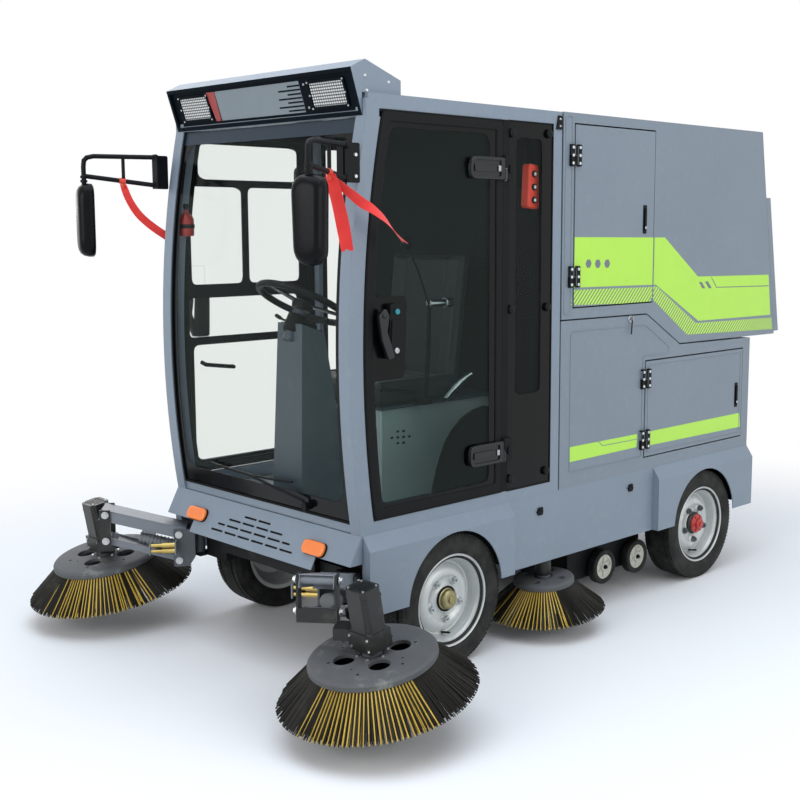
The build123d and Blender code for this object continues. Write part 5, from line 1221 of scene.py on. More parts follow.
for side, k in SIDES:
    middle = on_nose(k * 386, 0.52)

    def capsule(bm, half, radius, out0, out1):
        ring = rounded([(-half, -radius), (half, -radius), (half, radius), (-half, radius)], radius * 0.98, 8)
        add_plate(bm, [middle + Vector((mm(p[0]), 0, 0)) + NOSE_UP * mm(p[1]) + NOSE_OUT * mm(out0) for p in ring],
                  NOSE_OUT * mm(out1 - out0))
    bm = bmesh.new()
    capsule(bm, 65, 28.5, 0.0, 4.5)
    finish(bm, f"turn_lamp_foot_{side}", abs_black, "chassis", bevel=0.8)
    bm = bmesh.new()
    capsule(bm, 63, 27, 4.5, 17.6)
    finish(bm, f"turn_lamp_{side}", amber_acrylic, "chassis", bevel=4.5,
           replaces=("marker_lamps",) if k > 0 else ())
    bm = bmesh.new()
    for i in range(-4, 5):
        a = middle + Vector((mm(i * 10), 0, 0)) + NOSE_OUT * mm(17.7)
        add_tube(bm, [a - NOSE_UP * mm(17), a + NOSE_UP * mm(17)], mm(0.9), 5)
    finish(bm, f"turn_lamp_ribs_{side}", amber_acrylic, "chassis", bevel=0)
bm = bmesh.new()
backing = [on_nose(x, 0.02, -9) for x in (-330, 330)] + [on_nose(330, 0.93, -9), on_nose(-330, 0.93, -9)]
add_plate(bm, backing, NOSE_OUT * mm(-2))
finish(bm, "grille_backing", chassis_black, "chassis", bevel=0)
print("lamps made")

# %% [markdown]
# ## Windscreen border and seals
# Bonded glass has a black ceramic border that hides the adhesive. It follows the pane's own curve, so it
# is built as a thin strip on the pane's outer face, wider at the foot, with rounded inner corners.

# %% Curve of the windscreen
def circle_through(a, b, c):
    ax, ay, bx, by, cx, cy = *a, *b, *c
    d = 2 * (ax * (by - cy) + bx * (cy - ay) + cx * (ay - by))
    ux = ((ax * ax + ay * ay) * (by - cy) + (bx * bx + by * by) * (cy - ay) + (cx * cx + cy * cy) * (ay - by)) / d
    uy = ((ax * ax + ay * ay) * (cx - bx) + (bx * bx + by * by) * (ax - cx) + (cx * cx + cy * cy) * (bx - ax)) / d
    return ux, uy, math.hypot(ax - ux, ay - uy)


SCREEN_S, SCREEN_Z, SCREEN_R = circle_through((-454, 602), (-497, 1449), (-412, 2091))


def screen_s(z, inset=0.0):
    """Station of the windscreen's curve at a height, moved back by an inset."""
    return SCREEN_S - math.sqrt(SCREEN_R ** 2 - (z - SCREEN_Z) ** 2) + inset


def strip_on_screen(bm, left_edge, right_edge, zs, inset, thick):
    """Curved sheet between two x edges given as functions of height."""
    rows = []
    for z in zs:
        s = screen_s(z, inset)
        rows.append([bm.verts.new(spot(x, s, z)) for x in (left_edge(z), right_edge(z))] +
                    [bm.verts.new(spot(x, s + thick, z)) for x in (right_edge(z), left_edge(z))])
    for a, b in zip(rows, rows[1:]):
        for i in range(4):
            j = (i + 1) % 4
            bm.faces.new((a[i], b[i], b[j], a[j]))
    bm.faces.new(list(reversed(rows[0])))
    bm.faces.new(rows[-1])


GLASS_X, FRIT_SIDE, FRIT_FOOT, FRIT_HEAD, FRIT_R = 543.0, 30.0, 70.0, 52.0, 56.0
SCREEN_LOW, SCREEN_HIGH = 640.0, 2088.0


def frit_inner(z):
    """Half width of the clear glass at a height, rounded at its corners."""
    low, high = SCREEN_LOW + FRIT_FOOT, SCREEN_HIGH - FRIT_HEAD
    half = GLASS_X - FRIT_SIDE
    drop = max(low + FRIT_R - z, z - (high - FRIT_R), 0.0)
    if drop >= FRIT_R:
        return half - FRIT_R
    return half - FRIT_R + math.sqrt(FRIT_R ** 2 - drop ** 2)


bm = bmesh.new()
low, high = SCREEN_LOW + FRIT_FOOT, SCREEN_HIGH - FRIT_HEAD
bend = [low + FRIT_R * (1 - math.cos(math.radians(a))) for a in range(0, 91, 15)]
bend_top = [high - FRIT_R * (1 - math.cos(math.radians(a))) for a in range(90, -1, -15)]
middle_z = [low + FRIT_R + (high - low - 2 * FRIT_R) * i / 18 for i in range(1, 18)]
heights = bend + middle_z + bend_top
for sign in (-1, 1):
    strip_on_screen(bm, lambda z: sign * GLASS_X if sign < 0 else frit_inner(z),
                    lambda z: -frit_inner(z) if sign < 0 else GLASS_X, heights, 12.4, 1.2)
strip_on_screen(bm, lambda z: -GLASS_X, lambda z: GLASS_X, [SCREEN_LOW - 3 + (low - SCREEN_LOW + 3) * i / 5 for i in range(6)],
                12.4, 1.2)
finish(bm, "screen_border", frit_black, "chassis", bevel=0, smooth=50)
# border along the top of the glass in dark slate: painted shade, where the black border elsewhere is the real frit
bm = bmesh.new()
strip_on_screen(bm, lambda z: -GLASS_X, lambda z: GLASS_X, [high + (SCREEN_HIGH - high) * i / 3 for i in range(4)], 12.2, 1.2)
finish(bm, "screen_header_band_painted_shade", band_painted_shade, "chassis", bevel=0, smooth=50)
bm = bmesh.new()
edge = [spot(543.2, screen_s(z, 9), z) for z in [640 + (2090 - 640) * i / 24 for i in range(25)]]
add_tube(bm, edge, mm(4.5), 6)
add_tube(bm, [Vector((-p.x, p.y, p.z)) for p in edge], mm(4.5), 6)
add_tube(bm, [spot(-543, screen_s(640, 9), 640), spot(543, screen_s(640, 9), 640)], mm(4.5), 6)
finish(bm, "screen_seal", epdm_black, "chassis")
# wiper: motor cover, arm and blade resting along the foot of the glass
bm = bmesh.new()
blade = [spot(x, screen_s(z, 6), z) for x, z in ((-330, 748), (-200, 740), (-60, 736), (90, 740), (220, 748))]
add_tube(bm, blade, mm(5), 6)
arm = [spot(300, screen_s(668, 4), 668), spot(280, screen_s(690, -6), 690), spot(120, screen_s(716, -10), 716),
       spot(-50, screen_s(738, -4), 738)]
add_tube(bm, arm, mm(5.5), 6)
add_tube(bm, [spot(300, screen_s(668, 12), 668), spot(300, screen_s(668, -16), 668)], mm(15), 16)
finish(bm, "wiper", abs_black, "chassis")
print("windscreen border made, curve radius", round(SCREEN_R), "mm")


# %% [markdown]
# ## Doors of the cab
# Each door is one bonded pane in a dark frame, with a ceramic border, a latch unit, two hinge plates and a
# rubber seal. The border is wider low down, where it hides the regulator and the latch.

# %% Border, latch and hinge plates
def side_outline(bm, corners, x0, x1):
    """Plate facing sideways from (station, height) corners between two x planes in millimetres."""
    add_plate(bm, [spot(x0, s, z) for s, z in corners], (mm(x1 - x0), 0, 0))


def side_ring(bm, outer, inner, x0, x1):
    add_frame_plate(bm, [spot(x0, s, z) for s, z in outer], [spot(x0, s, z) for s, z in inner], (mm(x1 - x0), 0, 0))


def resample(points, count):
    """The closed outline as evenly spaced points, so two outlines can be joined point to point."""
    points = [Vector(p) for p in points]
    lengths = [(points[(i + 1) % len(points)] - points[i]).length for i in range(len(points))]
    total, result, i, walked = sum(lengths), [], 0, 0.0
    for n in range(count):
        target = total * n / count
        while walked + lengths[i] < target:
            walked += lengths[i]
            i += 1
        result.append(points[i].lerp(points[(i + 1) % len(points)], (target - walked) / max(lengths[i], 1e-9)))
    return result


DOOR_LOW, DOOR_HIGH, DOOR_REAR, DOOR_INSET = 655.0, 2114.0, 283.0, 73.0


def door_outline(shrink, radius, lift=0.0, extra_front=0.0):
    """Door outline shrunk by a margin, front edge on the windscreen's curve, corners rounded."""
    low, high = DOOR_LOW + shrink + lift, DOOR_HIGH - shrink
    front = [(screen_s(z, DOOR_INSET + shrink + extra_front), z) for z in [low + (high - low) * i / 14 for i in range(15)]]
    corners = front + [(DOOR_REAR - shrink, high), (DOOR_REAR - shrink, low)]
    radii = [radius] + [0.0] * 13 + [radius] * 3
    return rounded(corners, radii, 8)


def door_inner():
    """Inner edge of the door's black border: the clear glass is what it leaves free."""
    low, high, rear = 704.0, 2060.0, 213.0
    front = [(screen_s(z, DOOR_INSET + 46), z) for z in [low + (high - low) * i / 14 for i in range(15)]]
    return rounded(front + [(rear, high), (rear, low)], [30.0] + [0.0] * 13 + [44.0, 44.0, 30.0], 8)


def side_slab(bm, corners, radius, x0, x1):
    """Rounded plate facing sideways, from two opposite (station, height) corners."""
    (s0, z0), (s1, z1) = corners
    side_outline(bm, rounded([(s0, z0), (s1, z0), (s1, z1), (s0, z1)], radius, 6), x0, x1)


HINGE_Z = (819.0, 1932.0)
for side, k in SIDES:
    body = f"cab_door_{side}"
    pane_x = k * 598.2
    count = 240
    bm = bmesh.new()
    side_ring(bm, resample(door_outline(0.0, 6.0), count), resample(door_outline(34.0, 6.0), count), k * 574, k * 604)
    if k > 0:
        side_slab(bm, ((-372, 1214), (-266, 1442)), 16, k * 574, k * 596)
    finish(bm, f"door_leaf_{side}", abs_black, body, bevel=1.5, smooth=50,
           replaces=(f"door_frame_{side}",))
    bm = bmesh.new()
    side_ring(bm, resample(door_outline(33.5, 6.0), count), resample(door_inner(), count), pane_x, pane_x + k * 0.9)
    patch = rounded([(-410, 1160), (-236, 1160), (-224, 1462), (-410, 1462)], [0, 34, 34, 0], 8)
    if k > 0:
        side_outline(bm, [(max(s, screen_s(z, 108)), z) for s, z in patch], pane_x + k * 0.9, pane_x + k * 1.7)
    finish(bm, f"door_border_{side}", frit_black, body, bevel=0, smooth=50)
    # glass over the slot behind the latch, which the slimmer latch unit leaves free
    bm = bmesh.new()
    side_outline(bm, [(-402, 1452 if k > 0 else 1210), (-295, 1452 if k > 0 else 1210), (-295, 1542), (-402, 1542)],
                 k * 593.2, k * 597.8)
    finish(bm, f"door_glass_plug_{side}", side_glass if k > 0 else clear_side_glass, body, bevel=0)
    bm = bmesh.new()
    for shrink, x in ((34.0, 599.5), (-2.6, 601.5)):
        seal = [spot(k * x, s, z) for s, z in door_outline(shrink, 7.0)]
        add_tube(bm, seal + [seal[0]], mm(3.2), 6, False)
    finish(bm, f"door_seal_{side}", epdm_black, body)
    # latch: housing with button and key, and a bent lever in front of it
    bm = bmesh.new()
    side_outline(bm, rounded([(-340, 1238), (-274, 1238), (-268, 1436), (-328, 1436)], 12, 5), k * 600, k * 626)
    side_outline(bm, rounded([(-332, 1252), (-282, 1252), (-278, 1380), (-324, 1380)], 8, 4), k * 625, k * 631)
    finish(bm, f"latch_housing_{side}", abs_black, body, bevel=2.2)
    bm = bmesh.new()
    side_outline(bm, rounded([(-388, 1396), (-356, 1424), (-338, 1396), (-348, 1338), (-312, 1244), (-342, 1236),
                              (-374, 1312)], 10, 4), k * 616, k * 634)
    add_tube(bm, [spot(k * 600, -362, 1398), spot(k * 640, -362, 1398)], mm(11), 20)
    finish(bm, f"latch_lever_{side}", latch_black, body, bevel=3.0)
    bm = bmesh.new()
    add_tube(bm, [spot(k * 625, -298, 1408), spot(k * 633, -298, 1408)], mm(10), 24)
    finish(bm, f"latch_button_{side}", control_teal, body, bevel=1.4)
    bm = bmesh.new()
    add_turned(bm, [(0, 636), (9, 636), (11, 634), (11, 627), (0, 627)], Vector((0, *spot(0, -304, 1268)[1:])), (k, 0, 0), 28)
    finish(bm, f"latch_key_{side}", brushed, body, bevel=0.5)
    tip = 94 if k > 0 else 205
    for n, z in enumerate(HINGE_Z):
        bm = bmesh.new()
        outline = rounded([(tip, z - 42), (283, z - 42), (283, z + 42), (tip, z + 42)], [30, 4, 4, 30], 8)
        raised = rounded([(tip + 12, z - 30), (262, z - 30), (262, z + 30), (tip + 12, z + 30)], [18, 6, 6, 18], 8)
        side_outline(bm, outline, k * 600, k * 610)
        side_ring(bm, resample(outline, 64), resample(raised, 64), k * 609, k * 617)
        side_slab(bm, ((tip + 22, z - 14), (238, z + 14)), 8, k * 609, k * 616)
        add_tube(bm, [spot(k * 609, 292, z - 42), spot(k * 609, 292, z - 1)], mm(9), 18)
        finish(bm, f"door_hinge_strap_{side}_{n}", latch_black, body, bevel=1.8)
        bm = bmesh.new()
        side_slab(bm, ((244, z - 11), (258, z + 11)), 3, k * 609.5, k * 618.5)
        finish(bm, f"door_hinge_button_{side}_{n}", brushed, body, bevel=1.0)
        bm = bmesh.new()
        side_slab(bm, ((300, z - 44), (334, z + 51)), 7, k * 601.4, k * 615.6)
        side_slab(bm, ((306, z - 16), (327, z + 16)), 6, k * 615, k * 621)
        add_tube(bm, [spot(k * 609, 292, z + 2), spot(k * 609, 292, z + 50.5)], mm(9.6), 18)
        finish(bm, f"post_hinge_cover_{side}_{n}", abs_black, "chassis", bevel=1.2)
    bm = bmesh.new()
    side_outline(bm, [(287, 650), (316, 650), (316, 2120), (287, 2120)], k * 600.1, k * 601.3)
    finish(bm, f"door_post_strip_{side}", epdm_black, "chassis", bevel=0)
    # inner pull handle on the door
    bm = bmesh.new()
    grip = [spot(k * 586, -330, 1130), spot(k * 566, -320, 1120), spot(k * 560, -250, 1110), spot(k * 566, -180, 1100),
            spot(k * 590, -170, 1100)]
    add_tube(bm, grip, mm(9), 12)
    finish(bm, f"door_pull_{side}", abs_black, body)
print("doors made")

# %% Window frame inside the right door
# five openings: (front station or None for the screen's curve, rear station, low, high), their rounded inner edges
CELLS = ((None, 249, 1890, 2080, -322, 203, 1905, 2052, 30), (None, -87, 1427, 1890, -366, -103, 1462, 1874, 26),
         (-87, 249, 1427, 1890, -71, 206, 1462, 1874, 26), (None, 249, 1221, 1427, -384, 190, 1238, 1404, 20),
         (None, 249, 689, 1221, -366, 196, 704, 1204, 26))
bm = bmesh.new()
for s0, s1, z0, z1, in0, in1, low, high, radius in CELLS:
    outer = [(screen_s(z1, 107) if s0 is None else s0, z1), (s1, z1), (s1, z0), (screen_s(z0, 107) if s0 is None else s0, z0)]
    inner = rounded([(in0, high), (in1, high), (in1, low), (in0, low)], radius, 6)
    side_ring(bm, resample(outer, 120), resample(inner, 120), -591.6, -584)
finish(bm, "window_frame_right", powder_black, "cab_door_right", bevel=0, smooth=40)
print("window frame cells:", len(CELLS))

# %% [markdown]
# ## Quarter window
# The fixed rear pane is clamped by round knobs through the glass, on a rubber profile.

# %% Knobs, seals and border of the quarter window
KNOBS = ((336, 697), (336, 1383), (336, 2072), (556, 699), (556, 1383), (556, 2080))
for side, k in SIDES:
    bm = bmesh.new()
    outer = [(318, 649), (585, 649), (585, 2119), (318, 2119)]
    inner = rounded([(366, 1036), (520, 1036), (520, 2056), (366, 2056)], 30, 6)
    side_ring(bm, resample(outer, 160), resample(inner, 160), k * 596.2, k * 597.4)
    finish(bm, f"quarter_border_{side}", frit_black, "chassis", bevel=0, smooth=50)
    bm = bmesh.new()
    loop = [spot(k * 598.4, s, z) for s, z in outer]
    add_tube(bm, loop + [loop[0]], mm(3.4), 6, False)
    finish(bm, f"quarter_seal_{side}", epdm_black, "chassis")
    bm = bmesh.new()
    for s, z in KNOBS:
        add_turned(bm, [(0, 612), (12, 612), (17, 609), (18, 604), (14, 600), (14, 597), (0, 597)],
                   Vector((0, *spot(0, s, z)[1:])), (k, 0, 0), 24)
    finish(bm, f"quarter_knobs_{side}", abs_black, "chassis", bevel=0)
    # small bracket at the cab's rear top corner
    bm = bmesh.new()
    side_outline(bm, [(600, 2100), (636, 2100), (636, 2156), (612, 2156)], k * 600.2, k * 606)
    finish(bm, f"corner_bracket_{side}", abs_black, "chassis", bevel=1.4)
    fasten(f"corner_bracket_screws_{side}", [(spot(k * 606, 622, z), Vector((k, 0, 0))) for z in (2114, 2142)], 12, 5, 2.4,
           zinc_bright, "chassis")
print("quarter windows made")

# %% [markdown]
# ## Mirrors and cloth strips
# Bent steel tube carries a moulded mirror on each side. Real silvered glass sits a few millimetres inside
# the shell's rim. The cloth strips are woven ribbon, tied on the lower bar and blown aside by the wind.

# %% Mirror tubes, brackets and glass
ROOT, END = (604.0, -508.0), (725.0, -768.0)
BAR_TOP, BAR_LOW_ROOT, BAR_LOW_END = 1988.0, 1874.0, 1909.0


def bar_low(share):
    """Height of the sloping lower bar at a share of its length from the cab."""
    return BAR_LOW_ROOT + (BAR_LOW_END - BAR_LOW_ROOT) * share


def bar_point(share, k):
    return k * (ROOT[0] + (END[0] - ROOT[0]) * share), ROOT[1] + (END[1] - ROOT[1]) * share


for side, k in SIDES:
    bm = bmesh.new()
    high = BAR_TOP
    loop = [spot(*bar_point(0.0, k), high), spot(*bar_point(0.86, k), high), spot(*bar_point(0.95, k), high - 6),
            spot(*bar_point(0.99, k), high - 18), spot(*bar_point(1.0, k), high - 42), spot(*bar_point(1.0, k), 1842)]
    add_tube(bm, loop, mm(9.5), 16)
    add_tube(bm, [spot(*bar_point(0.0, k), bar_low(0)), spot(*bar_point(1.0, k), bar_low(1))], mm(9.5), 16)
    add_tube(bm, [spot(*bar_point(0.46, k), bar_low(0.46)), spot(*bar_point(0.46, k), high)], mm(7), 12)
    for z in (1905, 1888):
        add_tube(bm, [spot(*bar_point(1.0, k), z - 5), spot(*bar_point(1.0, k), z + 5)], mm(14), 20)
    bracket = rounded([(-524, 1860), (-452, 1860), (-452, 1996), (-524, 1996)], 8, 4)
    side_outline(bm, bracket, k * 606, k * 611)
    side_outline(bm, [(-524, 1860), (-519, 1860), (-519, 1996), (-524, 1996)], k * 572, k * 611)
    for z in (BAR_TOP, BAR_LOW_ROOT):
        add_tube(bm, [spot(k * 604, -508, z), spot(k * 622, -508, z)], mm(13), 18)
    finish(bm, f"mirror_tubes_{side}", powder_black, "chassis", bevel=0.8,
           replaces=("mirror_arms",) if k > 0 else ())
    fasten(f"mirror_bracket_bolts_{side}", [(spot(k * 611, -474, z), Vector((k, 0, 0))) for z in (1882, 1955)], 6, 8, 6,
           zinc_bright, "chassis")
    x, s = bar_point(1.0, k)
    place = Matrix.Translation(spot(x, s, 1880 - 148)) @ Matrix.Rotation(math.radians(20 * k), 4, "Z")
    bm = bmesh.new()
    shell = []
    for depth, half_x, half_z in ((-31, 34, 104), (-29, 44, 120), (-22, 53, 134), (-10, 59, 143), (8, 61, 147.5),
                                  (26, 61, 147.5), (30.5, 57, 143), (30.5, 52, 138), (27, 51, 137)):
        corner = min(half_x * 0.92, 52)
        ring = rounded([(-half_x * 0.86, -half_z), (half_x * 0.9, -half_z), (half_x, half_z), (-half_x, half_z)], corner, 7)
        shell.append([bm.verts.new((mm(p[0]), mm(depth), mm(p[1]))) for p in resample(ring, 48)])
    for a, b in zip(shell, shell[1:]):
        for i in range(48):
            bm.faces.new((a[i], a[(i + 1) % 48], b[(i + 1) % 48], b[i]))
    bm.faces.new(list(reversed(shell[0])))
    bm.faces.new(shell[-1])
    head = finish(bm, f"mirror_shell_{side}", abs_gloss, "chassis", smooth=50,
                  replaces=("mirror_heads",) if k > 0 else ())
    move_mesh(head, place)
    bm = bmesh.new()
    glass_ring = rounded([(-43, -135), (45, -135), (50, 135), (-50, 135)], 40, 7)
    add_plate(bm, [Vector((mm(p[0]), mm(27.2), mm(p[1]))) for p in glass_ring], (0, mm(0.6), 0))
    glass = finish(bm, f"mirror_glass_{side}", mirror_silver, "chassis", bevel=0)
    move_mesh(glass, place)

# %% Cloth strips
RIBBON_STEPS = 26


def ribbon_strip(name, route, width, start, twist, seed, replaced=()):
    """Thin woven strip along a smooth route of (x, station, height). Its width starts turned by an angle
    and turns on by a twist, and its end is cut as a swallow tail."""
    points = [spot(*p) for p in route]
    n = len(points)

    def along(t):
        i = min(int(t * (n - 1)), n - 2)
        u = t * (n - 1) - i
        p0, p1, p2, p3 = points[max(i - 1, 0)], points[i], points[i + 1], points[min(i + 2, n - 1)]
        return 0.5 * ((2 * p1) + (p2 - p0) * u + (2 * p0 - 5 * p1 + 4 * p2 - p3) * u * u
                      + (3 * p1 - p0 - 3 * p2 + p3) * u ** 3)
    bm = bmesh.new()
    rows, length, last = [], 0.0, None
    for i in range(RIBBON_STEPS + 1):
        t = i / RIBBON_STEPS
        p = along(t)
        ahead = (along(min(t + 0.02, 1.0)) - along(max(t - 0.02, 0.0))).normalized()
        level = Vector((-ahead.y, ahead.x, 0))
        level = level.normalized() if level.length > 0.05 else Vector((0.7, 0.7, 0)).normalized()
        turn = Matrix.Rotation(math.radians(start + twist * t + 7 * math.sin(5.1 * t + seed)), 3, ahead)
        half = (turn @ level) * mm(width / 2)
        notch = ahead * mm(width * 0.35) if i == RIBBON_STEPS else Vector((0, 0, 0))
        rows.append([bm.verts.new(p + half * e - notch * (e == 0.0)) for e in (-1.0, -0.5, 0.0, 0.5, 1.0)])
        length += (p - last).length if last is not None else 0.0
        last = p
    for a, b in zip(rows, rows[1:]):
        for j in range(4):
            bm.faces.new((a[j], a[j + 1], b[j + 1], b[j]))
    mesh = bpy.data.meshes.new(name)
    bm.to_mesh(mesh)
    bm.free()
    mesh.materials.append(ribbon_cloth)
    piece = bpy.data.objects.new(name, mesh)
    bpy.context.scene.collection.objects.link(piece)
    thick = piece.modifiers.new("weave thickness", "SOLIDIFY")
    thick.thickness, thick.offset = 0.0009, 0.0
    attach(piece, "chassis")
    if replaced:
        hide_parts(*replaced)
    print(name, "flat", width, "x", round(length * 1000), "mm")


KX, KS = bar_point(0.47, 1)
KZ = bar_low(0.47) - 12
ribbon_strip("ribbon_hanging", [(KX, KS, KZ), (KX + 1, KS + 22, 1832), (KX + 2, KS + 44, 1759), (KX + 1, KS + 62, 1690),
                                (KX + 2, KS + 74, 1628)], 46, -45, 20, 0.3, ("ribbons",))
ribbon_strip("ribbon_blown_left", [(KX, KS, KZ), (KX + 14, KS + 60, 1834), (KX + 26, KS + 118, 1792), (KX + 30, KS + 160, 1772),
                                   (KX + 32, KS + 218, 1736), (KX + 30, KS + 268, 1692), (KX + 26, KS + 318, 1654)],
             34, -20, -150, 1.4)
ribbon_strip("ribbon_blown_right", [(-KX, KS, KZ), (-KX - 8, KS + 30, 1816), (-KX - 10, KS + 76, 1754),
                                    (-KX - 6, KS + 140, 1702), (-KX, KS + 214, 1656)], 36, 0, -60, 2.2)
bm = bmesh.new()
for k in (1, -1):
    ends = [spot(*bar_point(share, k), bar_low(share)) for share in (0.43, 0.52)]
    add_tube(bm, ends, mm(12), 12)
    add_tube(bm, [spot(*bar_point(0.47, k), KZ + 2), spot(*bar_point(0.47, k), KZ - 16)], mm(9), 10)
finish(bm, "ribbon_knots", pendant_red, "chassis", bevel=1.0)
print("mirrors and strips made")


# %% [markdown]
# ## Inside the cab
# Behind the glass are a moulded seat on a steel box, a console with a wheel, levers, a hanging pendant
# control and a ribbed floor. They are modelled in full because the large panes show them all.

# %% Floor plate, linings and seat box
bm = bmesh.new()
add_plate(bm, [spot(-540, -376, 596.4), spot(540, -376, 596.4), spot(540, 614, 596.4), spot(-540, 614, 596.4)],
          (0, 0, mm(3)))
finish(bm, "floor_plate", checker_plate, "chassis", bevel=0)
bm = bmesh.new()
block(bm, -536, 536, 611.5, 615.7, 602, 2116)
finish(bm, "bulkhead_lining", trim_black, "chassis", bevel=0)
bm = bmesh.new()
block(bm, -536, 536, -360, 611, 2112.5, 2119.7)
finish(bm, "roof_lining", trim_black, "chassis", bevel=0)
bm = bmesh.new()
for k in (-1, 1):
    for s0, s1, z0, z1 in ((308, 332, 650, 2112), (578, 611, 650, 2112)):
        block(bm, k * 541, k * 543.8, s0, s1, z0, z1)
finish(bm, "pillar_linings", trim_black, "chassis", bevel=0)
# seat box: folded steel round the solid stand, its side cut away in a curve where black trim closes it
TRIM_CURVE = [(552, 934), (470, 922), (405, 893), (350, 850), (312, 806), (284, 750), (262, 694), (244, 640), (234, 600)]
# the seat box takes the lighter copy of the grey paint: painted light inside the shaded cab
bm = bmesh.new()
block(bm, -251, 251, -46, 612, 599.8, 982)
finish(bm, "seat_box", seat_box_painted_light, "chassis", bevel=5, replaces=("seat_base",))
bm = bmesh.new()
block(bm, -262, 262, -56, 612, 980, 990)
# the lid takes the darker copy of the cab paint: painted shade
finish(bm, "seat_box_lid", dark_grey_painted_shade, "chassis", bevel=3)
for side, k in SIDES:
    # louvre slots drawn as thin black plates on the box's side: painted shade of the unlit inside of the box
    bm = bmesh.new()
    for s, z in ((36, 880), (68, 878), (4, 858), (36, 856), (68, 854), (100, 852), (36, 832), (68, 830)):
        side_outline(bm, rounded([(s, z), (s + 15, z), (s + 15, z + 9), (s, z + 9)], 4, 4), k * 251.1, k * 252)
    finish(bm, f"seat_box_slots_painted_shade_{side}", chassis_black, "chassis", bevel=0)
    bm = bmesh.new()
    side_outline(bm, TRIM_CURVE + [(611, 600), (611, 934)], k * 251, k * 258)
    finish(bm, f"seat_box_trim_{side}", trim_black, "chassis", bevel=1.5)
    bm = bmesh.new()
    add_tube(bm, [spot(k * 256, s, z) for s, z in TRIM_CURVE], mm(6), 10)
    finish(bm, f"seat_box_edge_{side}", epdm_black, "chassis")
    bm = bmesh.new()
    block(bm, k * 259, k * 543, 236, 611, 599.6, 606)
    block(bm, k * 259, k * 543, 596, 611, 606, 1000)
    finish(bm, f"rear_mat_{side}", trim_black, "chassis", bevel=2)
bm = bmesh.new()
block(bm, -215, 215, -50.5, -45.5, 640, 940)
# the seat box door takes the darker copy of the cab paint: painted shade
finish(bm, "seat_box_door", dark_grey_painted_shade, "chassis", bevel=0.8)
bm = bmesh.new()
add_tube(bm, [spot(-60, -49, 880), spot(-60, -66, 880), spot(60, -66, 880), spot(60, -49, 880)], mm(5), 10)
finish(bm, "seat_box_handle", abs_black, "chassis")
print("linings and seat box made")

# %% [markdown]
# ## Seat
# A vinyl seat is foam under a sewn cover. Each pad starts as a rounded block with side bolsters and a
# sewn panel line, then a short cloth simulation with a little pressure puffs it and lays its wrinkles.

# %% Padded seat
def pad_block(name, size, bolster, matrix):
    """Rounded pad with raised sides, meshed evenly so that the cover can move. Sizes in millimetres."""
    wide, deep, thick = size
    bm = bmesh.new()
    nx, ny = 24, 22
    top, low = [], []
    for j in range(ny + 1):
        row_top, row_low = [], []
        for i in range(nx + 1):
            u, v = i / nx * 2 - 1, j / ny * 2 - 1
            edge = min(1.0, (1 - abs(u)) * wide / 2 / 26, (1 - abs(v)) * deep / 2 / 26)
            rim = math.sqrt(max(0.0, 1 - (1 - edge) ** 2))
            raised = bolster * max(0.0, (abs(u) - 0.62) / 0.38) ** 1.5 * (1 - max(0.0, abs(u) - 0.9) * 6)
            seam = 5.0 * math.exp(-((abs(u) - 0.6) * 26) ** 2) + 4.0 * sum(
                math.exp(-((v - c) * 30) ** 2) * (abs(u) < 0.6) for c in (-0.45, 0.0, 0.45))
            z = thick - 26 * (1 - rim) * 0.9 - bolster + raised - seam * rim
            x, y = u * (wide / 2 - 3 * (1 - rim)), v * (deep / 2 - 3 * (1 - rim))
            row_top.append(bm.verts.new((mm(x), mm(y), mm(z))))
            row_low.append(bm.verts.new((mm(x), mm(y), mm(1.0 + 12 * (1 - rim)))))
        top.append(row_top)
        low.append(row_low)
    for j in range(ny):
        for i in range(nx):
            bm.faces.new((top[j][i], top[j][i + 1], top[j + 1][i + 1], top[j + 1][i]))
            bm.faces.new((low[j][i], low[j + 1][i], low[j + 1][i + 1], low[j][i + 1]))
    ring = [(0, i) for i in range(nx)] + [(j, nx) for j in range(ny)] + [(ny, i) for i in range(nx, 0, -1)] \
        + [(j, 0) for j in range(ny, 0, -1)]
    for a, b in zip(ring, ring[1:] + ring[:1]):
        bm.faces.new((top[a[0]][a[1]], low[a[0]][a[1]], low[b[0]][b[1]], top[b[0]][b[1]]))
    mesh = bpy.data.meshes.new(name)
    bmesh.ops.recalc_face_normals(bm, faces=bm.faces)
    bm.to_mesh(mesh)
    bm.free()
    mesh.transform(matrix)
    piece = bpy.data.objects.new(name, mesh)
    bpy.context.scene.collection.objects.link(piece)
    return piece


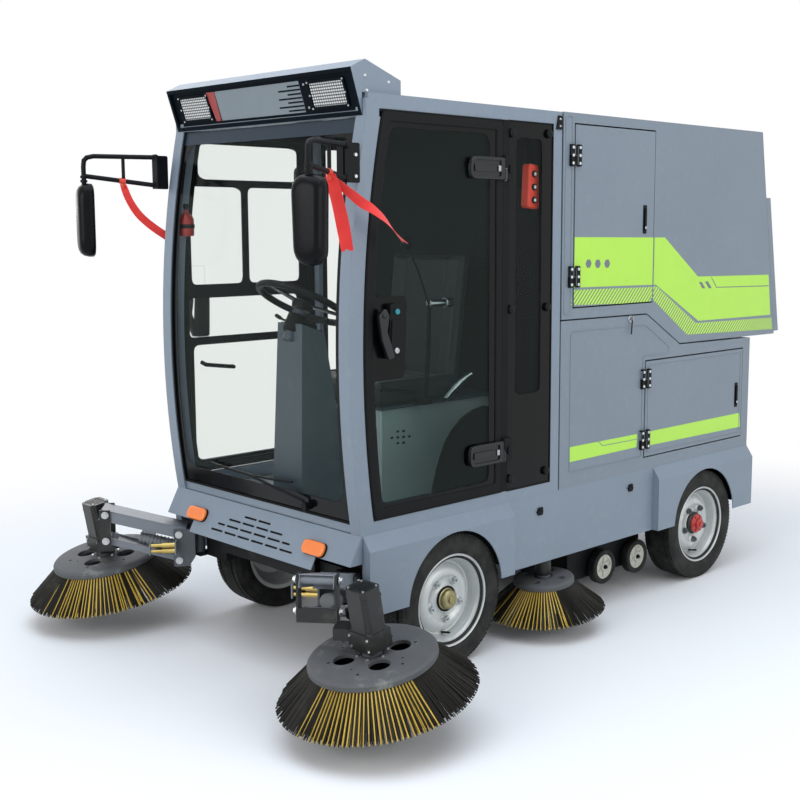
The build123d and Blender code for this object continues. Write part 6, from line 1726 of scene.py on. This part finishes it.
def puff(piece, limit, rear, voxel=0.007):
    """Remeshes a pad, inflates its cover a little as cloth and keeps the result within a limit in millimetres."""
    remesh = piece.modifiers.new("even mesh", "REMESH")
    remesh.mode, remesh.voxel_size = "VOXEL", voxel
    even = bpy.data.meshes.new_from_object(piece.evaluated_get(bpy.context.evaluated_depsgraph_get()))
    piece.modifiers.clear()
    piece.data = even
    rest = [v.co.copy() for v in even.vertices]
    held = piece.vertex_groups.new(name="held")
    back = [v.index for v in even.vertices if v.normal.dot(rear) > 0.8]
    held.add(back, 1.0, "REPLACE")
    cloth = piece.modifiers.new("cover", "CLOTH")
    settings = cloth.settings
    settings.quality = 6
    settings.mass = 0.4
    settings.tension_stiffness = settings.compression_stiffness = 22.0
    settings.bending_stiffness = 4.0
    settings.use_pressure = True
    settings.uniform_pressure_force = 4.0
    settings.vertex_group_mass = "held"
    settings.effector_weights.gravity = 0.0
    settings.shrink_min = -0.02
    cloth.point_cache.frame_start, cloth.point_cache.frame_end = 1, 20
    for frame_number in range(1, 21):
        bpy.context.scene.frame_set(frame_number)
    moved = bpy.data.meshes.new_from_object(piece.evaluated_get(bpy.context.evaluated_depsgraph_get()))
    piece.modifiers.clear()
    for vertex, start in zip(moved.vertices, rest):
        step = vertex.co - start
        if step.length > mm(limit):
            vertex.co = start + step.normalized() * mm(limit)
    piece.data = moved
    piece.vertex_groups.clear()
    bpy.context.scene.frame_set(1)
    piece.data.materials.clear()
    piece.data.materials.append(seat_vinyl)
    piece.data.shade_smooth()
    finer = piece.modifiers.new("finer", "SUBSURF")
    finer.levels = finer.render_levels = 1
    piece.data = bpy.data.meshes.new_from_object(piece.evaluated_get(bpy.context.evaluated_depsgraph_get()))
    piece.modifiers.clear()


SEAT_PADS = (("seat_cushion", (486, 452, 100), 12, Matrix.Translation(spot(0, 182, 991.0)), (0, 0, -1), 4.0),
             ("seat_backrest", (440, 560, 70), 14, Matrix.Translation(spot(0, 470, 1310))
              @ Matrix.Rotation(math.radians(82), 4, "X"), (0, 1, 0), 3.5))
for pad_name, size, bolster, place, rear, limit in SEAT_PADS:
    pad = pad_block(pad_name, size, bolster, place)
    puff(pad, limit, Vector(rear))
    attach(pad, "chassis")
    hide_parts("seat_pads")
bm = bmesh.new()
loop = [spot(x, s, 1062) for x, s in rounded([(-238, -38), (238, -38), (238, 402), (-238, 402)], 30, 6)]
add_tube(bm, loop + [loop[0]], mm(3), 8, False)
finish(bm, "seat_piping", seat_vinyl, "chassis")
bm = bmesh.new()
for x in (-120, 120):
    add_tube(bm, [spot(x, 440, 988), spot(x, 470, 1020), spot(x, 478, 1120)], mm(14), 14)
finish(bm, "backrest_brackets", powder_black, "chassis")
print("seat made")

# %% [markdown]
# ## Controls
# The wheel is a moulded rim on three pressed spokes. Stalk, switches, levers and a kettle-black knob are
# small moulded parts; the pendant hangs on a coiled cable by the driver's left window.

# %% Steering wheel and console details
WHEEL = Matrix.Translation(spot(0, -232, 1405)) @ Matrix.Rotation(math.radians(-28), 4, "X")
bm = bmesh.new()
ring_points = [WHEEL @ Vector((mm(185) * math.cos(t), mm(185) * math.sin(t), 0))
               for t in (2 * math.pi * i / 72 for i in range(72))]
add_tube(bm, ring_points + [ring_points[0]], mm(13.9), 16, False)
finish(bm, "wheel_rim", abs_black, "steering_wheel", replaces=("steering_wheel",))
bm = bmesh.new()
for angle in (-90, 30, 150):
    t = math.radians(angle)
    u, v = Vector((math.cos(t), math.sin(t), 0)), Vector((-math.sin(t), math.cos(t), 0))
    corners = [u * mm(30) - v * mm(20), u * mm(176) - v * mm(13), u * mm(176) + v * mm(13), u * mm(30) + v * mm(20)]
    add_plate(bm, [WHEEL @ (p + Vector((0, 0, mm(-9)))) for p in corners], (WHEEL.to_3x3() @ Vector((0, 0, mm(8)))))
finish(bm, "wheel_spokes", abs_gloss, "steering_wheel", bevel=2)
bm = bmesh.new()
axis = WHEEL.to_3x3() @ Vector((0, 0, 1))
add_turned(bm, [(0, 8), (36, 6), (43, 0), (44, -10), (38, -28), (0, -28)], spot(0, -232, 1405), axis, 40)
add_tube(bm, [WHEEL @ Vector((0, 0, mm(-26))), WHEEL @ Vector((0, 0, mm(-132)))], mm(11), 20)
finish(bm, "wheel_boss", abs_black, "steering_wheel", bevel=1.2)
bm = bmesh.new()
add_turned(bm, [(0, 9.5), (20, 9), (22, 7), (22, 5), (0, 5)], spot(0, -232, 1405), axis, 32)
finish(bm, "wheel_badge_blank", brushed, "steering_wheel")
bm = bmesh.new()
add_turned(bm, [(34, -52), (40, -56), (42, -120), (36, -128), (27, -128), (27, -52)], spot(0, -232, 1405), axis, 36, closed=True)
finish(bm, "column_shroud", abs_black, "chassis", bevel=1.2)
bm = bmesh.new()
for k in (-1, 1):
    start = WHEEL @ Vector((k * mm(38), mm(10), mm(-84)))
    add_tube(bm, [start, WHEEL @ Vector((k * mm(110), mm(14), mm(-70))), WHEEL @ Vector((k * mm(158), mm(18), mm(-56)))], mm(5), 10)
    add_tube(bm, [WHEEL @ Vector((k * mm(128), mm(15), mm(-65))), WHEEL @ Vector((k * mm(166), mm(18), mm(-54)))], mm(8), 12)
finish(bm, "column_stalks", abs_black, "chassis", bevel=0.8)
bm = bmesh.new()
for i in range(5):
    x = -52 + 26 * i
    block(bm, x - 9, x + 9, -204, -186, 1291.5, 1300)
finish(bm, "console_switches", abs_gloss, "chassis", bevel=1.6)
bm = bmesh.new()
block(bm, -66, 66, -296, -214, 1296, 1333)
for v in bm.verts:
    if v.co.y > spot(0, -240, 0).y:
        v.co.z -= mm(11)
finish(bm, "console_display", abs_black, "chassis", bevel=4)

# %% Levers, pendant and hose
bm = bmesh.new()
add_tube(bm, [spot(300, 150, 990), spot(300, 168, 1200), spot(300, 176, 1396)], mm(9), 14)
add_tube(bm, [spot(300, 172, 1400), spot(295, 120, 1530), spot(288, 66, 1632)], mm(4), 10)
block(bm, 252, 316, 130, 176, 990, 1010)
finish(bm, "hand_lever", abs_black, "chassis")
bm = bmesh.new()
add_turned(bm, [(0, 24), (10, 22), (19, 14), (23, 2), (21, -10), (14, -19), (0, -23)], spot(288, 62, 1642), (0, 0, 1), 28)
finish(bm, "hand_lever_ball", abs_gloss, "chassis", smooth=60)
bm = bmesh.new()
add_tube(bm, [spot(300, 172, 1402), spot(300, 268, 1400)], mm(16), 24)
add_tube(bm, [spot(300, 262, 1400), spot(300, 300, 1399)], mm(21), 24)
finish(bm, "hand_lever_grip", chrome, "chassis", bevel=2.5)
bm = bmesh.new()
hose = [spot(262 + 14 * math.sin(t * 2.2), 300 + 150 * t, 994 + 150 * t - 60 * t * t) for t in (i / 10 for i in range(11))]
add_tube(bm, hose, mm(13), 16)
for i in range(1, 40):
    t = i / 40
    p = spot(262 + 14 * math.sin(t * 2.2), 300 + 150 * t, 994 + 150 * t - 60 * t * t)
    add_tube(bm, [p - Vector((0, mm(0.9), mm(0.6))), p + Vector((0, mm(0.9), mm(0.6)))], mm(15), 16)
finish(bm, "chrome_hose", chrome, "chassis", smooth=30)
bm = bmesh.new()
block(bm, -470, -300, 120, 420, 599.8, 905)
finish(bm, "side_console_box", cab_paint, "chassis", bevel=6)
bm = bmesh.new()
block(bm, -466, -304, 124, 416, 905.2, 912)
finish(bm, "side_console_top", abs_black, "chassis", bevel=3)
fasten("side_console_buttons", [(spot(x, s, 912), Vector((0, 0, 1))) for x in (-420, -385, -350) for s in (170, 215, 260)], 20,
       9, 7, pendant_red, "chassis", 0.9)
PENDANT_S = 508.0
bm = bmesh.new()
side_outline(bm, rounded([(PENDANT_S - 38, 1786), (PENDANT_S + 36, 1778), (PENDANT_S + 30, 1955), (PENDANT_S - 28, 1962)], 16, 5),
             528, 566)
finish(bm, "pendant_housing", pendant_red, "chassis", bevel=5)
heights = (1816, 1868, 1920)
fasten("pendant_buttons", [(spot(566, PENDANT_S, z), Vector((1, 0, 0))) for z in heights], 24, 14, 7, abs_black,
       "chassis", 0.85)
fasten("pendant_button_caps", [(spot(572.6, PENDANT_S, z), Vector((1, 0, 0))) for z in heights], 20, 7, 2, label_white,
       "chassis", 0.9)
bm = bmesh.new()
block(bm, 536, 558, PENDANT_S - 16, PENDANT_S + 8, 1955, 1972)
finish(bm, "pendant_gland", abs_black, "chassis", bevel=3)
bm = bmesh.new()
block(bm, 520, 540, PENDANT_S - 22, PENDANT_S + 14, 1770, 2100)
finish(bm, "pendant_hanger", abs_black, "chassis", bevel=3)
# small dry-powder extinguisher clamped inside the right front pillar
EXTINGUISHER = spot(-548, -412, 0)
bm = bmesh.new()
add_turned(bm, [(0, 1776), (9, 1776), (11, 1768), (14, 1762), (28, 1752), (34, 1736), (34, 1676), (31, 1668), (0, 1666)],
           EXTINGUISHER, (0, 0, 1), 32)
finish(bm, "extinguisher_body", red_enamel, "chassis", bevel=0)
bm = bmesh.new()
add_turned(bm, [(0, 1800), (12, 1800), (14, 1788), (8, 1776), (0, 1776)], EXTINGUISHER, (0, 0, 1), 20)
add_turned(bm, [(34.5, 1700), (36.5, 1700), (36.5, 1716), (34.5, 1716), (34.5, 1700)],
           EXTINGUISHER, (0, 0, 1), 32)
finish(bm, "extinguisher_valve", abs_black, "chassis", bevel=0)
print("controls made")


# %% [markdown]
# ## Vinyl film on the bin and the cabinet
# Stripes are cut film, a fifth of a millimetre thick, laid on the finished paint. One outline crosses
# several panels, so each outline is clipped to each panel it lies on, and each piece rides with that panel.

# %% Clipping an outline to a panel
def clip(points, s0, s1, z0, z1):
    """The part of a convex or gently concave outline inside a rectangle (Sutherland-Hodgman)."""
    def cut(outline, inside, cross):
        result = []
        for i, p in enumerate(outline):
            q = outline[(i + 1) % len(outline)]
            if inside(p):
                result.append(p)
                if not inside(q):
                    result.append(cross(p, q))
            elif inside(q):
                result.append(cross(p, q))
        return result

    def at_s(s):
        return lambda p, q: (s, p[1] + (q[1] - p[1]) * (s - p[0]) / (q[0] - p[0]))

    def at_z(z):
        return lambda p, q: (p[0] + (q[0] - p[0]) * (z - p[1]) / (q[1] - p[1]), z)
    for inside, cross in ((lambda p: p[0] >= s0, at_s(s0)), (lambda p: p[0] <= s1, at_s(s1)),
                          (lambda p: p[1] >= z0, at_z(z0)), (lambda p: p[1] <= z1, at_z(z1))):
        points = cut(points, inside, cross)
        if len(points) < 3:
            return []
    return points


UP_DOOR = (727.0, 1283.0, 1374.0, 2127.0)
BIN_AREAS = ((660.0, 715.0, 1300.0, 2160.0), (1295.0, 2360.0, 1150.0, 2160.0), (715.0, 1295.0, 1325.0, 1362.0))


def film(tag, outline, material, areas, body, face, side, k, lift=0.5):
    """Film cut to an outline, clipped to each area of a body's flat side."""
    bm = bmesh.new()
    for area in areas:
        points = clip(outline, *area)
        if points:
            side_outline(bm, points, k * (face - 0.1), k * (face + lift))
    if bm.faces:
        finish(bm, f"film_{tag}_{body}", material, body, bevel=0)
    else:
        bm.free()


LIME_UPPER = [(717, 1666), (1375, 1660), (1648, 1475), (2288, 1465), (2318, 1259), (1663, 1264), (1313, 1448), (721, 1456)]
LIME_HATCHED = [(721, 1446), (1256, 1439), (1319, 1440), (1642, 1255), (2329, 1244), (2344, 1184), (1570, 1204),
                (1274, 1393), (1266, 1368), (710, 1383)]
SLASHES = ([(1658, 1449), (1682, 1448), (1714, 1417), (1689, 1417)], [(1709, 1449), (1734, 1450), (1769, 1416), (1744, 1415)])
THIN_LINE = [(1760, 1469), (1766, 1469), (1812, 1420), (2292, 1411), (2292, 1406), (1808, 1416)]
LOW_BAND_FRONT = [(715, 777), (1195, 775), (1191, 715), (716, 712)]
LOW_BAND_REAR = [(1272, 776), (2048, 778), (2059, 706), (1274, 711)]
HEXAGONS = ((821, 1554), (884, 1552), (949, 1551))


def hexagon(s, z, half=20.0):
    return [(s + half * math.cos(math.radians(60 * i)), z + half * math.sin(math.radians(60 * i))) for i in range(6)]


for side, k in SIDES:
    on_bin = [("bin", 600.0, BIN_AREAS), (f"up_door_{side}", 602.0, (UP_DOOR,))]
    for body, face, areas in on_bin:
        film(f"lime_{side}", LIME_UPPER, lime_film, areas, body, face, side, k)
        film(f"hatched_{side}", LIME_HATCHED, hatched_film, areas, body, face, side, k)
    for i, outline in enumerate(SLASHES):
        film(f"slash_{i}_{side}", outline, grey_film, BIN_AREAS, "bin", 600.0, side, k, 0.8)
    film(f"line_{side}", THIN_LINE, grey_film, BIN_AREAS, "bin", 600.0, side, k, 0.8)
    for i, (s, z) in enumerate(HEXAGONS):
        film(f"hexagon_{i}_{side}", hexagon(s, z), grey_film, (UP_DOOR,), f"up_door_{side}", 602.0, side, k, 0.9)
    film(f"low_{side}", LOW_BAND_FRONT, lime_film, ((650, 1236, 600, 1200),), "chassis", 600.0, side, k)
    film(f"low_{side}", LOW_BAND_REAR, lime_film, ((1250, 2061, 660, 1104),), f"low_door_{side}", 602.0, side, k)
    bm = bmesh.new()
    for a, b in (((886, 782), (908, 779)), ((908, 779), (941, 754)), ((941, 754), (1196, 752))):
        ds, dz = b[0] - a[0], b[1] - a[1]
        n = math.hypot(ds, dz)
        w = (-dz / n * 1.6, ds / n * 1.6)
        side_outline(bm, [(a[0] - w[0], a[1] - w[1]), (b[0] - w[0], b[1] - w[1]), (b[0] + w[0], b[1] + w[1]),
                          (a[0] + w[0], a[1] + w[1])], k * 600, k * 600.9)
    finish(bm, f"film_notch_{side}", body_paint, "chassis", bevel=0)
print("film laid")

# %% [markdown]
# ## Hardware on the panels
# Hinges are black plates with socket screws, latches are black turn handles, and the panels' raised
# borders show how the sheet was folded.

# %% Hinge plates, handles and latches
HATCHES = (("up_door", "bin", 721.0, (1501.0, 2001.0)), ("low_door", "chassis", 1243.0, (744.0, 1024.0)))
for side, k in SIDES:
    for hatch_name, post, hinge_s, heights in HATCHES:
        door = f"{hatch_name}_{side}"
        for n, z in enumerate(heights):
            for rider, s0, s1 in ((door, hinge_s + 10.5, hinge_s + 34), (post, hinge_s - 34, hinge_s - 10.5)):
                bm = bmesh.new()
                side_outline(bm, rounded([(s0, z - 45), (s1, z - 45), (s1, z + 45), (s0, z + 45)], 4, 3),
                             k * 602.2, k * 613.4)
                tag = f"{hatch_name}_{side}_{n}_{'door' if rider == door else 'post'}"
                finish(bm, f"hinge_plate_{tag}", abs_black, rider, bevel=1.4)
                middle = (s0 + s1) / 2
                places = [(spot(k * 613.4, middle, z + d), Vector((k, 0, 0))) for d in (-32, 0, 32)]
                fasten(f"hinge_screws_{tag}", places, 16, 6.4, 2.6, label_white, rider, 0.9)
            bm = bmesh.new()
            add_tube(bm, [spot(k * 609, hinge_s, z - 38), spot(k * 609, hinge_s, z - 0.6)], mm(8.6), 18)
            finish(bm, f"hinge_barrel_{hatch_name}_{side}_{n}_door", abs_black, door, bevel=0.6)
            bm = bmesh.new()
            add_tube(bm, [spot(k * 609, hinge_s, z + 0.6), spot(k * 609, hinge_s, z + 38)], mm(8.6), 18)
            finish(bm, f"hinge_barrel_{hatch_name}_{side}_{n}_post", abs_black, post, bevel=0.6)
    for rider, s, z0, z1 in ((f"up_door_{side}", 1214.5, 1690, 1792), (f"low_door_{side}", 2010.5, 825, 924)):
        bm = bmesh.new()
        side_outline(bm, rounded([(s - 13, z0 - 12), (s + 13, z0 - 12), (s + 13, z1 + 12), (s - 13, z1 + 12)], 5, 3),
                     k * 602, k * 604.4)
        finish(bm, f"handle_plate_{rider}", abs_black, rider, bevel=0.8)
        bm = bmesh.new()
        side_outline(bm, rounded([(s - 7, z0 + 2), (s + 7, z0 + 2), (s + 7, z1 - 2), (s - 7, z1 - 2)], 4, 3),
                     k * 604.4, k * 610)
        finish(bm, f"handle_bar_{rider}", abs_gloss, rider, bevel=1.8)
        bm = bmesh.new()
        add_turned(bm, [(0, 612.5), (5, 612.5), (6.5, 611), (6.5, 604), (0, 604)], Vector((0, *spot(0, s, z0 + 14)[1:])),
                   (k, 0, 0), 20)
        finish(bm, f"handle_key_{rider}", brushed, rider)
    bm = bmesh.new()
    add_turned(bm, [(0, 606), (13, 606), (16, 603.5), (16, 600), (0, 600)], Vector((0, *spot(0, 1123, 1302)[1:])), (k, 0, 0), 28)
    side_outline(bm, [(1121, 1296), (1125, 1296), (1127, 1312), (1119, 1312)], k * 606, k * 618)
    finish(bm, f"panel_lock_{side}", brushed, "chassis")
    bm = bmesh.new()
    side_outline(bm, [(1112, 1236), (1119, 1235), (1123, 1298), (1117, 1299)], k * 614, k * 617)
    finish(bm, f"panel_key_tag_{side}", abs_black, "chassis", bevel=0.6)
    for n, (s, z) in enumerate(((526, 530), (1151, 533))):
        bm = bmesh.new()
        side_outline(bm, rounded([(s - 17, z - 17), (s + 17, z - 17), (s + 17, z + 17), (s - 17, z + 17)], 7, 4), k * 600.1, k * 604)
        side_outline(bm, rounded([(s - 26, z - 5), (s + 9, z - 5), (s + 9, z + 5), (s - 26, z + 5)], 4, 3), k * 604, k * 612)
        finish(bm, f"turn_latch_{side}_{n}", abs_black, "chassis", bevel=1.6)

# %% Raised borders of the folded panels
def border(bm, outline, k, face, width=2.2, height=1.4):
    """A thin folded bead that follows a closed (station, height) outline."""
    loop = [spot(k * (face + height * 0.3), s, z) for s, z in rounded(outline, 12, 5)]
    add_tube(bm, loop + [loop[0]], mm(width), 6, False)


for side, k in SIDES:
    bm = bmesh.new()
    border(bm, [(664, 2158), (706, 2158), (706, 1345), (664, 1345)], k, 600)
    finish(bm, f"bin_panel_beads_{side}", body_paint, "bin")
    bm = bmesh.new()
    border(bm, [(712, 1270), (1240, 1268), (1423, 1160), (1423, 1128), (1226, 1128), (1226, 668), (712, 668)], k, 600)
    finish(bm, f"cabinet_panel_bead_{side}", body_paint, "chassis")
    for body, box in ((f"low_door_{side}", (1267, 2044, 681, 1084)),):
        bm = bmesh.new()
        s0, s1, z0, z1 = box
        border(bm, [(s0, z0), (s1, z0), (s1, z1), (s0, z1)], k, 602, 1.8, 1.0)
        finish(bm, f"door_bead_{body}", body_paint, body)
print("panel hardware made")

# %% [markdown]
# ## Back of the machine and details below
# The tailgate has pressed ribs and a rubber lip; lamp clusters are plain parts of the kind such machines
# carry.

# %% Tailgate, rear lamps
GATE_LOW, GATE_HIGH = (1174.0, 1852.0)


def gate_s(z):
    return 2188 + 172 * (2174 - z) / 1014 + 1.5 + 42 - (4 * (z - GATE_LOW) / (GATE_HIGH - GATE_LOW))


bm = bmesh.new()
for x0, x1 in ((-520, -210), (-155, 155), (210, 520)):
    rows = [(x0, 1240), (x1, 1240), (x1, 1790), (x0, 1790)]
    outline = rounded(rows, 26, 5)
    inner = rounded([(x0 + 16, 1256), (x1 - 16, 1256), (x1 - 16, 1774), (x0 + 16, 1774)], 16, 5)
    add_frame_plate(bm, [spot(x, gate_s(z), z) for x, z in outline], [spot(x, gate_s(z) + 3, z) for x, z in inner], (0, mm(1.2), 0))
finish(bm, "tailgate_pressings", body_paint, "tailgate", bevel=0.8)
bm = bmesh.new()
add_box(bm, spot(-597, gate_s(1180) - 30, 1174.5), spot(597, gate_s(1180) - 3, 1186))
finish(bm, "tailgate_lip", epdm_black, "tailgate", bevel=2)
for k in (-1, 1):
    bm = bmesh.new()
    add_tube(bm, [spot(k * 250, gate_s(1215) + 2, 1215), spot(k * 250, gate_s(1215) + 30, 1215),
                  spot(k * 110, gate_s(1215) + 30, 1215), spot(k * 110, gate_s(1215) + 2, 1215)], mm(7), 12)
    finish(bm, f"tailgate_handle_{'left' if k > 0 else 'right'}", abs_black, "tailgate")
for side, k in SIDES:
    bm = bmesh.new()
    outer = rounded([(466, 696), (564, 696), (564, 904), (466, 904)], 10, 4)
    inner = rounded([(474, 704), (556, 704), (556, 896), (474, 896)], 6, 4)
    add_frame_plate(bm, [spot(k * x, 2130.5, z) for x, z in outer], [spot(k * x, 2130.5, z) for x, z in inner],
                    (0, mm(20), 0))
    for z in (770, 832):
        block(bm, k * 472, k * 558, 2150, 2157, z - 2, z + 2)
    finish(bm, f"tail_lamp_bezel_{side}", abs_black, "chassis", bevel=1.2)
    bm = bmesh.new()
    block(bm, k * 480, k * 550, 2155, 2156.8, 838, 890)
    finish(bm, f"tail_lamp_amber_{side}", amber_acrylic, "chassis", bevel=0.6)
    bm = bmesh.new()
    block(bm, k * 430, k * 434, 1332, 2122, 336, 598)
    block(bm, k * 432, k * 599, 2004, 2008, 336, 598)
    finish(bm, f"wheel_house_{side}", chassis_black, "chassis", bevel=0)
print("back made")


# %% [markdown]
# ## Camera, light and floor
# The camera stands at eye height off the left front corner. The lens, shift and roll come from the
# wheelbase, the tyre size and the body's straight edges, so the machine fills the frame as a buyer sees it.

# %% Camera
camera_data = bpy.data.cameras.new("eye")
camera_data.sensor_width = 36.0
camera_data.lens = 54.52
camera_data.shift_x = -0.0836
camera_data.shift_y = -0.0153
camera_data.clip_end = 60.0
camera = bpy.data.objects.new("eye", camera_data)
camera.location = spot(3844, -3225, 1721.5)
camera.rotation_euler = (math.radians(90 - 7.72), math.radians(-0.097), math.radians(44.41))
bpy.context.scene.collection.objects.link(camera)
bpy.context.scene.camera = camera


# %% Floor
def floor_finish():
    """Pale matt studio floor whose far part takes the backdrop's white where the eye or a gloss sees it."""
    material, tree = new_finish("studio_floor_pale")
    where = place_of(tree)
    cloud = put(tree, "ShaderNodeTexNoise", {"Vector": where, "Scale": 0.5, "Detail": 2.0})
    paper = put(tree, "ShaderNodeBsdfPrincipled", {
        "Base Color": between(tree, cloud.outputs["Fac"], chart("#f6f6f5"), chart("#fafafa")),
        "Roughness": 0.9, "Specular IOR Level": 0.1})
    ray = put(tree, "ShaderNodeLightPath")
    seen = put(tree, "ShaderNodeMath", {0: ray.outputs["Is Camera Ray"], 1: ray.outputs["Is Glossy Ray"]},
               operation="MAXIMUM")
    distance = put(tree, "ShaderNodeVectorMath", {0: where}, operation="LENGTH")
    far = put(tree, "ShaderNodeMapRange", {"Value": distance.outputs["Value"], "From Min": 2.2, "From Max": 4.2},
              interpolation_type="SMOOTHSTEP")
    share = put(tree, "ShaderNodeMath", {0: far.outputs["Result"], 1: seen.outputs[0]}, operation="MULTIPLY")
    white = put(tree, "ShaderNodeEmission", {"Color": (1, 1, 1, 1), "Strength": 1.0})
    close_finish(tree, put(tree, "ShaderNodeMixShader", {0: share.outputs[0], 1: paper.outputs[0], 2: white.outputs[0]}))
    return material


floor_mesh = bmesh.new()
add_faces(floor_mesh, [(-30, -30, 0), (30, -30, 0), (30, 30, 0), (-30, 30, 0)], [(0, 1, 2, 3)])
floor_data = bpy.data.meshes.new("studio_floor")
floor_mesh.to_mesh(floor_data)
floor_mesh.free()
floor_data.materials.append(floor_finish())
floor = bpy.data.objects.new("studio_floor", floor_data)
bpy.context.scene.collection.objects.link(floor)


# %% Lamps and surroundings
def soft_lamp(name, place, target, size, power, colour="#ffffff"):
    lamp = bpy.data.lights.new(name, "AREA")
    lamp.shape = "RECTANGLE"
    lamp.size, lamp.size_y = size
    lamp.energy = power
    lamp.color = chart(colour)[:3]
    holder = bpy.data.objects.new(name, lamp)
    holder.location = place
    holder.rotation_euler = (Vector(target) - Vector(place)).to_track_quat("-Z", "Y").to_euler()
    bpy.context.scene.collection.objects.link(holder)


soft_lamp("overhead", (0.6, -0.6, 5.4), (0, 0, 0.6), (6.0, 6.0), 235, "#e6f0ff")
soft_lamp("left_flank", (6.0, 0.6, 2.6), (0, 0.2, 1.0), (4.5, 3.0), 95)
soft_lamp("nose", (0.6, -7.0, 2.8), (0, -0.5, 1.0), (4.0, 3.0), 135)
soft_lamp("far_side", (-6.0, 1.5, 3.2), (0, 0, 1.0), (4.5, 3.0), 75)

world = bpy.data.worlds.new("studio")
world.use_nodes = True
bpy.context.scene.world = world
sky = world.node_tree
sky.nodes.clear()
path = put(sky, "ShaderNodeLightPath")
seen = put(sky, "ShaderNodeMath", {0: path.outputs["Is Camera Ray"], 1: path.outputs["Is Transmission Ray"]},
           operation="MAXIMUM")
seen = put(sky, "ShaderNodeMath", {0: seen.outputs[0], 1: path.outputs["Is Glossy Ray"]}, operation="MAXIMUM")
ambient = put(sky, "ShaderNodeBackground", {"Color": chart("#e9eef5"), "Strength": 0.55})
backdrop = put(sky, "ShaderNodeBackground", {"Color": (1, 1, 1, 1), "Strength": 1.0})
both = put(sky, "ShaderNodeMixShader", {0: seen.outputs[0], 1: ambient.outputs[0], 2: backdrop.outputs[0]})
put(sky, "ShaderNodeOutputWorld", {"Surface": both.outputs[0]})
bpy.context.scene.view_settings.view_transform = "Standard"
